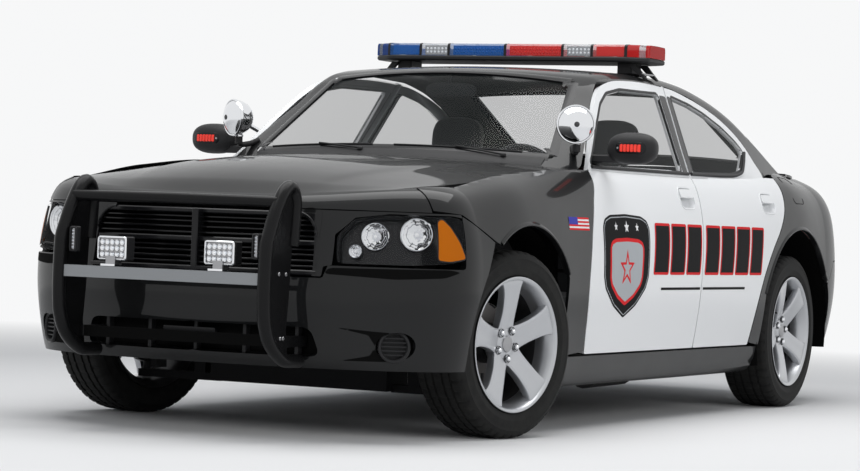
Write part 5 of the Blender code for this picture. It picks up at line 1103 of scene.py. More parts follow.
put("grille_slats", grille_parts, "body", ["grille"])
print("grille with %d slats" % len(SLATS))

# %% [markdown]
# Behind each clear front there are two round reflectors in a black housing, the outer one bigger, with a
# small round lamp low on the inner side. The amber marker closes the lamp at the fender.

# %% Headlamps
lamp_in_s = s_at_y(0.535, 5.6)
LAMP_LOOP = [(lamp_in_s + 0.003, 0.645), (lamp_in_s + 0.002, 0.745), (s_at_y(0.600, 5.6), 0.806),
             (s_at_y(0.700, 5.6), 0.823),
             (-0.560, 0.824), (-0.512, 0.816), (-0.520, 0.735), (-0.511, 0.672), (-0.60, 0.655), (-0.75, 0.646)]
MARKER = [(-0.640, 0.806), (-0.618, 0.816), (-0.585, 0.786), (-0.544, 0.728), (-0.520, 0.676), (-0.600, 0.664),
          (-0.650, 0.668)]


def deep(inset):
    """The lamp's surface moved inward, for the housing behind the clear front."""
    def surface(a, b):
        p = side(a, b)
        n = steady(side, a, b)
        n *= np.sign(n[..., 1:2] + n[..., :1])
        return p - n * inset
    return surface


lamp_edge = rounded(LAMP_LOOP, 0.02)
pair("headlamp_cover", [trimmed(side, lamp_edge, 0.008, CLEAR, lip=0.0)], replaces=["headlamp_{}"])
housing = trimmed(deep(0.086), grown(lamp_edge, -0.003), 0.010, GLOSS_TRIM, span=extent(lamp_edge), lip=0.0)


def lamp_wall(loop, low, high, finish):
    """The housing's side walls: the lamp outline drawn between two depths."""
    return sheet([deep(k)(*np.transpose(loop)) for k in np.linspace(low, high, 4)], finish, closed_b=True)


AHEAD = unit(np.array([0.93, 0.36, 0.02]))


def round_frame(way):
    """Two directions across a lamp's own axis, and the axis."""
    u = unit(np.cross(way, (0.0, 0.0, 1.0)))
    return u, np.cross(way, u), way


def reflector(centre, radius, depth):
    """A chrome bowl r^2 = k o with a bright rim, ribs round the glass and a bulb on its axis."""
    across = round_frame(AHEAD)
    o = np.linspace(0.02, 1.0, 14)
    angle = np.linspace(0, 2 * math.pi, 96, endpoint=False)
    facet = 1.0 + 0.030 * np.sign(np.sin(9 * angle))[:, None] * np.sin(math.pi * o)[None, :]
    facet = facet * (1.0 + 0.03 * np.sign(np.sin(2 * math.pi * 3.5 * o)))[None, :]
    r, forward = radius * 0.93 * np.sqrt(o)[None, :] * facet, depth * (o - 1.0)[None, :]
    u, v, w = across
    bowl = (np.array(centre) + r[..., None] * (np.cos(angle)[:, None, None] * u + np.sin(angle)[:, None, None] * v)
            + forward[..., None] * w)
    rim = [(radius * 0.92, -0.001), (radius * 0.98, 0.003), (radius * 1.03, 0.0), (radius * 1.04, -0.006),
           (radius * 1.04, -depth * 0.7)]
    bulb = [(0.0, -depth * 0.42), (radius * 0.11, -depth * 0.47), (radius * 0.15, -depth * 0.60),
            (radius * 0.15, -depth * 0.98)]
    return [sheet(bowl, CHROME, closed_a=True), turned(rim, centre, CHROME, frame_of=across, steps=56),
            turned(bulb, centre, CHROME, frame_of=across, steps=24)]


outer = np.array([AXLE + 0.632, 0.766, 0.757])
inner = np.array([AXLE + 0.712, 0.640, 0.745])
small = np.array([AXLE + 0.760, 0.587, 0.690])
lamp_parts = [housing, lamp_wall(lamp_edge, 0.001, 0.087, GLOSS_TRIM)]
lamp_parts += reflector(outer, 0.060, 0.030) + reflector(inner, 0.050, 0.027) + reflector(small, 0.024, 0.016)
pair("headlamp_inside", lamp_parts)
marker_edge = rounded(MARKER, 0.012)
pair("marker_lamp", [trimmed(deep(-0.001), marker_edge, 0.006, AMBER, lip=0.006),
                     strip_round(deep(-0.0005), marker_edge, 0.005, GLOSS_TRIM, 0.0008)])
print("lamps in")

# %% [markdown]
# The bumper's openings get what is seen through them: a dark mesh with upright bars in the lower intake,
# and round covers with level slats where fog lamps would sit.

# %% Intake bars and fog covers
intake_back = nose_strip(0.495, 0.360, [(0.0, -0.062), (0.0, 0.062), (0.006, 0.062), (0.006, -0.062)], LINER_AND_PAINTED_SHADE, rail=3.0,
                         y_start=-0.495, sink=0.055)
bars = [intake_back]
for y in (-0.40, -0.20, 0.0, 0.20, 0.40):
    s = float(np.interp(abs(y), *nose_table(3.0)))
    front = float(side(np.array([s]), np.array([0.36]))[0, 0])
    bars.append(slab((AXLE - front + 0.020, AXLE - front + 0.054), (y - 0.007, y + 0.007), (0.302, 0.416), TRIM, 0.002))
bars.append(slab((-0.885, -0.860), (-0.130, 0.090), (0.335, 0.392), GLOSS_TRIM, 0.004))
put("intake_bars", bars, "body")

FOG = np.array([AXLE + 0.711, 0.733, 0.353])
fog_way = np.array([0.80, 0.60, 0.0])
fog_frame = round_frame(fog_way)
fog = [turned([(0.054, 0.000), (0.056, 0.004), (0.050, 0.006), (0.047, 0.002), (0.046, -0.030), (0.0, -0.032)],
              FOG, TRIM,
              frame_of=fog_frame, steps=48)]
for z in (-0.030, -0.015, 0.0, 0.015, 0.030):
    half = math.sqrt(0.046 ** 2 - z ** 2)
    ends = [FOG + fog_frame[0] * k * half + np.array([0.0, 0.0, z]) - fog_way * 0.004 for k in (-1.0, 1.0)]
    fog.append(bar(ends, 0.0032, TRIM, 8))
pair("fog_cover", fog)
print("intake and fog covers in")

# %% [markdown]
# The tyre is one profile turned round the axle. Four ribs with three grooves between them make the tread,
# and shallow slots cut the outer ribs into blocks. The sidewall has raised rings but no lettering.

# %% Tyres
def tyre(side_sign, centre):
    """A rubber ring: profile (radius, offset), with tread blocks as a ripple of the outer ribs."""
    half = [(0.2565, 0.098), (0.262, 0.107), (0.270, 0.1105), (0.285, 0.1135), (0.287, 0.1142), (0.290, 0.1138),
            (0.310, 0.1140), (0.322, 0.1125), (0.324, 0.1132), (0.329, 0.1110), (0.338, 0.1070), (0.3445, 0.1020),
            (0.3500, 0.0960), (0.3535, 0.0900), (0.3548, 0.0750), (0.3552, 0.0640), (0.3482, 0.0625), (0.3482, 0.0535),
            (0.3556, 0.0520), (0.3560, 0.0280), (0.3485, 0.0265), (0.3485, 0.0175), (0.3560, 0.0160)]
    inner = [(r, -o) for r, o in half[::-1]]
    profile = np.array(half + inner + [(0.2410, -0.085), (0.2410, 0.085)])
    steps = 240
    angle = np.linspace(0, 2 * math.pi, steps, endpoint=False)
    r = np.broadcast_to(profile[:, 0], (steps, len(profile))).copy()
    outer = (np.abs(profile[:, 1]) > 0.060) & (profile[:, 0] > 0.3440)
    slot = (np.arange(steps) % 5 == 0)[:, None]
    r = np.where(slot & outer[None, :], r - 0.0055, r)
    middle = (np.abs(profile[:, 1]) < 0.055) & (profile[:, 0] > 0.3540)
    fine = (np.arange(steps) % 5 == 2)[:, None]
    r = np.where(fine & middle[None, :], r - 0.0035, r)
    points = np.stack([r * np.cos(angle)[:, None], np.broadcast_to(profile[:, 1] * side_sign, r.shape),
                       r * np.sin(angle)[:, None]], -1)
    return sheet(points + centre, TYRE, side_sign > 0, closed_a=True, closed_b=True)


# %% [markdown]
# The wheel has five wide flat spokes. Each one starts narrow at the hub, sweeps outward and flares until
# it meets its neighbours at the rim, and its edges are rounded over.

# %% Spoked wheels
def rim(side_sign, centre):
    """A bright lip outside and a dark barrel behind it, from one profile."""
    half = [(0.2565, 0.112), (0.2535, 0.1135), (0.2500, 0.1120), (0.2440, 0.1080), (0.2400, 0.100), (0.2280, 0.078),
            (0.2240, 0.060), (0.2230, 0.040), (0.2225, 0.030), (0.2210, -0.060), (0.2300, -0.090), (0.2480, -0.108),
            (0.2565, -0.112)]
    back = [(0.2565, -0.1003), (0.2415, -0.0855), (0.2415, 0.0855), (0.2565, 0.1003)]
    profile = np.array(half + back)
    angle = np.linspace(0, 2 * math.pi, 96, endpoint=False)
    points = np.stack([profile[None, :, 0] * np.cos(angle)[:, None],
                       np.broadcast_to(profile[:, 1] * side_sign, (96, len(profile))),
                       profile[None, :, 0] * np.sin(angle)[:, None]], -1) + centre
    shown, hidden = points[:, :9], np.concatenate([points[:, 8:], points[:, :1]], 1)
    return [sheet(part, finish, side_sign < 0, closed_a=True)
            for part, finish in ((shown, ALLOY), (hidden, DARK_METAL))]


def spoke(side_sign, centre, turn):
    """One spoke: across it, a flat top with rounded edges; along it, half width and height tables."""
    r = np.linspace(0.045, 0.2430, 26)
    half = pchip(r, (0.045, 0.075, 0.120, 0.165, 0.205, 0.235, 0.245),
                 (0.056, 0.0450, 0.0425, 0.0450, 0.0510, 0.0640, 0.0720))
    top = pchip(r, (0.045, 0.080, 0.140, 0.200, 0.232, 0.243), (0.060, 0.070, 0.088, 0.1005, 0.1045, 0.1045))
    depth = pchip(r, (0.045, 0.140, 0.243), (0.034, 0.036, 0.030))
    across = np.array([(-1.0, -1.0), (-1.02, -0.30), (-0.97, -0.10), (-0.86, -0.02), (-0.70, 0.0), (-0.30, -0.035),
                       (0.0, -0.05), (0.30, -0.035), (0.70, 0.0), (0.86, -0.02), (0.97, -0.10), (1.02, -0.30),
                       (1.0, -1.0)])
    u = half[:, None] * across[None, :, 0]
    o = top[:, None] + depth[:, None] * across[None, :, 1]
    radius = np.minimum(r[:, None], np.sqrt(np.maximum(0.2435 ** 2 - u ** 2, 0.0)))
    points = np.stack([u, o * side_sign, radius], -1)
    rot = np.array([[math.cos(turn), 0, math.sin(turn)], [0, 1, 0], [-math.sin(turn), 0, math.cos(turn)]])
    return sheet(points @ rot.T + centre, ALLOY, side_sign < 0)


def wheel_parts(side_sign, centre, first_turn):
    """Rim, spokes, hub face, cap, nuts in their wells and the valve stem."""
    parts = rim(side_sign, centre)
    parts += [spoke(side_sign, centre, first_turn + 2 * math.pi * k / 5) for k in range(5)]
    face = [(0.0, 0.0655), (0.020, 0.0655), (0.0300, 0.0650), (0.0315, 0.0625), (0.033, 0.0620), (0.036, 0.0640),
            (0.058, 0.0615), (0.070, 0.056), (0.076, 0.046), (0.078, 0.020)]
    parts.append(turned(face, centre, ALLOY, steps=64, flip=side_sign, axis="y"))
    cap = [(0.0, 0.0720), (0.012, 0.0718), (0.024, 0.0705), (0.0285, 0.0685), (0.030, 0.0650)]
    parts.append(turned(cap, centre, SATIN, steps=48, flip=side_sign, axis="y"))
    for k in range(5):
        a = first_turn + 2 * math.pi * (k + 0.5) / 5
        place = centre + np.array([0.0560 * math.sin(a), 0.004 * side_sign, 0.0560 * math.cos(a)])
        well = [(0.0165, 0.0630), (0.0150, 0.0605), (0.0125, 0.0560)]
        nut = [(0.0, 0.0740), (0.0060, 0.0730), (0.0100, 0.0690), (0.0115, 0.0620), (0.0115, 0.0560)]
        parts.append(turned(well, place, DARK_METAL, steps=20, flip=side_sign, axis="y"))
        parts.append(turned(nut, place, CHROME, steps=6, flip=side_sign, axis="y"))
    a = first_turn + 2 * math.pi * 0.5 / 5
    stem = centre + np.array([0.205 * math.sin(a), side_sign * 0.080, 0.205 * math.cos(a)])
    stem_tip = stem + np.array([-0.020 * math.sin(a), side_sign * 0.018, -0.020 * math.cos(a)])
    return parts + [bar([stem, stem_tip], 0.004, TYRE, 10)]


def brake_parts(side_sign, centre):
    """Disc and bell, inboard of the spokes."""
    disc = [(0.060, -0.048), (0.152, -0.048), (0.154, -0.050), (0.154, -0.073), (0.152, -0.075), (0.060, -0.075)]
    bell = [(0.050, -0.074), (0.076, -0.070), (0.078, -0.030), (0.070, -0.006), (0.0, -0.004)]
    return [turned(disc, centre, IRON, steps=72, flip=side_sign),
            turned(bell, centre, DARK_METAL, steps=40, flip=side_sign)]


REST = math.radians(-12.5)
KINGPIN_Y, TRACK_Y = 0.740, 0.800
for word, sign in (("left", 1.0), ("right", -1.0)):
    steer = np.array([[math.cos(REST), -math.sin(REST), 0.0], [math.sin(REST), math.cos(REST), 0.0], [0.0, 0.0, 1.0]])
    kingpin = np.array([AXLE, sign * KINGPIN_Y, 0.0])
    hub = np.array([AXLE, sign * TRACK_Y, HUB_Z])
    turn = lambda parts: [((p - kingpin) @ steer.T + kingpin, f, n, m) for p, f, n, m in parts]
    put("front_wheel_" + word, turn(wheel_parts(sign, hub, 0.10)), "wheel_front_" + word, ["rim_front_" + word])
    put("front_tyre_" + word, turn([tyre(sign, hub)]), "wheel_front_" + word, ["tyre_front_" + word])
    put("front_brake_" + word, turn(brake_parts(sign, hub)), "steer_" + word)
    hub = np.array([AXLE - WHEELBASE, sign * TRACK_Y, HUB_Z])
    put("rear_wheel_" + word, wheel_parts(sign, hub, 0.45), "wheel_rear_" + word, ["rim_rear_" + word])
    put("rear_tyre_" + word, [tyre(sign, hub)], "wheel_rear_" + word, ["tyre_rear_" + word])
    put("rear_brake_" + word, brake_parts(sign, hub), "body")
print("four wheels")

# %% [markdown]
# Moulded liners close the arches over the wheels. They carry no load, so they are thin half drums.

# %% Arch liners
def liner(centre, radius, start, end, y_in, y_out):
    angle = np.radians(np.linspace(start, end, 64))
    y = np.array([y_out, y_out - 0.02, 0.5 * (y_in + y_out), y_in])
    r = radius + np.array([0.004, 0.012, 0.016, 0.016])
    grid = np.stack([AXLE - (centre[0] + r[:, None] * np.cos(angle)), np.broadcast_to(y[:, None], (4, 64)),
                     centre[1] + r[:, None] * np.sin(angle)], -1)
    return sheet(grid, LINER_AND_PAINTED_SHADE)


pair("arch_liner_front", [liner(*ARCH_FRONT, 190, -20, 0.50, 0.880)])
pair("arch_liner_rear", [liner(*ARCH_REAR, 198, -10, 0.56, 0.915)])
print("liners in")
# %% [markdown]
# The push bumper is bent tube: two uprights that come up in front of the grille, fold over and go down
# behind, with a web plate inside each. A smooth curve through a few measured points is the tube's path.

# %% Push bumper
def eased(points, count=60):
    """A smooth path through points: each coordinate is a monotone cubic of the length so far."""
    points = np.asarray(points, float)
    run = np.concatenate([[0.0], np.cumsum(np.linalg.norm(np.diff(points, axis=0), axis=1))])
    t = np.linspace(0, run[-1], count)
    return np.stack([pchip(t, run, points[:, k]) for k in range(points.shape[1])], 1)


PUSH_Y = 0.427
PUSH_PATH = ((0.860, 0.290), (0.950, 0.292), (1.030, 0.322), (1.098, 0.385), (1.124, 0.460), (1.130, 0.560),
             (1.126, 0.690), (1.096, 0.765), (1.050, 0.845), (1.008, 0.894), (0.975, 0.910), (0.944, 0.896),
             (0.926, 0.850), (0.930, 0.780), (0.938, 0.700))
upright = np.array([(AXLE + x, PUSH_Y, z) for x, z in PUSH_PATH])
web = [(-0.950, 0.300), (-1.090, 0.398), (-1.112, 0.480), (-1.118, 0.560), (-1.113, 0.690), (-1.050, 0.820),
       (-0.990, 0.890), (-0.950, 0.880), (-0.944, 0.700), (-0.955, 0.520), (-0.968, 0.400)]
side_frame = [bar(eased(upright, 90), 0.0245, POWDER, 20),
              plate(web, PUSH_Y - 0.004, PUSH_Y + 0.004, POWDER, "y", 0.001)]
for back, z in ((-1.010, 0.372), (-0.990, 0.372), (-1.035, 0.600), (-0.985, 0.600)):
    side_frame.append(turned([(0.0, 0.0085), (0.006, 0.0080), (0.0075, 0.0060), (0.0075, 0.0)],
                             (AXLE - back, PUSH_Y, z), SATIN, steps=6))
push = both(side_frame)
push.append(bar([(AXLE + 1.050, -PUSH_Y, 0.855), (AXLE + 1.050, 0.0, 0.857), (AXLE + 1.050, PUSH_Y, 0.855)], 0.020,
                POWDER, 20))
CHANNEL = mottled("grey channel", (0.24, 0.25, 0.26), 300.0, 0.15, 0.35, roughness=0.42, metallic=0.2)
push.append(slab((-1.136, -1.100), (-PUSH_Y + 0.01, PUSH_Y - 0.01), (0.560, 0.602), CHANNEL, 0.004))
push.append(slab((-0.985, -0.960), (-PUSH_Y, PUSH_Y), (0.340, 0.380), LINER_AND_PAINTED_SHADE, 0.004))
for y in (0.405, -0.425):
    push.append(slab((-0.990, -0.760), (y, y + 0.020), (0.340, 0.380), POWDER, 0.002))
put("push_bumper_tubes", push, "body", ["push_bumper"])

# %% [markdown]
# A small lamp head sits on the inner side of each upright, and two larger work lamps stand on the grey
# channel. Each lamp is a shallow housing with a rim, bright on the work lamps, and rows of cells.

# %% Lamps on the push bumper
def cell_lamp(back, y, z, columns, rows, rim_finish, depth=0.050):
    """A rectangular lamp facing forward: housing, rim, a bowl and a bright point for each cell."""
    (y0, y1), (z0, z1) = y, z
    parts = [slab((back + 0.004, back + depth), (y0, y1), (z0, z1), TRIM, 0.006)]
    loop = rounded(rectangle(y0, y1, z0, z1), 0.012)
    ring = []
    for by, forward in ((0.0, -0.004), (0.0, 0.002), (-0.003, 0.005), (-0.006, 0.005), (-0.008, 0.001)):
        edge = grown(loop, by)
        ring.append(np.stack([np.full(len(edge), AXLE - back + forward), edge[:, 0], edge[:, 1]], 1))
    parts.append(sheet(ring, rim_finish, closed_b=True))
    parts.append(plate(grown(loop, -0.005), AXLE - back - 0.006, AXLE - back - 0.003, SATIN, "x", 0.0005))
    wide, high = (y1 - y0 - 0.020) / columns, (z1 - z0 - 0.020) / rows
    for i in range(columns):
        for j in range(rows):
            spot = (AXLE - back - 0.002, y0 + 0.010 + wide * (i + 0.5), z0 + 0.010 + high * (j + 0.5))
            r = 0.46 * min(wide, high)
            bowl = [(0.0, -0.0015), (0.4 * r, -0.0012), (0.9 * r, 0.0015), (r, 0.0022)]
            point = [(0.0, 0.0030), (0.20 * r, 0.0026), (0.34 * r, 0.0010), (0.36 * r, -0.0015)]
            parts += [turned(bowl, spot, CHROME, "x", 16), turned(point, spot, LED, "x", 10)]
    return parts


lamps = cell_lamp(-1.100, (0.162, 0.286), (0.625, 0.711), 5, 3, CHROME, 0.056)
lamps += [slab((-1.128, -1.094), (0.194, 0.254), (0.6035, 0.6110), CHROME, 0.001),
          slab((-1.112, -1.062), (0.204, 0.244), (0.606, 0.640), SATIN, 0.002)]
pair("work_lamp", lamps, replaces=["takedown_lamp_{}"])
small_lamp = cell_lamp(-1.118, (0.366, 0.396), (0.650, 0.742), 2, 6, TRIM, 0.030)
small_lamp.append(slab((-1.100, -1.090), (0.390, 0.412), (0.660, 0.690), TRIM, 0.001))
pair("side_lamp", small_lamp)
print("push bumper and its lamps")

# %% [markdown]
# A spotlight is a chrome bowl on a short post by the windshield's corner. Its face points forward and
# outward, so the bowl is turned round that direction, with a bulb and a chrome dome in front.

# %% Spotlights
SPOT = np.array([AXLE - 0.719, 0.783, 1.219])
spot_frame = round_frame(unit(np.array([0.86, 0.50, -0.02])))
bowl = [(0.0, -0.066), (0.022, -0.064), (0.045, -0.054), (0.062, -0.036), (0.072, -0.012), (0.0755, 0.010),
        (0.0785, 0.014), (0.0790, 0.020), (0.0765, 0.025), (0.0720, 0.024)]
dome = [(0.0, 0.056), (0.016, 0.0550), (0.032, 0.0505), (0.048, 0.0430), (0.060, 0.0345), (0.069, 0.0260),
        (0.0725, 0.0215)]
bulb = [(0.0, 0.0588), (0.008, 0.0585), (0.011, 0.0565), (0.011, 0.0540)]
spot = [turned(profile, SPOT, finish, frame_of=spot_frame, steps=steps)
        for profile, finish, steps in ((bowl, CHROME, 72), (dome, CHROME, 72), (bulb, DARK_METAL, 24))]
for path, radius, finish, steps in (
        ([(0.739, 0.783, 1.172), (0.739, 0.783, 1.150), (0.739, 0.783, 1.128), (0.739, 0.783, 1.109)],
         0.0165, TRIM, 20),
        ([(0.739, 0.783, 1.112), (0.757, 0.772, 1.106), (0.785, 0.753, 1.112), (0.819, 0.731, 1.129)],
         0.0120, TRIM, 16),
        ([(0.742, 0.776, 1.205), (0.775, 0.757, 1.190), (0.812, 0.733, 1.170)], 0.0105, CHROME, 16)):
    spot.append(bar([(AXLE - back, y, z) for back, y, z in path], radius, finish, steps))
spot.append(turned([(0.0, 0.008), (0.012, 0.008), (0.019, 0.0), (0.019, -0.006)], (AXLE - 0.739, 0.783, 1.146), CHROME,
                   "z", 24))
pair("spotlight_bowl", spot, replaces=["spotlight_{}"])
print("spotlights")

# %% [markdown]
# The mirror shell is a flattened ellipsoid cut flat behind, where the glass sits. A capsule of red cells
# is let into its front. It rides with the door.

# %% Door mirrors
MIRROR = np.array([AXLE - 0.870, 0.975, 1.132])
HALF = np.array([0.064, 0.105, 0.065])
SQUARENESS = 2.5


def mirror_shell(u, v):
    """Superellipsoid |x|^n + |y|^n + |z|^n = 1, with everything behind the glass plane pressed flat."""
    def power(a):
        return np.sign(a) * np.abs(a) ** (2 / SQUARENESS)
    p = np.stack([power(np.cos(v)) * power(np.cos(u)), power(np.cos(v)) * power(np.sin(u)), power(np.sin(v))], -1)
    p = p * HALF
    p[..., 0] = np.maximum(p[..., 0], -0.034)
    return p + MIRROR


u, v = np.meshgrid(np.linspace(0, 2 * math.pi, 72, endpoint=False), np.linspace(-1.5707, 1.5707, 40), indexing="ij")
mirror = [sheet(mirror_shell(u, v), TRIM, closed_a=True)]
glass_loop = rounded([(0.888, 1.082), (1.062, 1.088), (1.062, 1.178), (0.888, 1.184)], 0.035)
mirror.append(plate(glass_loop, MIRROR[0] - 0.038, MIRROR[0] - 0.0335, MIRROR_GLASS, "x", 0.001))
mirror.append(plate(grown(glass_loop, 0.004), MIRROR[0] - 0.0365, MIRROR[0] - 0.0300, TRIM, "x", 0.001))


def capsule(y0, y1, z, radius):
    """Outline of a slot with round ends, as (y, z)."""
    return arc((y1 - radius, z), radius, -90, 90, 12) + arc((y0 + radius, z), radius, 90, 270, 12)


def mirror_front(y, z):
    """x of the mirror shell's front at y and z."""
    far_y, far_z = np.abs((y - MIRROR[1]) / HALF[1]), np.abs((z - MIRROR[2]) / HALF[2])
    a = np.clip(1 - far_y ** SQUARENESS - far_z ** SQUARENESS, 0.02, 1.0)
    return MIRROR[0] + HALF[0] * a ** (1 / SQUARENESS)


def let_in(loop, proud, finish):
    """A thin cap that follows the shell's front inside an outline."""
    loop = np.asarray(loop, float)
    centre = loop.mean(0)
    rings = []
    for share, rise in ((1.03, -0.004), (1.0, proud * 0.5), (0.93, proud), (0.5, proud), (0.0, proud)):
        ring = centre + (loop - centre) * share
        rings.append(np.stack([mirror_front(ring[:, 0], ring[:, 1]) + rise, ring[:, 0], ring[:, 1]], 1))
    return sheet(rings, finish, closed_b=True)


mirror.append(let_in(capsule(0.922, 1.052, MIRROR[2], 0.024), 0.0030, GLOSS_TRIM))
for k in range(6):
    y0 = 0.944 + k * 0.0150
    mirror.append(let_in(rounded(rectangle(y0, y0 + 0.0125, 1.117, 1.147), 0.004), 0.0055, RED_LED))
mirror.append(let_in(arc((0.934, 1.132), 0.0045, 0, 330, 12), 0.0050, SATIN))
arm = [(0.842, 0.800), (0.842, 0.930), (0.850, 0.945), (0.892, 0.945), (0.900, 0.930), (0.900, 0.800)]
mirror.append(plate(arm, 1.072, 1.104, TRIM, "z", 0.005))
pair("mirror_shell", mirror, "door_front_{}", ["mirror_{}"])
print("mirrors")

# %% [markdown]
# The light bar is a flat black base on two feet, and a row of coloured modules under a tough lens. Blue
# is on the car's right and red on its left, with clear modules between, and dark ribs part them.

# %% Light bar base and feet
BASE_Z, LENS_Z = 1.534, 1.556
BAR_BACK, BAR_HALF, BAR_BEND, BAR_END = 1.855, 0.149, 0.579, 0.668
BAR_LOOP = [(1.700, -0.579), (1.700, 0.579), (1.760, 0.668), (1.950, 0.668), (2.010, 0.579), (2.010, -0.579),
            (1.950, -0.668), (1.760, -0.668)]
base = [plate(rounded(BAR_LOOP, 0.015), BASE_Z, LENS_Z, TRIM, "z", 0.006)]
foot = [slab((1.790, 1.900), (0.505, 0.575), (1.478, 1.538), TRIM, 0.006),
        slab((1.770, 1.930), (0.490, 0.590), (1.476, 1.488), LINER_AND_PAINTED_SHADE, 0.003)]
for back in (1.785, 1.915):
    strap = [(0.560, 1.530), (0.596, 1.530), (0.636, 1.482), (0.650, 1.466), (0.643, 1.462), (0.624, 1.474),
             (0.590, 1.500)]
    foot.append(plate(strap, AXLE - back - 0.010, AXLE - back + 0.010, TRIM, "x", 0.001))
foot.append(bar([(AXLE - 1.775, 0.628, 1.487), (AXLE - 1.925, 0.628, 1.487)], 0.0045, SATIN, 10))
put("light_bar_feet", base + both(foot), "body", ["light_bar_base"])

# %% Light bar modules
def module(y0, y1, finish, steps=10):
    """The lens over one stretch of the bar: up the front, over the top and down the back."""
    y = np.linspace(y0, y1, steps)[:, None]
    half = BAR_HALF - 0.060 * np.clip((np.abs(y) - BAR_BEND) / (BAR_END - BAR_BEND), 0.0, 1.0)
    section = np.array([(-1.0, 0.000), (-1.0, 0.036), (-0.985, 0.046), (-0.94, 0.0525), (-0.85, 0.0550), (0.0, 0.0560),
                        (0.85, 0.0550), (0.94, 0.0525), (0.985, 0.046), (1.0, 0.036), (1.0, 0.0)])
    x, z = AXLE - (BAR_BACK + half * section[:, 0]), LENS_Z + section[:, 1]
    return sheet(np.stack(np.broadcast_arrays(x, y, z), -1), finish, True)


def inner_pod(y0, y1, finish, cells):
    """What shows behind the front of a lens: a panel with two rows of round cells."""
    parts = []
    for front in (1.0, -1.0):
        x = AXLE - (BAR_BACK - front * 0.128)
        parts.append(plate(rectangle(y0 + 0.006, y1 - 0.006, 1.560, 1.602), *sorted((x, x - front * 0.020)), finish,
                           "x"))
        for y in np.linspace(y0 + 0.018, y1 - 0.018, cells):
            for z in (1.573, 1.588):
                parts.append(turned([(0.0, 0.005), (0.0030, 0.0045), (0.0052, 0.0020), (0.0058, -0.001)], (x, y, z),
                                    LED if finish is SATIN else finish, "x", 10, flip=front))
    return parts


def pod(name, colour):
    made = Finish(name, colour, roughness=0.3)
    return made.bump(made.noise(300.0), 0.3, 0.0004)


BLUE_POD, RED_POD = pod("blue pod", (0.03, 0.16, 0.62)), pod("red pod", (0.85, 0.06, 0.05))
modules = []
for sign, colour, last, own_pod in ((1.0, RED_BAR, RED_END, RED_POD), (-1.0, BLUE, BLUE_END, BLUE_POD)):
    for near, far, finish, inner, cells in ((0.006, 0.272, colour, own_pod, 16), (0.284, 0.412, CLEAR_BAR, SATIN, 6),
                                            (0.424, 0.574, colour, own_pod, 0), (0.582, 0.628, last, None, 0),
                                            (0.628, 0.652, CLEAR_BAR, None, 0), (0.652, 0.6675, last, None, 0)):
        low, high = sorted((sign * near, sign * far))
        modules.append(module(low, high, finish))
        if inner:
            modules += inner_pod(low, high, inner, cells)
ribs = []
for y in (0.0, 0.278, -0.278, 0.418, -0.418, 0.578, -0.578):
    p, *rest = module(y - 0.0065, y + 0.0065, GLOSS_TRIM, 2)
    p = p + np.array([0.0, 0.0, 0.0010]) * (p[:, 2:] > 1.56)
    ribs.append(((p - (AXLE - BAR_BACK, 0.0, 0.0)) * (1.012, 1.0, 1.0) + (AXLE - BAR_BACK, 0.0, 0.0), *rest))
cap_loop = [(BAR_BACK + a, z) for a, z in ((-0.089, 1.556), (0.089, 1.556), (0.089, 1.596), (0.080, 1.611),
                                           (-0.080, 1.611), (-0.089, 1.596))]
caps = [plate(cap_loop, 0.6650, 0.6678, RED_END, "y", 0.0005), plate(cap_loop, -0.6678, -0.6650, BLUE_END, "y", 0.0005)]
put("light_bar_lenses", modules + ribs + caps, "body", ["light_bar_lens"])
print("light bar")

# %% [markdown]
# Between the grille and each lamp the nose is closed by a painted panel. Under the lamp the bumper has a
# dark slot, and a wedge-shaped recess leads in to each fog cover. Neither is cut into the skin: each is a flat
# dark patch laid just over the bumper, painted shade standing in for the shade inside it.

# %% Nose panels, and painted shade for the lamp slot and fog pockets
def on_nose(y, z):
    """s for a half width and a height on the nose."""
    return s_at_y(y, float(rail_at(np.array([-1.0]), np.array([z]))[0]))


panel_loop = [(on_nose(0.463, 0.600), 0.596), (on_nose(0.463, 0.82), 0.834), (on_nose(0.560, 0.82), 0.834),
              (on_nose(0.700, 0.83), 0.835), (-0.560, 0.835), (-0.514, 0.834), (-0.508, 0.822), (-0.560, 0.8285),
              (on_nose(0.700, 0.82), 0.8275), (on_nose(0.592, 0.81), 0.8105), (on_nose(0.529, 0.75), 0.748),
              (on_nose(0.529, 0.65), 0.6385), (on_nose(0.500, 0.62), 0.632), (on_nose(0.497, 0.60), 0.596)]
panel = trimmed(side, panel_loop, 0.006, BLACK, span=((S_MIN, -0.49), (0.585, 0.84)), lip=0.03)
# The lamp slot is not cut into the bumper: this flat dark strip, lifted 1 mm, is painted shade for the groove under the
# lamp.
lamp_slot_shade_loop = rounded([(on_nose(0.505, 0.60), 0.606), (on_nose(0.520, 0.62), 0.628), (-0.60, 0.634), (-0.545, 0.626),
                     (-0.62, 0.604), (-0.80, 0.594)], 0.015)
slot = trimmed(side, lamp_slot_shade_loop, 0.006, LINER_AND_PAINTED_SHADE, lip=0.0, lift=0.0010)
# The fog recess is not cut either: this flat dark patch round the fog hole, lifted 0.8 mm, is painted shade for the
# wedge-shaped recess.
fog_pocket_shade_loop = rounded([(fog_s - 0.015, 0.402), (on_nose(0.665, 0.40), 0.406), (on_nose(0.545, 0.40), 0.416),
                       (on_nose(0.655, 0.38), 0.392), (on_nose(0.676, 0.35), 0.352), (on_nose(0.655, 0.31), 0.318),
                       (on_nose(0.560, 0.29), 0.297), (fog_s - 0.010, 0.298)], 0.006)
fog_pocket_shade = trimmed(side, fog_pocket_shade_loop, 0.006, LINER_AND_PAINTED_SHADE, [fog_hole], lip=0.0, lift=0.0008)
ring = turned([(0.0535, -0.004), (0.0550, 0.004), (0.0575, 0.0055), (0.0600, 0.003), (0.0605, -0.004)], FOG, GLOSS_TRIM,
              frame_of=fog_frame, steps=56)
bend = arc((0.378, 0.738), 0.085, 0, 90, 16)
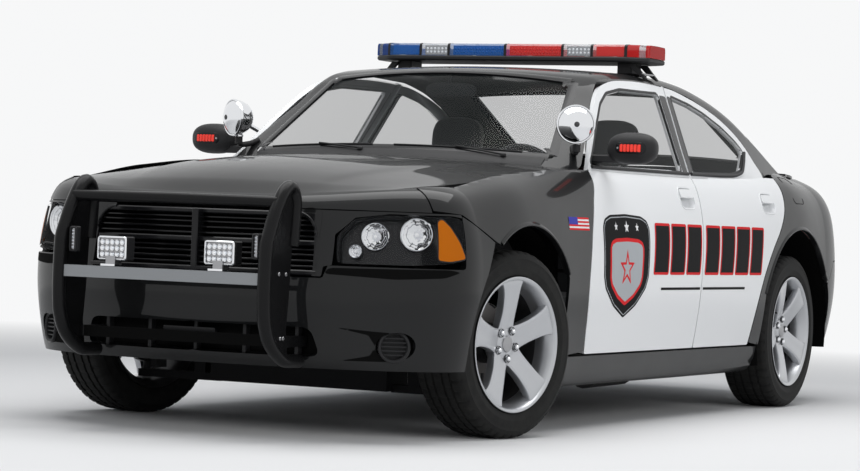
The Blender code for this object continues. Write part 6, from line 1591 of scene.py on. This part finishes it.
corner = [(on_nose(0.475, 0.738), 0.736), *((on_nose(y, z), z) for y, z in bend), (on_nose(0.378, 0.834), 0.834),
          (on_nose(0.475, 0.834), 0.834)]
edge_line = np.array([side(np.array([on_nose(y, z)]), np.array([z]))[0] for y, z in bend])
pair("nose_panel", [panel, trimmed(side, corner, 0.005, BLACK, lip=0.02, lift=0.0015),
                    bar(edge_line, 0.0060, GLOSS_TRIM, 10)])
# The lamp slot and fog recess patches here are painted shade; the gloss ring round each fog hole is real trim.
pair("bumper_recesses", [slot, fog_pocket_shade, ring])
print("nose closed")

# %% [markdown]
# Sills, the pillar between the doors, and the strip at the belt are thin trim laid over the solid's own
# surfaces. The belt strip hides the line where the door skin meets the window frame.

# %% Sills, pillar trim, belt strips and fuel door
sill_loop = [(0.380, 0.178), (2.590, 0.178), (2.578, 0.232), (2.540, 0.298), (0.376, 0.298)]
pair("sill_cover", [trimmed(side, sill_loop, 0.02, BLACK, span=((0.37, 2.60), (0.17, 0.31)), lip=0.02, lift=0.0015)])
pillar_front = [(1.784, 1.062), (1.838, 1.062), (1.868, 1.180), (1.917, 1.330), (1.934, 1.396), (1.866, 1.399)]
pillar_rear = [(1.859, 1.062), (1.902, 1.062), (1.992, 1.397), (1.957, 1.400), (1.936, 1.330), (1.887, 1.180)]


def pillar_trim(loop):
    return trimmed(cabin, rounded(loop, 0.008), 0.008, GLOSS_TRIM, lip=0.003, lift=0.0016)


def belt(points):
    path = eased([cabin(np.array([b]), np.array([z]))[0] + np.array([0.0, 0.004, 0.0]) for b, z in points], 60)
    return bar(path, 0.0075, TRIM, 10)


pair("belt_front", [belt(((0.790, 1.053), (1.20, 1.055), (1.834, 1.058))), pillar_trim(pillar_front)], "door_front_{}")
pair("belt_rear", [belt(((1.866, 1.058), (2.40, 1.067), (2.56, 1.086), (2.64, 1.128), (2.722, 1.182))),
                   pillar_trim(pillar_rear)], "door_rear_{}")
fuel = rounded([(2.990, 1.078), (3.024, 0.960), (3.160, 0.960), (3.158, 1.074)], 0.020)
put("fuel_door", [strip_round(side, fuel, 0.0035, LINER_AND_PAINTED_SHADE, 0.0014)], "body")
print("trim laid")

# %% [markdown]
# A door handle here is a flap across a cup pressed into the skin. The skin has a hole, and the cup's wall
# follows the hole's edge inwards while it shrinks.

# %% Door handles
def cup(loop, depth, finish):
    """Rings from the skin inwards, each a little smaller, closed by a flat bottom."""
    centre = loop.mean(0)
    rings = []
    for share, down in ((1.0, 0.0), (0.985, 0.003), (0.93, 0.60 * depth), (0.86, 0.9 * depth), (0.74, depth),
                        (0.35, depth), (0.0, depth)):
        rings.append(deep(down)(*(centre + (loop - centre) * share).T))
    return sheet(rings, finish, closed_b=True)


def handle(back):
    loop = handle_hole(back)
    flap = rounded([(back - 0.072, 0.951), (back + 0.072, 0.951), (back + 0.071, 0.986), (back - 0.071, 0.986)], 0.014)
    return [cup(loop, 0.026, WHITE), strip_round(side, loop, 0.007, WHITE, 0.0028),
            trimmed(side, flap, 0.006, WHITE, lift=0.005)]


for word, (edges, frame_edge, window, handle_back) in DOORS.items():
    pair("handle_" + word, handle(handle_back), "door_%s_{}" % word)
print("handles")

# %% [markdown]
# Markings are films stuck on the paint. Each colour is its own thin patch of the same skin, lifted less
# than a millimetre, so it bends with the door. The design is plain: a shield with a star, a row of
# slanting blocks with a red edge, and a fine line.

# %% Films
def film(name, colour):
    """Printed vinyl: an even colour with a faint mottle in its gloss."""
    return mottled(name, colour, 80.0, 0.1, 0.3, roughness=0.35, specular_ior_level=0.02)


FILM_BLACK, FILM_RED = film("black film", (0.003, 0.003, 0.0035)), film("red film", (0.66, 0.020, 0.024))
FILM_SILVER, FILM_WHITE = film("silver film", (0.42, 0.44, 0.46)), film("white film", (0.80, 0.80, 0.80))
FILM_BLUE = film("blue film", (0.055, 0.055, 0.36))


def patch(loop, finish, layer, holes=(), step=0.007):
    return trimmed(side, loop, step, finish, holes, lip=0.0, lift=0.0007 + 0.0003 * layer)


def star(back, z, radius):
    angle = np.radians(90 + 36 * np.arange(10))
    r = radius * np.where(np.arange(10) % 2 == 0, 1.0, 0.40)
    return np.stack([back + r * np.cos(angle), z + r * np.sin(angle)], 1)


def shield(back, low, high, half):
    points = np.array([(-0.66, 0.985), (0.0, 1.0), (0.66, 0.985), (0.90, 0.945), (0.995, 0.87), (1.0, 0.75),
                       (0.965, 0.40), (0.86, 0.28), (0.48, 0.115), (0.0, 0.0), (-0.48, 0.115), (-0.86, 0.28),
                       (-0.965, 0.40), (-1.0, 0.75), (-0.995, 0.87), (-0.90, 0.945)])
    return rounded(np.stack([back + half * points[:, 0], low + (high - low) * points[:, 1]], 1), 0.012)


outer_shield = shield(0.955, 0.446, 0.868, 0.245)
inner_shield = shield(0.955, 0.496, 0.772, 0.178)
emblem = [patch(outer_shield, FILM_BLACK, 0),
          patch(grown(outer_shield, -0.009), FILM_SILVER, 1, [grown(outer_shield, -0.013)], 0.004),
          patch(inner_shield, FILM_RED, 1), patch(grown(inner_shield, -0.015), FILM_SILVER, 2),
          patch(star(0.955, 0.647, 0.080), FILM_RED, 3, step=0.004),
          patch(star(0.955, 0.647, 0.050), FILM_SILVER, 4, step=0.003)]
for back, size in ((0.845, 0.020), (0.955, 0.027), (1.065, 0.020)):
    emblem.append(patch(star(back, 0.815, size), FILM_WHITE, 1, step=0.003))


def blocks(edges):
    """Slanting blocks, each a red film with a smaller black one on it."""
    made = []
    for low, high in edges:
        loop = rounded([(low, 0.622), (high, 0.622), (high + 0.020, 0.838), (low + 0.020, 0.838)], 0.012)
        made += [patch(loop, FILM_RED, 0), patch(grown(loop, -0.011), FILM_BLACK, 1)]
    return made


def line(low, high):
    return patch([(low, 0.558), (high, 0.558), (high + 0.001, 0.569), (low + 0.001, 0.569)], FILM_BLACK, 0, step=0.005)


front_film = emblem + blocks(((1.240, 1.408), (1.424, 1.592), (1.608, 1.776))) + [line(1.335, 1.785)]
rear_film = blocks(((1.824, 1.992), (2.008, 2.176), (2.192, 2.360), (2.376, 2.530))) + [line(1.818, 2.330)]
pair("front_door_film", front_film, "door_front_{}")
pair("rear_door_film", rear_film, "door_rear_{}")
flag = [patch(rectangle(0.368, 0.572, 0.796, 0.846), FILM_WHITE, 0)]
for k in range(4):
    z = 0.796 + k * 0.050 / 7 * 2
    flag.append(patch(rectangle(0.368, 0.572, z, z + 0.050 / 7), FILM_RED, 1, step=0.0035))
flag.append(patch(rectangle(0.368, 0.458, 0.8175, 0.846), FILM_BLUE, 2))
pair("fender_flag", flag)
print("films on")

# %% [markdown]
# The cowl strip closes the foot of the windshield, and the wipers rest just above it.

# %% Cowl and wipers
def over_roof(back, y, lift):
    n = steady(roof_point, back, y)
    return roof_point(back, y) + n * np.sign(n[..., 2:]) * lift


def glass_foot(y):
    """How far back the windshield's lower edge lies."""
    return WS_LOW + 0.13 * (y / CROWN_Y) ** 2


y, t = np.meshgrid(np.linspace(-0.66, 0.66, 80), np.linspace(0, 1, 8), indexing="ij")
cowl = over_roof(glass_foot(y) - 0.050 + 0.066 * t, y, 0.0035 * np.sin(np.pi * t)[..., None] ** 0.3)
parts = [sheet(cowl, TRIM, True)]
for low, high, pivot in ((0.02, 0.56, 0.50), (-0.60, -0.08, -0.12)):
    y = np.linspace(low, high, 24)
    blade = over_roof(glass_foot(y) + 0.022, y, 0.005)
    arm_y = np.linspace(pivot, 0.5 * (low + high), 16)
    arm_back = np.linspace(0.0, 1.0, 16) * 0.034 - 0.012 + glass_foot(arm_y)
    parts += [bar(blade, 0.0032, TRIM, 8), bar(over_roof(arm_back, arm_y, 0.011), 0.0042, TRIM, 10)]
    knob = over_roof(arm_back[:1], arm_y[:1], 0.004)[0]
    parts.append(turned([(0.0, 0.012), (0.008, 0.011), (0.011, 0.008), (0.012, 0.0)], knob, TRIM, "z", 20))
put("cowl_and_wipers", parts, "body")
print("cowl in")

# %% [markdown]
# Seats are foam under cloth. Each cushion starts as a ball that a power law squares up into a rounded
# block, and is then leaned; the front seat's cushion is also given side bolsters.

# %% Seats
def cushion(centre, half, lean, square=4.0, bolster=0.0, finish=CLOTH):
    """|x|^n + |y|^n + |z|^n = 1 leaned about the y axis, with its sides raised by bolster."""
    u, v = np.meshgrid(np.linspace(0, 2 * math.pi, 64, endpoint=False), np.linspace(-math.pi / 2, math.pi / 2, 34),
                       indexing="ij")
    e = 2 / square
    x = np.sign(np.cos(v) * np.cos(u)) * np.abs(np.cos(v) * np.cos(u)) ** e
    y = np.sign(np.cos(v) * np.sin(u)) * np.abs(np.cos(v) * np.sin(u)) ** e
    z = np.sign(np.sin(v)) * np.abs(np.sin(v)) ** e
    puff = 1.0 - 0.05 * np.cos(6 * x) * (np.abs(z) > 0.6)
    raised = bolster * np.maximum(np.abs(y) - 0.6, 0.0) * (z > 0)
    p = np.stack([x * half[0], y * half[1], z * half[2] * puff + raised], -1)
    c, s = math.cos(lean), math.sin(lean)
    p = np.stack([p[..., 0] * c + p[..., 2] * s, p[..., 1], -p[..., 0] * s + p[..., 2] * c], -1)
    return sheet(p + np.array(centre), finish, True, closed_a=True)


front_seat = [cushion((AXLE - 1.555, 0.385, 0.435), (0.250, 0.250, 0.078), 0.06, bolster=0.05),
              cushion((AXLE - 1.940, 0.385, 0.755), (0.062, 0.245, 0.300), -0.34),
              cushion((AXLE - 2.052, 0.385, 1.190), (0.040, 0.125, 0.100), -0.10, 3.2)]
for y in (0.340, 0.430):
    front_seat.append(bar([(AXLE - 2.020, y, 0.980), (AXLE - 2.044, y, 1.120)], 0.006, SATIN, 8))
front_seat.append(slab((1.320, 1.820), (0.170, 0.600), (0.2165, 0.375), CABIN, 0.02))
for seat in pair("front_seat", front_seat, replaces=["seat_{}"]):
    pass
rear = [cushion((AXLE - 2.370, 0.0, 0.415), (0.228, 0.520, 0.078), 0.05),
        cushion((AXLE - 2.700, 0.0, 0.680), (0.062, 0.518, 0.262), -0.33),
        slab((2.150, 2.515), (-0.50, 0.50), (0.2165, 0.350), CABIN, 0.02)]
put("rear_bench", rear, "body", ["rear_seat"])
print("seats")

# %% [markdown]
# The dashboard is one long moulding with a hood over the dials, and the steering wheel stands in front
# of it on the column, leaning back by 24 degrees.

# %% Dashboard and steering wheel
dash = [(0.503, 0.620), (0.503, 0.905), (0.640, 0.948), (0.900, 0.978), (0.965, 0.972), (0.986, 0.945), (0.988, 0.800),
        (0.900, 0.680)]
board = [plate(rounded(dash, 0.02), -0.655, 0.655, CABIN, "y", 0.010)]
hood_over = [(0.780, 0.940), (0.830, 1.020), (0.930, 1.028), (0.984, 1.000), (0.984, 0.880), (0.940, 0.880)]
board.append(plate(rounded(hood_over, 0.02), 0.210, 0.530, CABIN, "y", 0.010))
for y in (0.300, 0.370, 0.440):
    board.append(turned([(0.0, 0.0), (0.026, 0.0), (0.028, 0.004), (0.031, 0.004), (0.031, -0.004)],
                        (AXLE - 0.9845, y, 0.925), SATIN, "x", 28, flip=-1.0))
for y in (-0.50, -0.10, 0.07):
    board.append(slab((0.984, 0.990), (y - 0.05, y + 0.05), (0.86, 0.90), GLOSS_TRIM, 0.001))
board.append(slab((0.995, 1.850), (-0.095, 0.095), (0.2170, 0.440), CABIN, 0.02))
put("dash_board", board, "body", ["dashboard"])
LEAN_BACK = math.radians(24)
hub = np.array([AXLE - 1.165, 0.370, 0.975])
wheel_axis = np.array([-math.cos(LEAN_BACK), 0.0, math.sin(LEAN_BACK)])
wheel_up = np.array([math.sin(LEAN_BACK), 0.0, math.cos(LEAN_BACK)])
angle = np.linspace(0, 2 * math.pi, 73)[:-1]
wide = np.array([0.0, 1.0, 0.0])
tube = np.linspace(0, 2 * math.pi, 14, endpoint=False)[:, None]
radial = (np.cos(angle)[:, None] * wide + np.sin(angle)[:, None] * wheel_up)[:, None]
rim_grid = hub + 0.175 * radial + 0.0145 * (np.cos(tube) * radial + np.sin(tube) * wheel_axis)
steering = [sheet(rim_grid, CABIN, closed_a=True, closed_b=True)]
for way in (wide, -wide, -wheel_up):
    steering.append(bar([hub + way * r + wheel_axis * (0.012 * (1 - r / 0.17)) for r in (0.03, 0.08, 0.13, 0.168)],
                        np.array([0.024, 0.019, 0.015, 0.012]), CABIN, 12))
steering.append(turned([(0.0, 0.030), (0.030, 0.028), (0.050, 0.018), (0.056, 0.004), (0.056, -0.030)], hub, CABIN,
                       frame_of=(wide, np.cross(wheel_axis, wide), wheel_axis), steps=40))
steering.append(bar([(AXLE - 1.145, 0.370, 0.966), (AXLE - 0.975, 0.370, 0.890)], 0.030, CABIN, 20))
put("steering_wheel_rim", steering, "body", ["steering_wheel"])
glass_stem = [(AXLE - 1.160, 0.0, 1.438), (AXLE - 1.168, 0.0, 1.400)]
put("inside_mirror", [cushion((AXLE - 1.175, 0.0, 1.372), (0.014, 0.118, 0.032), 0.15, 3.2, finish=CABIN),
                      bar(glass_stem, 0.007, CABIN, 10)], "body")
print("dashboard and wheel")

# %% [markdown]
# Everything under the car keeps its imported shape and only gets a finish: painted floor, cast arms, and a
# steel exhaust.

# %% Underside
UNDERSEAL = grained("underseal", (0.010, 0.010, 0.011), 0.8, 200.0, 0.0004)
MUFFLER = mottled("exhaust steel", (0.10, 0.098, 0.094), 40.0, 0.3, 0.35, 4.0, metallic=0.7, roughness=0.5)
CAST = grained("cast iron", (0.030, 0.030, 0.031), 0.7, 400.0, 0.0004)
for name, finish in (("floor_pan", UNDERSEAL), ("engine", CAST), ("front_crossmember", UNDERSEAL), ("rear_axle", CAST),
                     ("exhaust", MUFFLER), ("knuckle_left", CAST), ("knuckle_right", CAST)):
    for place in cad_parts[name].material_slots:
        place.material = finish.material
put("engine_bay_walls", [slab((-0.540, 0.540), (0.715, 0.720), (0.560, 0.820), UNDERSEAL, 0.002),
                         slab((-0.540, 0.540), (-0.720, -0.715), (0.560, 0.820), UNDERSEAL, 0.002),
                         slab((0.492, 0.498), (-0.715, 0.715), (0.300, 0.930), UNDERSEAL, 0.002)], "body")
print("underside painted, engine bay closed")

# %% [markdown]
# The plate stays blank. It sits on the trunk lid between the tail lamps, held by two screws.

# %% Rear plate
face_x = float(side(np.full(20, S_MAX), np.linspace(0.735, 0.886, 20))[:, 0].min())
plate_loop = rounded(rectangle(-0.152, 0.152, 0.735, 0.886), 0.010)
rear_plate = [plate(plate_loop, face_x - 0.006, face_x - 0.003, FILM_WHITE, "x", 0.0005)]
for y in (-0.12, 0.12):
    rear_plate.append(turned([(0.0, 0.003), (0.004, 0.0025), (0.005, 0.0)], (face_x - 0.006, y, 0.872), SATIN, "x", 6,
                             flip=-1.0))
put("blank_plate", rear_plate, "trunk_lid")
print("rear plate")

# %% [markdown]
# The camera stands where the photographer stood, a little in front and to the car's left at hood
# height, and the long lens keeps the perspective flat.

# %% Camera
EYE = np.array([9.98542649, 5.44871136, 0.79776368])
YAW, PITCH, ROLL, FOCUS = 206.32799, -0.226278, 2.1669, 2906.72


def aim_camera():
    """The camera's matrix holds right, up and minus forward, after a small roll."""
    yaw, pitch, roll = np.radians((YAW, PITCH, ROLL))
    ahead = np.array([np.cos(pitch) * np.cos(yaw), np.cos(pitch) * np.sin(yaw), np.sin(pitch)])
    right = unit(np.cross(ahead, (0.0, 0.0, 1.0)))
    up = np.cross(right, ahead)
    across, above = right * np.cos(roll) + up * np.sin(roll), -right * np.sin(roll) + up * np.cos(roll)
    data = bpy.data.cameras.new("camera")
    data.sensor_width = 36.0
    data.lens = FOCUS / 860 * 36.0
    data.clip_end = 200.0
    camera = bpy.data.objects.new("camera", data)
    matrix = np.eye(4)
    matrix[:3, 0], matrix[:3, 1], matrix[:3, 2] = across, above, -ahead
    matrix[:3, 3] = EYE + np.array([AXLE, 0.0, 0.0])
    camera.matrix_world = Matrix(matrix.tolist())
    bpy.context.scene.collection.objects.link(camera)
    bpy.context.scene.camera = camera
    return camera


aim_camera()
print("camera set")

# %% [markdown]
# A pale floor and large soft lights are the usual car studio: one broad light above, one on the car's left,
# one in front, and white behind the car.

# %% Floor, background and lights
BACKDROP = (0.93, 0.935, 0.94)


def studio_floor():
    """A pale floor that fades into the backdrop between 4 and 8.5 m from the car."""
    ground = mottled("studio floor", (0.78, 0.78, 0.78), 2.0, 0.06, 0.82, roughness=0.85)
    far = ground.node("ShaderNodeVectorMath", (ground.place(),), out=1, operation="LENGTH").ramp(4.0, 8.5)
    rays = [ground.node("ShaderNodeLightPath", out="Is %s Ray" % kind) for kind in ("Camera", "Glossy", "Transmission")]
    glow = ground.node("ShaderNodeEmission", {"Color": BACKDROP, "Strength": 1.0})
    mix = ground.node("ShaderNodeMixShader", {0: far * (rays[0] + rays[1] + rays[2]).math("MINIMUM", 1.0),
                                              1: Field(ground, ground.shader.outputs[0]), 2: glow})
    ground.tree.links.new(mix.socket, ground.tree.nodes["Material Output"].inputs["Surface"])
    mesh = bpy.data.meshes.new("floor")
    mesh.from_pydata([(x, y, 0.0) for x, y in rectangle(-40.0, 40.0, -40.0, 40.0)], [], [(0, 1, 2, 3)])
    mesh.materials.append(ground.material)
    floor = bpy.data.objects.new("floor", mesh)
    bpy.context.scene.collection.objects.link(floor)
    return floor


def soft_light(name, place, target, size, power, glossy=False):
    data = bpy.data.lights.new(name, "AREA")
    data.shape, data.size, data.size_y, data.energy = "RECTANGLE", size[0], size[1], power
    light = bpy.data.objects.new(name, data)
    light.location = place
    light.rotation_euler = (Vector(target) - Vector(place)).to_track_quat("-Z", "Y").to_euler()
    light.visible_glossy = glossy
    bpy.context.scene.collection.objects.link(light)
    return light


lights = [soft_light("overhead", (0.5, 0.5, 6.0), (0.0, 0.0, 0.5), (8.0, 5.0), 350.0, True),
          soft_light("left side", (2.5, 7.5, 3.0), (0.0, 0.5, 0.6), (7.0, 2.5), 160.0),
          soft_light("front", (8.5, 1.0, 3.2), (1.5, 0.0, 0.7), (4.0, 2.0), 150.0)]
studio_floor()

world = bpy.data.worlds.new("pale studio")
bpy.context.scene.world = world
world.use_nodes = True
nodes, links = world.node_tree.nodes, world.node_tree.links
nodes.clear()
rays, through, shown, dim, seen, mix, out = (nodes.new("ShaderNode" + kind) for kind in (
    "LightPath", "Math", "Math", "Background", "Background", "MixShader", "OutputWorld"))
for background, colour, strength in ((seen, BACKDROP, 1.0), (dim, (0.62, 0.66, 0.72), 0.35)):
    background.inputs["Color"].default_value = (*colour, 1.0)
    background.inputs["Strength"].default_value = strength
through.operation = shown.operation = "ADD"
shown.use_clamp = True
for source, target in (
        (rays.outputs["Is Glossy Ray"], through.inputs[0]), (rays.outputs["Is Transmission Ray"], through.inputs[1]),
        (rays.outputs["Is Camera Ray"], shown.inputs[0]), (through.outputs[0], shown.inputs[1]),
        (shown.outputs[0], mix.inputs["Fac"]), (dim.outputs[0], mix.inputs[1]), (seen.outputs[0], mix.inputs[2]),
        (mix.outputs[0], out.inputs["Surface"])):
    links.new(source, target)
bpy.context.scene.view_settings.view_transform = "Standard"
print("studio ready")
